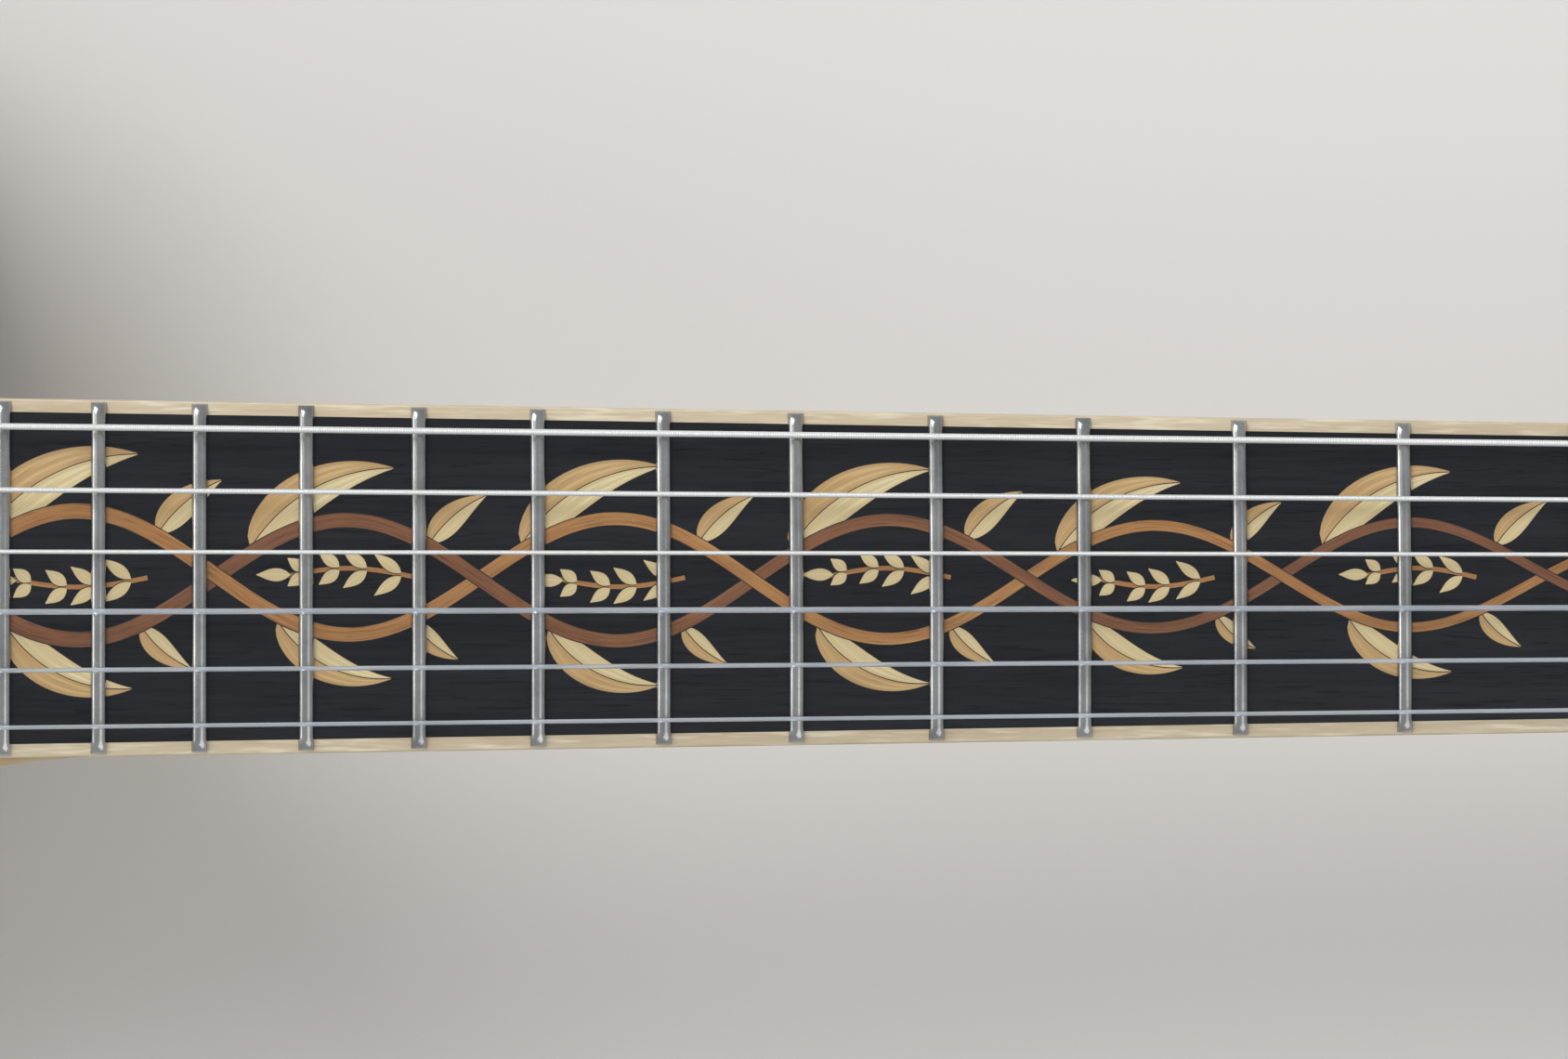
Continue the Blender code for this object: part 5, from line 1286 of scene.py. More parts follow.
@dataclass
class Strings:
    """Three wound and three clear strings, each cut where it crosses the saddle and leaves the nut."""

    finishes: Finishes
    sides: int = 16
    windings: tuple[str, ...] = ("winding_low", "winding_mid", "winding_high")

    def build(self) -> None:
        """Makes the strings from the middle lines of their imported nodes."""
        for number, label in enumerate(LAY.strings):
            self.string(number, label)

    def string(self, number: int, label: str) -> None:
        """Makes one string in three runs.

        Args:
            number: its place, the lowest first.
            label: its name.
        """
        node = f"string_{label}"
        line = centreline(node)
        post = Vector(joint(f"post_turn_{label}")["pos_m"])
        axis = Vector(joint(f"post_turn_{label}")["axis"]).normalized()
        crest = max(range(1, 6), key=lambda i: line[i].z)
        leave = next(i for i, spot in enumerate(line) if (spot - post).length < 0.1 and spot.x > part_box("nut")[1][0] - 0.0012)
        tail, speaking, wrap = line[:crest + 1], line[crest:leave + 1], line[leave:]
        coil = [spot for spot in wrap if (spot - post).cross(axis).length < 0.0055]
        low = min((spot - post).dot(axis) for spot in coil)
        high = (wrap[-1] - post).dot(axis)
        finish = self.finishes.of(self.windings[number] if number < WOUND else "nylon")
        slot = "wound_string" if number < WOUND else "nylon_string"
        radius = LAY.gauges[number] / 2
        runs = (("tail", tail, "guitar_body", "saddle", tail[0], tail[-1]),
                ("speaking", speaking, "saddle", "guitar_body", speaking[0], speaking[-1]),
                ("wrap", wrap, "guitar_body", f"post_{label}", post + axis * low, post + axis * high))
        for word, run, first, second, start, end in runs:
            smooth = flowing(run, 4, 0.004)
            piece = Bench.publish(hose(smooth, radius, self.sides), f"{word}_{node}", finish, "", (), slot, 60.0)
            tuple(start)
            tuple(end)
            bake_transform(piece)
            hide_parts(node)


def placed(place: Matrix, rings: Iterable[Iterable[Sequence[float]]]) -> list[list[Vector]]:
    """Carries rings of points from a place of their own into the instrument's."""
    return [[place @ Vector(point) for point in ring] for ring in rings]


class Arching:
    """The smooth dome over the body's outline, level along its rim."""

    def __init__(self, outline: Sequence[Flat], widest: Flat, reach: float) -> None:
        """Measures the dome's full depth at the body's widest place."""
        points = np.array(outline)
        after = np.roll(points, -1, axis=0)
        self.middles = (points + after) / 2
        self.lengths = np.linalg.norm(after - points, axis=1)
        self.reach = reach
        self.full = float(self.depth(np.array([widest]))[0])

    def depth(self, spots: np.ndarray) -> np.ndarray:
        """A smooth stand-in for the distance from the edge."""
        away = np.linalg.norm(spots[:, None, :] - self.middles[None, :, :], axis=2)
        return math.sqrt(2.0) * np.sum(self.lengths / np.maximum(away, 1e-5) ** 3, axis=1) ** -0.5

    def share(self, spots: np.ndarray, margin: float) -> np.ndarray:
        """Gives the share of the full height at each spot.

        Args:
            spots: the places, one a row.
            margin: how far from the edge the dome starts.

        Returns:
            0 on the rim to 1 at the crown.
        """
        inner = np.maximum(0.0, self.depth(spots) - margin)
        rise = np.tanh(inner / self.reach) / math.tanh((self.full - margin) / self.reach)
        return (1 - np.cos(np.pi * np.minimum(1.0, rise))) / 2


@dataclass(eq=False)
class SoundBox:
    """The carved plates, the ribs and the bindings of the body."""

    finishes: Finishes
    lower_bout: float = 0.406
    waist: float = 0.238
    upper_bout: float = 0.292
    neck_flat: float = 0.035
    rib_inset: float = 0.003
    rib_thickness: float = 0.0023
    lining_width: float = 0.0055
    lining_height: float = 0.014
    binding: float = 0.0022
    purfling: float = 0.0005
    crown_thickness: float = 0.0056
    rim_margin: float = 0.008
    lining_margin: float = 0.0125
    reach: float = 0.080
    cell: float = 0.0038

    def build(self) -> None:
        """Makes every piece of the body."""
        self.plate("carved_top", "top_plate", "spruce", "spruce", 1)
        self.plate("carved_back", "back_plate", "flamed", "maple", -1)
        self.ribs()
        self.trim()

    @cache
    def outline(self, density: int) -> list[Flat]:
        """The body's outline, anticlockwise from the heel's bass corner.

        Args:
            density: how finely it is cut.

        Returns:
            Its points.
        """
        join, tail = LAY.join, LAY.tail
        lower, waist = tail + 0.242 * LAY.body_length, join - 0.388 * LAY.body_length
        upper = join - 0.176 * LAY.body_length
        half_waist, half_upper, half_lower = self.waist / 2, self.upper_bout / 2, self.lower_bout / 2
        flat = self.neck_flat
        horn, cut = (join - 0.040, -0.098), (join - 0.064, -0.0565)
        bout = (upper - 0.008, -half_upper + 0.012)
        spans = (
            ((join, flat), (join, flat + 0.058), (upper + 0.058, half_upper), (upper, half_upper), 7),
            ((upper, half_upper), (upper - 0.045, half_upper), (waist + 0.045, half_waist), (waist, half_waist), 4),
            ((waist, half_waist), (waist - 0.062, half_waist), (lower + 0.078, half_lower), (lower, half_lower), 6),
            ((lower, half_lower), (lower - 0.080, half_lower), (tail, 0.108), (tail, 0.0), 8),
            ((tail, 0.0), (tail, -0.108), (lower - 0.080, -half_lower), (lower, -half_lower), 8),
            ((lower, -half_lower), (lower + 0.078, -half_lower), (waist - 0.062, -half_waist), (waist, -half_waist), 6),
            ((waist, -half_waist), (waist + 0.045, -half_waist), (bout[0] - 0.040, bout[1]), bout, 4),
            (bout, (bout[0] + 0.036, bout[1]), (horn[0], horn[1] - 0.022), horn, 6),
            (horn, (horn[0], horn[1] + 0.019), (cut[0], cut[1] - 0.019), cut, 6),
            (cut, (cut[0], cut[1] + 0.017), (join - 0.038, -flat - 0.001), (join, -flat), 6),
            ((join, -flat), (join, -flat / 3), (join, flat / 3), (join, flat), 2))
        points = []
        for a, b, c, d, count in spans:
            points.extend(bezier(a, b, c, d, count * density))
        return points

    @property
    @cache
    def arching(self) -> Arching:
        """The dome that both plates share."""
        return Arching(self.outline(6), (LAY.tail + 0.242 * LAY.body_length, 0.0), self.reach)

    def top_at(self, spots: np.ndarray) -> np.ndarray:
        """The height of the top's outer face."""
        return LAY.top_rim + LAY.top_arch * self.arching.share(spots, self.rim_margin)

    def level(self, x: float, y: float) -> float:
        """The height of the top's outer face at one place."""
        return float(self.top_at(np.array([(x, y)]))[0])

    def faces(self, spots: np.ndarray, way: int) -> tuple[np.ndarray, np.ndarray]:
        """The heights of a plate's outer and inner faces.

        Args:
            spots: the places, one a row.
            way: 1 for the top, -1 for the back.

        Returns:
            The outer and the inner heights.
        """
        arch = LAY.top_arch if way > 0 else LAY.back_arch
        dome = self.arching.share(spots, self.rim_margin)
        hollow = self.arching.share(spots, self.lining_margin) * (LAY.plate_edge + arch - self.crown_thickness)
        if way > 0:
            return LAY.top_rim + arch * dome, LAY.rib_depth + LAY.gap + hollow
        return LAY.back_rim - arch * dome, -LAY.gap - hollow

    def plate(self, name: str, node: str, finish: str, slot: str, way: int) -> None:
        """Carves one plate: a domed slab, trimmed to the outline, the top with its two sound holes.

        Args:
            name: the piece's name.
            node: the node that it replaces.
            finish: its wood.
            slot: the record's material slot.
            way: 1 for the top, -1 for the back.
        """
        xs = np.linspace(LAY.tail - 0.004, LAY.join + 0.004, round(LAY.body_length / self.cell))
        ys = np.linspace(-self.lower_bout / 2 - 0.004, self.lower_bout / 2 + 0.004, round(self.lower_bout / self.cell))
        spots = np.array([(x, y) for x in xs for y in ys])
        outer, inner = self.faces(spots, way)
        rings = []
        for i, x in enumerate(xs):
            row = range(i * len(ys), (i + 1) * len(ys))
            rings.append([(x, spots[k][1], outer[k]) for k in row] + [(x, spots[k][1], inner[k]) for k in reversed(row)])
        work = Bench.loft(placed(LAY.body, rings))
        rim = inward(self.outline(4), self.binding + 0.00005)
        work = Bench.carve(work, Bench.block(rim, -0.06, 0.14, LAY.body), "INTERSECT")
        if way > 0:
            for side in (1, -1):
                for tool in self.sound_hole(side):
                    work = Bench.carve(work, Bench.block(tool, 0.05, 0.12, LAY.body))
        shade = work.verts.layers.float.new("rim")
        back = LAY.body.inverted()
        flat = np.array([tuple((back @ vert.co).xy) for vert in work.verts])
        for vert, share in zip(work.verts, self.arching.share(flat, 0.0)):
            vert[shade] = float(share)
        Bench.publish(work, name, self.finishes.of(finish), "guitar_body", [node], slot, 42.0)

    def sound_hole(self, side: int) -> list[list[Flat]]:
        """The outlines of one sound hole: a swelling stem and a round eye at each end.

        Args:
            side: 1 for the bass side, -1 for the treble side.

        Returns:
            The three outlines, each anticlockwise.
        """
        upper, crest, middle = (0.0570, side * 0.0510), (0.0690, side * 0.0600), (0.0, side * 0.0800)
        half = bezier((upper[0] + 0.0035, upper[1] - side * 0.001), (crest[0] - 0.001, side * 0.05),
                      (crest[0] + 0.0010, crest[1] - side * 0.0030), crest, 12)
        half += bezier(crest, (crest[0] - 0.0015, crest[1] + side * 0.010), (0.030, middle[1] - side * 0.0035),
                       middle, 24)
        line = half + [middle] + [(-x, 2 * middle[1] - y) for x, y in reversed(half)]
        left, right = [], []
        last = len(line) - 1
        for i, point in enumerate(line):
            run = (Vector(line[min(last, i + 1)]) - Vector(line[max(0, i - 1)])).normalized()
            width = 0.0011 + 0.0030 * math.sin(math.pi * ease(i / last)) ** 1.4
            left.append((point[0] - run.y * width, point[1] + run.x * width))
            right.append((point[0] + run.y * width, point[1] - run.x * width))
        lower = (-upper[0], 2 * middle[1] - upper[1])
        eyes = [[(spot[0] + x, spot[1] + y) for x, y in circle(radius, 40)]
                for spot, radius in ((upper, 0.0052), (lower, 0.0066))]
        return [right + left[::-1]] + eyes

    def around(self, section: Sequence[Flat], wide: float) -> bmesh.types.BMesh:
        """Runs a section of inset and height pairs round the outline, its map as wide as given."""
        outline = self.outline(4)
        loops = [inward(outline, inset) for inset, _ in section]
        rings = [[(*loop[i], height) for loop, (_, height) in zip(loops, section)] for i in range(len(outline))]
        return Bench.loft(placed(LAY.body, rings), path_closed=True, wide=wide)

    def ribs(self) -> None:
        """Makes the ribs with the linings glued inside them."""
        wall = self.rib_inset + self.rib_thickness
        lining = wall + self.lining_width
        depth = LAY.rib_depth
        section = ((self.rib_inset, 0.0), (self.rib_inset, depth), (lining, depth), (wall, depth - self.lining_height),
                   (wall, self.lining_height), (lining, 0.0))
        Bench.publish(self.around(section, depth * len(section)), "bent_ribs", self.finishes.of("rib_wood"), "guitar_body", ["ribs"],
                      "maple")

    def trim(self) -> None:
        """Makes the two bindings, their outer arris rounded, and the dark line inside each."""
        for word, low, high in (("top", LAY.rib_depth + LAY.gap, LAY.top_rim), ("back", -LAY.gap, LAY.back_rim)):
            way = 1 if word == "top" else -1
            arris = 0.0009
            section = [(0.0, low)]
            for step in range(5):
                angle = math.pi / 2 * step / 4
                section.append((arris * (1 - math.cos(angle)), high - way * arris * (1 - math.sin(angle))))
            section += [(self.binding, high), (self.binding, low)]
            Bench.publish(self.around(section, 0.02), f"{word}_edge_binding", self.finishes.of("trim"), "guitar_body",
                          [f"{word}_binding"], "pale_maple")
            inner = self.binding + self.purfling
            line = ((self.binding, high - way * 0.001), (self.binding, high + way * 0.00003),
                    (inner, high + way * 0.00003), (inner, high - way * 0.001))
            Bench.publish(self.around(line, 0.01), f"{word}_purfling", self.finishes.of("black_line"), "guitar_body", (),
                          "ebony")


@dataclass
class Neck:
    """The maple neck with its heel and headstock, the head's veneer and the cover of the truss rod."""

    finishes: Finishes
    sides: int = 24
    depth_nut: float = 0.0148
    depth_heel: float = 0.0178
    roundness: float = 2.2
    heel_length: float = 0.056
    flare: float = 0.0036
    flare_length: float = 0.028
    heel_foot: float = 0.36
    head_length: float = 0.165
    head_thickness: float = 0.0145
    head_crown: float = 0.006
    shoulder: float = 0.034
    head_end: float = 0.059

    def build(self) -> None:
        """Makes every piece of the neck."""
        self.shaft()
        self.veneer()
        self.cover()
        self.heel_cap()

    def section(self, bass: float, treble: float, depth: float, roundness: float, foot: float) -> list[Flat]:
        """One cross section, flat on top and rounded below.

        Args:
            bass: its half width on the bass side.
            treble: its half width on the treble side.
            depth: its depth.
            roundness: 2 for an ellipse, more for a squarer shape.
            foot: how wide its lowest part stays.

        Returns:
            Its points from the bass edge under the neck and back along the top.
        """
        points = []
        for step in range(self.sides + 1):
            angle = math.pi * step / self.sides
            c, s = math.cos(angle), max(0.0, math.sin(angle))
            down = s ** (2 / roundness) if s > 1e-9 else 0.0
            half = bass if c >= 0 else treble
            points.append((math.copysign(abs(c) ** (2 / roundness), c) * half * (1 - (1 - foot) * down), -depth * down))
        points += [(-treble + (bass + treble) * step / 4, 0.0) for step in (1, 2, 3)]
        return points

    def under_board(self, x: float) -> float:
        """The height of the neck's flat top at a place along the body."""
        thick = LAY.thickness + LAY.gap
        along = (x + thick * math.sin(LAY.pitch)) / math.cos(LAY.pitch)
        return (LAY.body.inverted() @ LAY.neck @ Vector((along, 0.0, -thick))).z

    def shaft(self) -> None:
        """Lofts the neck from its tongue over the body to the end of the head and cuts its recesses."""
        box = SoundBox(self.finishes)
        rings = []
        tongue, front = LAY.board_end + 0.004, LAY.join + LAY.gap
        for step in range(9):
            x = tongue + (front - LAY.gap / 3 - tongue) * step / 8
            half = LAY.half(x) - 0.002
            floor = float(box.top_at(np.array([(x, half * k) for k in (-1, -0.5, 0, 0.5, 1)])).max())
            depth = self.under_board(x) - floor - 0.0015
            rings.append([LAY.body @ Vector((x, y, self.under_board(x) + z))
                          for y, z in self.section(half, half, depth, 7.0, 0.92)])
        foot = self.under_board(LAY.join) - LAY.back_rim
        for step in range(25):
            t = (step / 24) ** 1.4
            x = front + self.heel_length * t
            depth = self.depth_heel + (foot - self.depth_heel) * (1 - t) ** 3
            bulk = (1 - t) ** 3
            flare = self.flare * max(0.0, 1 - (x - LAY.join) / self.flare_length) ** 1.4
            half = LAY.half(x)
            ring = self.section(half, half + flare, depth, self.roundness + 1.2 * bulk, 1 - (1 - self.heel_foot) * bulk)
            rings.append([LAY.body @ Vector((x, y, self.under_board(x) + z)) for y, z in ring])
        heel = front + self.heel_length
        shelf = (LAY.body.inverted() @ LAY.neck @ Vector((LAY.nut_back, 0.0, -LAY.thickness - LAY.gap))).x
        for step in range(1, 17):
            x = heel + (shelf - heel) * step / 16
            depth = self.depth_heel + (self.depth_nut - self.depth_heel) * step / 16
            half = min(LAY.half(x), LAY.half(LAY.join))
            rings.append([LAY.body @ Vector((x, y, self.under_board(x) + z))
                          for y, z in self.section(half, half, depth, self.roundness, 1.0)])
        for u in (0.009, 0.0125, 0.016, 0.020, 0.024, 0.029, self.shoulder, 0.045, 0.060, 0.085, 0.110, 0.140,
                  self.head_length + 0.002):
            half = Tuners.head_half(u)
            blend = ease(u / self.shoulder)
            depth = self.depth_nut + (self.head_thickness - self.depth_nut) * blend
            rings.append([LAY.head @ Vector((u, y, z))
                          for y, z in self.section(half, half, depth, self.roundness + 12 * blend, 1.0)])
        work = Bench.loft(rings)
        for tool in self.recesses():
            work = Bench.carve(work, tool)
        Bench.publish(work, "maple_neck", self.finishes.of("neck_wood"), "guitar_body", ["neck"], "maple", 38.0)

    def recesses(self) -> list[bmesh.types.BMesh]:
        """The shapes cut from the neck: the head's crowned end, the rod's channel and pocket, the post holes."""
        length, low = self.head_length, -self.head_thickness - 0.002
        end = [(length - self.head_crown * k * k, k * self.head_end / 2) for k in (step / 16 for step in range(-20, 21))]
        far = length + 0.01
        crown = [(far, end[0][1])] + [(far, end[-1][1])] + end[::-1]
        start = LAY.join + 0.020
        channel = [(start, -0.0031), (LAY.nut_back + 0.033, -0.0031), (LAY.nut_back + 0.033, 0.0031), (start, 0.0031)]
        pocket = [(LAY.nut_back + 0.004, -0.005), (LAY.nut_back + 0.033, -0.005), (LAY.nut_back + 0.033, 0.005),
                  (LAY.nut_back + 0.004, 0.005)]
        floor = -LAY.thickness - 0.0086
        holes = []
        for number in range(len(LAY.strings)):
            place = LAY.head @ Matrix.Translation((*Tuners.post(number), 0.0))
            holes.append(Bench.block(circle(0.0035, 32), low - 0.002, 0.004, place))
        return [Bench.block(crown, low, 0.002, LAY.head), Bench.block(channel, floor, 0.0, LAY.neck),
                Bench.block(pocket, floor - 0.0012, 0.005, LAY.neck), Bench.together(holes)]

    def veneer(self) -> None:
        """Lays the ebony veneer over the head's face, bored for the posts."""
        edge = []
        for step in range(25):
            u = 0.0004 + (self.head_length - self.head_crown - 0.0004) * step / 24
            edge.append((u, Tuners.head_half(u) + 0.00004))
        end = [(self.head_length - self.head_crown * k * k + 0.00004, k * (self.head_end / 2 + 0.00004))
               for k in (step / 12 for step in range(-11, 12))]
        outline = [(u, -half) for u, half in edge] + end + [(u, half) for u, half in edge[::-1]]
        work = Bench.block(outline, -0.0014, 0.00015, LAY.head, 0.0001, 1)
        holes = []
        for number in range(len(LAY.strings)):
            place = LAY.head @ Matrix.Translation((*Tuners.post(number), 0.0))
            holes.append(Bench.block(circle(0.0036, 32), -0.004, 0.004, place))
        near, far = LAY.nut_back + 0.0042, LAY.nut_back + 0.031
        opening = [(near, -0.0044), (far, -0.0044), (far, 0.0044), (near, 0.0044)]
        holes.append(Bench.block(opening, -LAY.thickness - 0.0098, 0.005, LAY.neck))
        Bench.publish(Bench.carve(work, Bench.together(holes)), "head_veneer", self.finishes.of("polished"),
                      "guitar_body", (), "ebony")

    def cover(self) -> None:
        """Screws a small bare bell-shaped cover, domed over the rod's nut, onto the head."""
        plan = [Vector(spot) for spot in ((0.0030, 0.0070, 0.0016), (0.0036, 0.0092, 0.0022), (0.0050, 0.0100, 0.0028),
                                          (0.0130, 0.0097, 0.0046), (0.0210, 0.0086, 0.0056), (0.0270, 0.0066, 0.0042),
                                          (0.0330, 0.0050, 0.0022), (0.0390, 0.0040, 0.0016), (0.0406, 0.0020, 0.0014))]
        rings = []
        for u, half, rise in flowing(plan, 4):
            ring = [(u, -half, 0.0002), (u, half, 0.0002), (u, half, 0.0011)]
            for step in range(1, 12):
                share = 1 - step / 6
                lift = (math.cos(math.pi * min(1.0, abs(share) * 1.25)) + 1) / 2
                ring.append((u, half * share, 0.0014 + (rise - 0.0014) * lift))
            rings.append(ring + [(u, -half, 0.0011)])
        room = LAY.neck @ Matrix.Translation((LAY.nut_back + 0.002, 0.0, -LAY.thickness - 0.0052))
        hollow = Bench.block(circle(0.0044, 24), 0.0, 0.0197, room @ Matrix.Rotation(math.pi / 2, 4, "Y"))
        work = Bench.carve(Bench.loft(placed(LAY.head, rings)), hollow)
        Bench.publish(work, "rod_cover", self.finishes.of("polished"), "guitar_body", (), "ebony")
        screws = [Bench.screw(LAY.head @ Matrix.Translation((u, v, 0.0013)) @ Matrix.Rotation(turn, 4, "Z"), 0.0014)
                  for u, v, turn in ((0.0066, 0.0077, 0.5), (0.0066, -0.0077, 1.4), (0.0372, 0.0, 2.2))]
        Bench.publish(Bench.together(screws), "rod_cover_screws", self.finishes.of("gold"), "guitar_body", (),
                      "gold_plate")

    def heel_cap(self) -> None:
        """Glues a thin ebony cap under the heel."""
        depth = self.under_board(LAY.join) - LAY.back_rim
        half = LAY.half(LAY.join) * self.heel_foot
        outline = [(LAY.join + LAY.gap, -half * 0.62)]
        for step in range(13):
            angle = -math.pi / 2 + math.pi * step / 12
            outline.append((LAY.join + LAY.gap + 0.0022 * math.cos(angle), half * 0.62 * math.sin(angle)))
        outline.append((LAY.join + LAY.gap, half * 0.62))
        low = self.under_board(LAY.join) - depth
        work = Bench.block(outline[1:-1], low - 0.0002, low + 0.0016, LAY.body, 0.0003, 2)
        Bench.publish(work, "heel_cap", self.finishes.of("ebony"), "guitar_body", (), "ebony")


@dataclass
class Tuners:
    """The six tuning machines: posts with their wheels, worms with their buttons and the two plates."""

    finishes: Finishes
    post_radius: float = 0.0032
    post_rise: float = 0.0165
    hole_rise: float = 0.0125
    shank: float = 0.0025
    plate: float = 0.0012
    plate_width: float = 0.013
    teeth: int = 14
    gear_thickness: float = 0.003
    worm_radius: float = 0.0026
    lead: float = 0.00233
    tooth_depth: float = 0.0013
    shaft: float = 0.0013
    lug: float = 0.0014
    button_length: float = 0.015
    button_height: float = 0.008
    button_thickness: float = 0.0036
    standoff: float = 0.0065
    wraps: float = 1.5
    head_thickness: float = 0.0145

    @staticmethod
    def head_half(u: float) -> float:
        """Half the width of the headstock at a distance behind the nut."""
        start, shoulder, width, end, length = LAY.half(LAY.scale), 0.034, 0.067, 0.059, 0.165
        if u < shoulder:
            return start + (width / 2 - start) * ease(u / shoulder)
        return (width + (end - width) * (u - shoulder) / (length - shoulder)) / 2

    @staticmethod
    def post(number: int) -> Flat:
        """Where a string's post stands on the headstock."""
        row = number if number < 3 else 5 - number
        u = 0.046 + row * 0.040
        return (u, (1 if number < 3 else -1) * (Tuners.head_half(u) - 0.009))

    @staticmethod
    def fan(number: int) -> float:
        """How fast a string moves sideways between the nut and its post."""
        u, v = Tuners.post(number)
        inner = abs(v) - (0.0032 + LAY.gap + LAY.gauges[number] / 2)
        return (math.copysign(inner, v) - LAY.string(number, LAY.nut_spread)) / u

    @property
    def gear_radius(self) -> float:
        """The pitch radius of the worm wheel."""
        return self.teeth * self.lead / (2 * math.pi)

    @property
    def level(self) -> float:
        """The height of the gears behind the head."""
        return -self.head_thickness - 2 * LAY.gap - self.plate - self.worm_radius - self.tooth_depth / 2

    @property
    def lug_place(self) -> float:
        """How far from the post each lug stands."""
        return 1.785 * self.lead + 2 * LAY.gap

    def build(self) -> None:
        """Makes every tuning machine."""
        for number, label in enumerate(LAY.strings):
            u, v = self.post(number)
            way = 1 if v > 0 else -1
            self.post_piece(number, label, u, v)
            self.wheel(label, u, v, way)
            self.worm(label, u, v, way)
            self.button(label, u, v, way)
        for side in (1, -1):
            self.base_plate(side)
        self.bushings()

    def hole_angle(self, number: int) -> float:
        """The direction of the cross hole in a string's post."""
        start = LAY.string(number, LAY.nut_spread)
        radius = LAY.gauges[number] / 2
        level = LAY.nut_clearance + radius - LAY.drop(start)
        leave = LAY.neck @ Vector((LAY.scale + LAY.nut_thickness, start + self.fan(number) * LAY.nut_thickness,
                                   level - math.tan(LAY.head_angle) * (LAY.nut_thickness - 0.0006)))
        u, v = self.post(number)
        outside = LAY.head.inverted() @ leave
        to_post = Vector((u - outside.x, v - outside.y))
        wrap = self.post_radius + LAY.gap + radius
        way = 1 if v > 0 else -1
        heading = math.atan2(to_post.y, to_post.x) - way * math.asin(wrap / to_post.length)
        last = heading - way * math.pi / 2 + way * 2 * math.pi * self.wraps
        bend = radius + 0.00035
        return last + way * math.asin(bend / (wrap - bend))

    def post_piece(self, number: int, label: str, u: float, v: float) -> None:
        """Turns one post and drills its string hole."""
        r, top = self.post_radius, self.post_rise
        foot = self.level - self.gear_thickness / 2 - 0.0006
        profile = [(0.0, foot), (self.shank - 0.0003, foot), (self.shank, foot + 0.0003),
                   (self.shank, -self.head_thickness - 0.0002), (r, -self.head_thickness + 0.0005), (r, 0.0105),
                   (r - 0.00025, 0.0109), (r - 0.00025, 0.0112), (r, 0.0115), (r, 0.0136), (r - 0.00035, 0.0139),
                   (r - 0.00035, 0.0143), (r, 0.0146), (r, top - 0.0009), (r - 0.0003, top - 0.0003),
                   (r - 0.0008, top), (0.0009, top), (0.0008, top - 0.0002), (0.0, top - 0.0002)]
        place = LAY.head @ Matrix.Translation((u, v, 0.0))
        work = Bench.turned(profile, place, 36)
        spin = Matrix.Translation((0.0, 0.0, self.hole_rise)) @ Matrix.Rotation(self.hole_angle(number), 4, "Z")
        bore = circle(LAY.gauges[number] / 2 + 0.00035, 20)
        drill = Bench.block(bore, -0.006, 0.006, place @ spin @ Matrix.Rotation(math.pi / 2, 4, "Y"))
        Bench.publish(Bench.carve(work, drill), f"turned_post_{label}", self.finishes.of("gold"), f"post_{label}",
                      [f"tuner_post_{label}"], "gold_plate")

    def wheel(self, label: str, u: float, v: float, way: int) -> None:
        """Cuts one worm wheel, its teeth leaning with the thread, with a screw in its hub."""
        low, high = self.gear_radius - self.tooth_depth / 2, self.gear_radius + self.tooth_depth / 2
        slope = math.atan(self.lead / (2 * math.pi * self.worm_radius))
        step = 2 * math.pi / self.teeth
        half = self.gear_thickness / 2
        rings = []
        for z, trim in ((-half, 0.00035), (-half + 0.0003, 0.0), (0.0, 0.0), (half - 0.0003, 0.0), (half, 0.00035)):
            ring = []
            for tooth in range(self.teeth):
                for share, radius in ((-0.33, low), (-0.27, low + 0.0002), (-0.13, high - 0.00015), (-0.07, high),
                                      (0.07, high), (0.13, high - 0.00015), (0.27, low + 0.0002), (0.33, low)):
                    angle = (tooth + share) * step + z * math.tan(slope) / self.gear_radius
                    reach = min(radius, high - trim)
                    ring.append((reach * math.cos(angle), reach * math.sin(angle), z))
            rings.append(ring)
        turn = Matrix.Rotation(0.0 if way > 0 else math.pi / self.teeth, 4, "Z")
        place = LAY.head @ Matrix.Translation((u, v, self.level)) @ turn
        hub = Bench.screw(place @ Matrix.Translation((0.0, 0.0, -half)) @ Matrix.Rotation(math.pi, 4, "X"), 0.0021)
        Bench.publish(Bench.together([Bench.loft(placed(place, rings)), hub]), f"worm_wheel_{label}",
                      self.finishes.of("gold"), f"post_{label}", [f"tuner_post_{label}"], "gold_plate")

    def axle(self, u: float, v: float, way: int) -> Matrix:
        """The place of a worm, its own X pointing outward."""
        beside = u + self.gear_radius + self.worm_radius
        return LAY.head @ Matrix.Translation((beside, v, self.level)) @ Matrix.Rotation(way * math.pi / 2, 4, "Z")

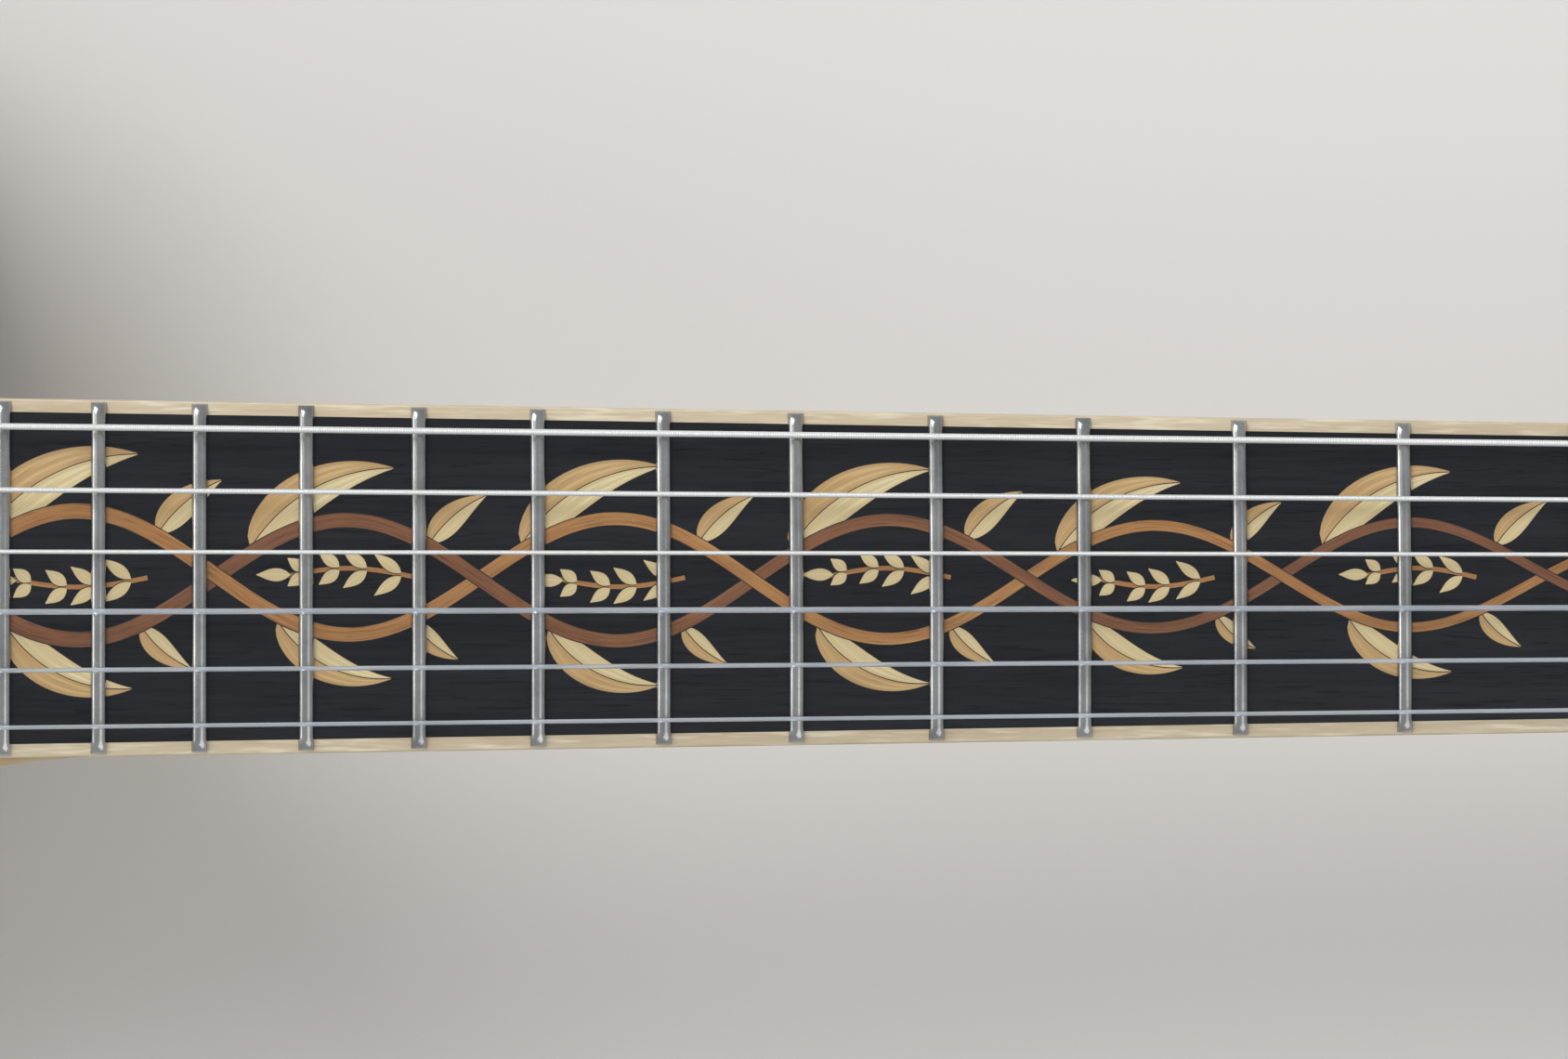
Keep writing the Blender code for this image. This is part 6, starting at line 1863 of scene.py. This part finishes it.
    def worm(self, label: str, u: float, v: float, way: int) -> None:
        """Cuts one worm: a right-hand thread that fades in and out on its shaft."""
        root = self.worm_radius - self.tooth_depth / 2 - 0.00005
        crest = self.worm_radius + self.tooth_depth / 2 - 0.00005
        sides, reach = 32, 1.785
        rings = []
        for step in range(101):
            x = (step / 50 - 1) * reach
            fade = min(1.0, (1 - abs(x) / reach) / 0.32)
            ring = []
            for j in range(sides):
                thread = x + 1.5 - j / sides
                away = abs(thread - min(2, max(0, round(thread))))
                height = 1 - min(1.0, max(0.0, (away - 0.100) / 0.185))
                radius = root + (crest - root) * height * fade
                angle = 2 * math.pi * j / sides
                ring.append((x * self.lead, radius * math.cos(angle), radius * math.sin(angle)))
            rings.append(ring)
        place = self.axle(u, v, way)
        out = self.head_half(u) - abs(v) + self.standoff
        inner = self.lug_place + self.lug
        r = self.shaft
        profile = [(0.0, -inner - 0.0011), (0.0017, -inner - 0.0011), (0.0021, -inner - 0.0008), (0.0021, -inner - 0.0002),
                   (r, -inner - 0.0002), (r, inner + 0.0002), (0.0022, inner + 0.0002), (0.0024, inner + 0.0005),
                   (0.0022, inner + 0.0010), (r, inner + 0.0012), (r, out - 0.0022), (0.0022, out - 0.0018),
                   (0.0028, out - 0.0006), (0.0028, out + 0.0004), (0.0, out + 0.0008)]
        rod = Bench.turned(profile, place @ Matrix.Rotation(math.pi / 2, 4, "Y"), 24)
        Bench.publish(Bench.together([Bench.loft(placed(place, rings)), rod]), f"worm_shaft_{label}",
                      self.finishes.of("gold"), f"button_{label}", [f"tuner_button_{label}"], "gold_plate")

    def button(self, label: str, u: float, v: float, way: int) -> None:
        """Shapes one oval button."""
        out = self.head_half(u) - abs(v) + self.standoff
        table = [Vector(pair) for pair in ((0.0, 0.36), (0.32, 0.84), (0.60, 1.0), (0.86, 0.80), (1.0, 0.45))]
        rings = []
        line = flowing(table, 5)
        for i, (share, spread) in enumerate(line):
            trim = 0.85 if i == len(line) - 1 else 1.0
            x = out + share * self.button_length
            thick = self.button_thickness * (0.35 + 0.65 * spread) * trim
            rings.append([(x, self.button_height * spread * trim * c, thick * math.copysign(abs(s) ** 0.9, s))
                          for c, s in circle(1.0, 32)])
        Bench.publish(Bench.loft(placed(self.axle(u, v, way), rings)), f"oval_button_{label}",
                      self.finishes.of("polished"), f"button_{label}", [f"tuner_button_{label}"], "ebony", 50.0)

    def base_plate(self, side: int) -> None:
        """Makes one long plate with two bent lugs at each worm and its screws."""
        under = -self.head_thickness - LAY.gap
        numbers = (0, 1, 2) if side > 0 else (5, 4, 3)
        row = [self.post(number) for number in numbers]
        start, end = row[0][0] - 0.009, row[2][0] + self.gear_radius + self.worm_radius + 0.008
        slope = (row[2][1] - row[0][1]) / (row[2][0] - row[0][0])
        half = self.plate_width / 2
        outline = []
        for centre, first in (((start, -1), 180), ((end, -1), 270), ((end, 1), 0), ((start, 1), 90)):
            x, edge = centre
            round_ = 0.0024
            middle = row[0][1] + slope * (x - row[0][0]) + edge * (half - round_)
            x += round_ if x == start else -round_
            for step in range(7):
                angle = math.radians(first + 15 * step)
                outline.append((x + round_ * math.cos(angle), middle + round_ * math.sin(angle)))
        works = [Bench.block(outline, under - self.plate, under, LAY.head, 0.00025, 2)]
        for u, v in row:
            x = u + self.gear_radius + self.worm_radius
            profile = [(-0.0034, under - self.plate / 2)]
            for step in range(17):
                angle = -math.pi * (1 - step / 16)
                profile.append((0.0034 * math.cos(angle), self.level + 0.0034 * math.sin(angle)))
            profile.append((0.0034, under - self.plate / 2))
            for inner in (-self.lug_place - self.lug, self.lug_place):
                centre = v + side * (inner + self.lug / 2)
                place = LAY.head @ Matrix.Translation((x, centre, 0.0)) @ Matrix.Rotation(math.pi / 2, 4, "X")
                works.append(Bench.block(profile, -self.lug / 2, self.lug / 2, place, 0.0003, 2))
        screws = []
        for u, v in ((start + 0.0032, 0.0), ((row[0][0] + row[1][0]) / 2 + 0.008, -0.0036),
                     ((row[1][0] + row[2][0]) / 2 + 0.008, -0.0036), (end - 0.0030, 0.0042)):
            across = row[0][1] + slope * (u - row[0][0]) + v * side
            place = LAY.head @ Matrix.Translation((u, across, under - self.plate)) @ Matrix.Rotation(math.pi, 4, "X")
            screws.append(Bench.screw(place @ Matrix.Rotation(u * 900, 4, "Z"), 0.0017))
        word = "bass" if side > 0 else "treble"
        Bench.publish(Bench.together(works), f"{word}_machine_plate", self.finishes.of("gold"), "guitar_body",
                      [f"{word}_tuner_plate"], "gold_plate")
        Bench.publish(Bench.together(screws), f"{word}_machine_screws", self.finishes.of("gold"), "guitar_body", (),
                      "gold_plate")

    def bushings(self) -> None:
        """Presses a bushing into the head's face round every post."""
        works = []
        for number in range(len(LAY.strings)):
            place = LAY.head @ Matrix.Translation((*self.post(number), 0.0))
            profile = [(0.00335, -0.001), (0.0052, -0.001), (0.0052, 0.0005), (0.0049, 0.0008), (0.0040, 0.0011),
                       (0.00355, 0.0011), (0.00335, 0.0009), (0.00335, -0.001)]
            works.append(Bench.turned(profile, place, 36))
        Bench.publish(Bench.together(works), "post_bushings", self.finishes.of("gold"), "guitar_body", (),
                      "gold_plate")


@dataclass
class Bridge:
    """The ebony base on the top, its threaded studs and wheels and the saddle that they carry."""

    finishes: Finishes
    base_length: float = 0.154
    base_width: float = 0.013
    base_height: float = 0.0085
    toe: float = 0.0035
    spacing: float = 0.078
    stud: float = 0.002
    wheel_radius: float = 0.0068
    wheel_thickness: float = 0.003
    knurls: int = 40
    lift_down: float = 0.0015
    pitch: float = 0.0007
    saddle_length: float = 0.098
    saddle_width: float = 0.0095
    saddle_tip: float = 0.003

    @property
    def base_top(self) -> float:
        """The height of the base's level top."""
        return LAY.crown + self.base_height

    @property
    def wheel_low(self) -> float:
        """The height of the wheels' undersides."""
        return self.base_top + self.lift_down + LAY.gap

    @property
    def saddle_low(self) -> float:
        """The height of the saddle's underside."""
        return self.wheel_low + self.wheel_thickness + LAY.gap

    def build(self) -> None:
        """Makes every piece of the bridge."""
        self.base()
        self.studs()
        self.wheels()
        self.saddle()

    def base(self) -> None:
        """Carves the base to the arch of the top."""
        box = SoundBox(self.finishes)
        rings = []
        for step in range(65):
            y = (step / 64 - 0.5) * self.base_length
            share = abs(2 * y / self.base_length)
            half = self.base_width / 2 * (1 - 0.25 * share ** 3)
            low = [box.level(x, y) + 0.00005 for x in (-half, -half / 2, 0.0, half / 2, half)]
            edge = ease(min(1.0, (1 - share) / 0.40))
            high = min(self.base_top, low[2] + self.toe + (self.base_top - low[2] - self.toe) * edge)
            ring = [(x, y, z) for x, z in zip((-half, -half / 2, 0.0, half / 2, half), low)]
            rise = high - low[4]
            for reach, share_up in ((1.0, 0.30), (0.95, 0.62), (0.88, 0.86), (0.80, 0.97), (0.70, 1.0)):
                ring.append((half * reach, y, low[4] + rise * share_up))
            ring += [(-x, y, z) for x, _, z in reversed(ring[5:])]
            rings.append(ring)
        Bench.publish(Bench.loft(placed(LAY.body, rings)), "carved_base", self.finishes.of("cross_ebony"),
                      "guitar_body", ["bridge_base"], "ebony", 50.0)

    def studs(self) -> None:
        """Cuts the two threaded studs."""
        works = []
        top = self.saddle_low + 0.0065
        turns = int((top - self.base_top + 0.003) / self.pitch)
        for side in (1, -1):
            profile = [(0.0, self.base_top - 0.004), (self.stud, self.base_top - 0.004)]
            for turn in range(turns):
                z = self.base_top - 0.003 + turn * self.pitch
                profile += [(self.stud - 0.0003, z), (self.stud, z + self.pitch / 2)]
            profile += [(self.stud - 0.0004, top), (0.0, top)]
            works.append(Bench.turned(profile, LAY.body @ Matrix.Translation((0.0, side * self.spacing / 2, 0.0)), 20))
        Bench.publish(Bench.together(works), "bridge_studs", self.finishes.of("gold"), "guitar_body",
                      ["bridge_base"], "gold_plate")

    def wheels(self) -> None:
        """Cuts the two knurled wheels."""
        for side, word in ((1, "bass"), (-1, "treble")):
            rings = []
            for height, trim in ((0.0, 0.0006), (0.0004, 0.0), (self.wheel_thickness - 0.0004, 0.0),
                                 (self.wheel_thickness, 0.0006)):
                ring = []
                for step in range(self.knurls * 4):
                    radius = self.wheel_radius - trim - 0.00028 * (0.5 + 0.5 * math.cos(math.pi * step / 2))
                    angle = 2 * math.pi * step / (self.knurls * 4)
                    ring.append((radius * math.cos(angle), radius * math.sin(angle), height))
                rings.append(ring)
            place = LAY.body @ Matrix.Translation((0.0, side * self.spacing / 2, self.wheel_low))
            bore = Bench.block(circle(self.stud + 0.0001, 32), -0.002, 0.006, place)
            work = Bench.carve(Bench.loft(placed(place, rings)), bore)
            Bench.publish(work, f"{word}_knurled_wheel", self.finishes.of("gold"), f"{word}_wheel",
                          [f"{word}_thumbwheel"], "gold_plate", 30.0)

    def crest(self, y: float) -> float:
        """The height of the saddle's crest in the body's place."""
        point = LAY.body.inverted() @ LAY.neck @ Vector((0.0, y, LAY.saddle_clearance - LAY.drop(y)))
        return point.z

    def saddle(self) -> None:
        """Carves the saddle, its crest falling away past the strings, with a fine notch for each."""
        strings = LAY.bridge_spread / 2
        notches = [(LAY.string(number, LAY.bridge_spread), LAY.gauges[number] / 2) for number in range(6)]
        stops = {(step / 56 - 0.5) * self.saddle_length for step in range(57)}
        for y, radius in notches:
            stops = {stop for stop in stops if abs(stop - y) > 1.8 * radius}
            stops |= {y + radius * share for share in (-1.5, -1.0, -0.8, -0.45, 0.0, 0.45, 0.8, 1.0, 1.5)}
        rings = []
        low = self.saddle_low
        for y in sorted(stops):
            past = max(0.0, abs(y) - strings - 0.003) / (self.saddle_length / 2 - strings - 0.003)
            top = self.crest(min(strings, abs(y))) - 0.0052 * ease(past) + 0.00022
            for place, radius in notches:
                if abs(y - place) < radius:
                    top = min(top, self.crest(place) + radius - math.sqrt(radius ** 2 - (y - place) ** 2))
            end = max(0.0, abs(y) / (self.saddle_length / 2) - 0.94) / 0.06
            half, tip = self.saddle_width / 2 * (1 - 0.25 * end * end), self.saddle_tip / 2
            foot = low + 0.0016 * end
            shoulder = low + 0.0075 - 0.0015 * past
            ring = [(-half + 0.0004, y, foot), (half - 0.0004, y, foot), (half, y, foot + 0.0004), (half, y, shoulder - 0.0006),
                    (half - 0.0005, y, shoulder), (tip + 0.0004, y, top - 0.0014), (tip - 0.0002, y, top - 0.0004),
                    (0.0, y, top), (-tip + 0.0002, y, top - 0.0004), (-tip - 0.0004, y, top - 0.0014),
                    (-half + 0.0005, y, shoulder), (-half, y, shoulder - 0.0006), (-half, y, foot + 0.0004)]
            rings.append(ring)
        work = Bench.loft(placed(LAY.body, rings))
        holes = []
        for side in (1, -1):
            place = LAY.body @ Matrix.Translation((0.0, side * self.spacing / 2, 0.0))
            holes.append(Bench.block(circle(self.stud + LAY.gap, 32), low - 0.002, low + 0.0065 + 0.0018, place))
        Bench.publish(Bench.carve(work, Bench.together(holes)), "carved_saddle", self.finishes.of("cross_ebony"),
                      "saddle", ["bridge_saddle"], "ebony", 40.0)


@dataclass
class Tail:
    """The ebony tailpiece, the braided cord that ties it and the end pin."""

    finishes: Finishes
    front: float = -0.096
    front_width: float = 0.086
    waist_width: float = 0.036
    back_width: float = 0.040
    thickness: float = 0.009
    margin: float = 0.022
    bow: float = 0.0026
    cord_radius: float = 0.0014
    pin_height: float = 0.036

    @property
    def back(self) -> float:
        """Where the tailpiece ends."""
        return LAY.tail + self.margin

    def level(self, x: float) -> float:
        """The height of the tailpiece's middle plane."""
        front, back = LAY.crown + 0.0105, LAY.top_rim + 0.0125
        share = (self.front - x) / (self.front - self.back)
        return front + (back - front) * share + self.bow * 4 * share * (1 - share)

    def build(self) -> None:
        """Makes every piece of the tail."""
        self.tailpiece()
        self.ferrules()
        self.cord()
        self.pin()

    def tailpiece(self) -> None:
        """Carves the tailpiece with its waist and crowned top."""
        section = [Vector(pair) for pair in ((-1.0, -0.30), (-0.93, -0.5), (0.93, -0.5), (1.0, -0.30), (1.0, 0.1),
                                             (0.80, 0.38), (0.40, 0.5), (-0.40, 0.5), (-0.80, 0.38), (-1.0, 0.1))]
        crown = [(spot.x, spot.y) for spot in flowing(section[3:], 4)]
        rounded = ((0.0, 0.0012), (0.0002, 0.0006), (0.0006, 0.0002), (0.0012, 0.0))
        stations = [(0.0, -shift, trim) for shift, trim in rounded] + [(step / 60, 0.0, 0.0) for step in range(1, 60)]
        stations += [(1.0, shift, trim) for shift, trim in reversed(rounded)]
        rings = []
        for t, shift, trim in stations:
            x = self.front + (self.back - self.front) * t + shift
            if t < 0.6:
                half = self.front_width + (self.waist_width - self.front_width) * ease(t / 0.6)
            else:
                half = self.waist_width + (self.back_width - self.waist_width) * ease((t - 0.6) / 0.4)
            half = half / 2 - trim
            thick = self.thickness * (1.0 - 0.25 * t) - 2 * trim
            ring = [(x, -0.93 * half, self.level(x) - 0.5 * thick), (x, 0.93 * half, self.level(x) - 0.5 * thick)]
            ring += [(x, share * half, self.level(x) + height * thick) for share, height in crown]
            rings.append(ring)
        Bench.publish(Bench.loft(placed(LAY.body, rings)), "carved_tailpiece", self.finishes.of("polished"),
                      "guitar_body", ["tailpiece"], "ebony", 40.0)

    def ferrules(self) -> None:
        """Presses a gold ferrule into the tailpiece's front face for every string."""
        works = []
        for number, gauge in enumerate(LAY.gauges):
            spot = Vector((self.front, LAY.string(number, LAY.bridge_spread * 0.96), self.level(self.front)))
            place = LAY.body @ Matrix.Translation(spot) @ Matrix.Rotation(math.pi / 2, 4, "Y")
            inner = gauge / 2 + 0.0001
            profile = [(inner, -0.002), (0.0018, -0.002), (0.0018, 0.0002), (0.0016, 0.0005), (inner + 0.0004, 0.0006),
                       (inner, 0.0004), (inner, -0.002)]
            works.append(Bench.turned(profile, place, 24))
        Bench.publish(Bench.together(works), "string_ferrules", self.finishes.of("gold"), "guitar_body", (),
                      "gold_plate")

    def cord(self) -> None:
        """Braids the cord from the tailpiece over the edge, round the pin and back."""
        line = flowing(centreline("tail_cord", -1), 4, 0.09)
        Bench.publish(hose(line, self.cord_radius, 18), "braided_cord", self.finishes.of("cord"), "guitar_body",
                      ["tail_cord"], "cord", 60.0)

    def pin(self) -> None:
        """Turns the end pin."""
        head, neck = 0.0078, 0.0078 * 0.62
        profile = [(0.0, -0.018), (0.0034, -0.018), (0.0040, -0.016), (0.0040, 0.0), (neck, 0.0), (neck, 0.0004),
                   (neck - 0.0002, 0.0022), (neck + 0.0002, 0.0040), (head - 0.0008, 0.0050), (head, 0.0058),
                   (head, 0.0078), (head - 0.0006, 0.0090), (head * 0.72, 0.0102), (head * 0.40, 0.0104),
                   (head * 0.36, 0.0100), (0.0, 0.0100)]
        out = LAY.tail + 0.003 - LAY.gap
        place = LAY.body @ Matrix.Translation((out, 0.0, self.pin_height)) @ Matrix.Rotation(-math.pi / 2, 4, "Y")
        Bench.publish(Bench.turned(profile, place, 40), "turned_end_pin", self.finishes.of("polished"), "guitar_body",
                      ["end_pin"], "ebony", 30.0)


@dataclass
class Studio:
    """The floor, the soft light and the camera over the fingerboard."""

    floor_gap: float = 0.0005
    lens: float = 150.0
    eye: tuple[float, float, float] = (0.3052, -0.0368, 1.1235)
    tilt: tuple[float, float, float] = (2.306, -5.188, -0.189)

    def build(self) -> None:
        """Sets the whole studio."""
        self.floor()
        self.light()
        self.camera()

    def floor(self) -> None:
        """Lays the pale floor just under the instrument."""
        work = bmesh.new()
        bmesh.ops.create_grid(work, x_segments=4, y_segments=4, size=6.0)
        bmesh.ops.translate(work, verts=work.verts, vec=(0.0, 0.0, CAD_BOX[0][2] - self.floor_gap))
        shader = Shader("pale_floor")
        haze = shader.noise(shader.place(), 2.0)
        tone = shader.mix(haze, linear(222, 221, 218), linear(215, 214, 211))
        mesh = bpy.data.meshes.new("floor")
        work.to_mesh(mesh)
        work.free()
        mesh.materials.append(shader.finish({"Base Color": tone, "Roughness": 0.8}))
        piece = bpy.data.objects.new("floor", mesh)
        bpy.context.scene.collection.objects.link(piece)

    def lamp(self, name: str, place: tuple[float, float, float], size: float, watts: float) -> None:
        """Hangs one soft lamp that faces the instrument.

        Args:
            name: the lamp's name.
            place: where it hangs.
            size: the side of its square.
            watts: its strength.
        """
        data = bpy.data.lights.new(name, "AREA")
        data.size, data.energy = size, watts
        piece = bpy.data.objects.new(name, data)
        bpy.context.scene.collection.objects.link(piece)
        piece.location = place
        piece.rotation_euler = (-Vector(place)).to_track_quat("-Z", "Y").to_euler()

    def light(self) -> None:
        """Hangs the lamps and sets the even light of the world."""
        self.lamp("key", (-2.9, 3.04, 4.1), 3.0, 232.0)
        self.lamp("window", (-4.5, 0.64, 2.2), 2.0, 32.0)
        self.lamp("fill", (2.7, -2.56, 3.9), 4.8, 76.0)
        world = bpy.data.worlds.new("studio")
        world.use_nodes = True
        backdrop = world.node_tree.nodes["Background"]
        backdrop.inputs["Color"].default_value = (0.93, 0.96, 1.0, 1.0)
        backdrop.inputs["Strength"].default_value = 0.48
        bpy.context.scene.world = world
        bpy.context.scene.view_settings.view_transform = "Standard"

    def camera(self) -> None:
        """Sets the camera at its place over the board."""
        data = bpy.data.cameras.new("camera")
        data.lens, data.sensor_width = self.lens, 36.0
        data.clip_start, data.clip_end = 0.01, 50.0
        piece = bpy.data.objects.new("camera", data)
        bpy.context.scene.collection.objects.link(piece)
        turn = Euler([math.radians(angle) for angle in self.tilt], "XYZ").to_matrix().to_4x4()
        piece.matrix_world = LAY.neck @ Matrix.Translation(self.eye) @ turn
        bpy.context.scene.camera = piece


@dataclass
class Plainware:
    """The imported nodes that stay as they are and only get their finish."""

    finishes: Finishes
    worn: tuple[tuple[str, str], ...] = (
        ("x_brace", "bare"), ("neck_block", "bare"), ("tail_block", "bare"), ("truss_rod", "steel"),
        ("top_plate", "bare"), ("back_plate", "neck_wood"), ("ribs", "neck_wood"), ("neck", "neck_wood"),
        ("top_binding", "edging"), ("back_binding", "edging"), ("bridge_base", "cross_ebony"),
        ("bridge_saddle", "cross_ebony"), ("tailpiece", "ebony"), ("end_pin", "ebony"), ("tail_cord", "cord"))

    def build(self) -> None:
        """Dresses each node by its name, gold where no other finish is named."""
        worn = dict(self.worn)
        for name, piece in frame["nodes"].items():
            piece.data.materials.clear()
            piece.data.materials.append(self.finishes.of(worn.get(name, "gold")))
            log.info("%s wears %s", name, worn.get(name, "gold"))


PARTS = (SoundBox, Neck, Fingerboard, Vine, Strings, Tuners, Bridge, Tail)


def main() -> None:
    """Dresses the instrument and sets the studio."""
    logging.basicConfig(level=logging.INFO, format="%(message)s")
    finishes = Finishes()
    Plainware(finishes).build()
    for part in PARTS:
        part(finishes).build()
    Studio().build()


if __name__ == "__main__":
    main()
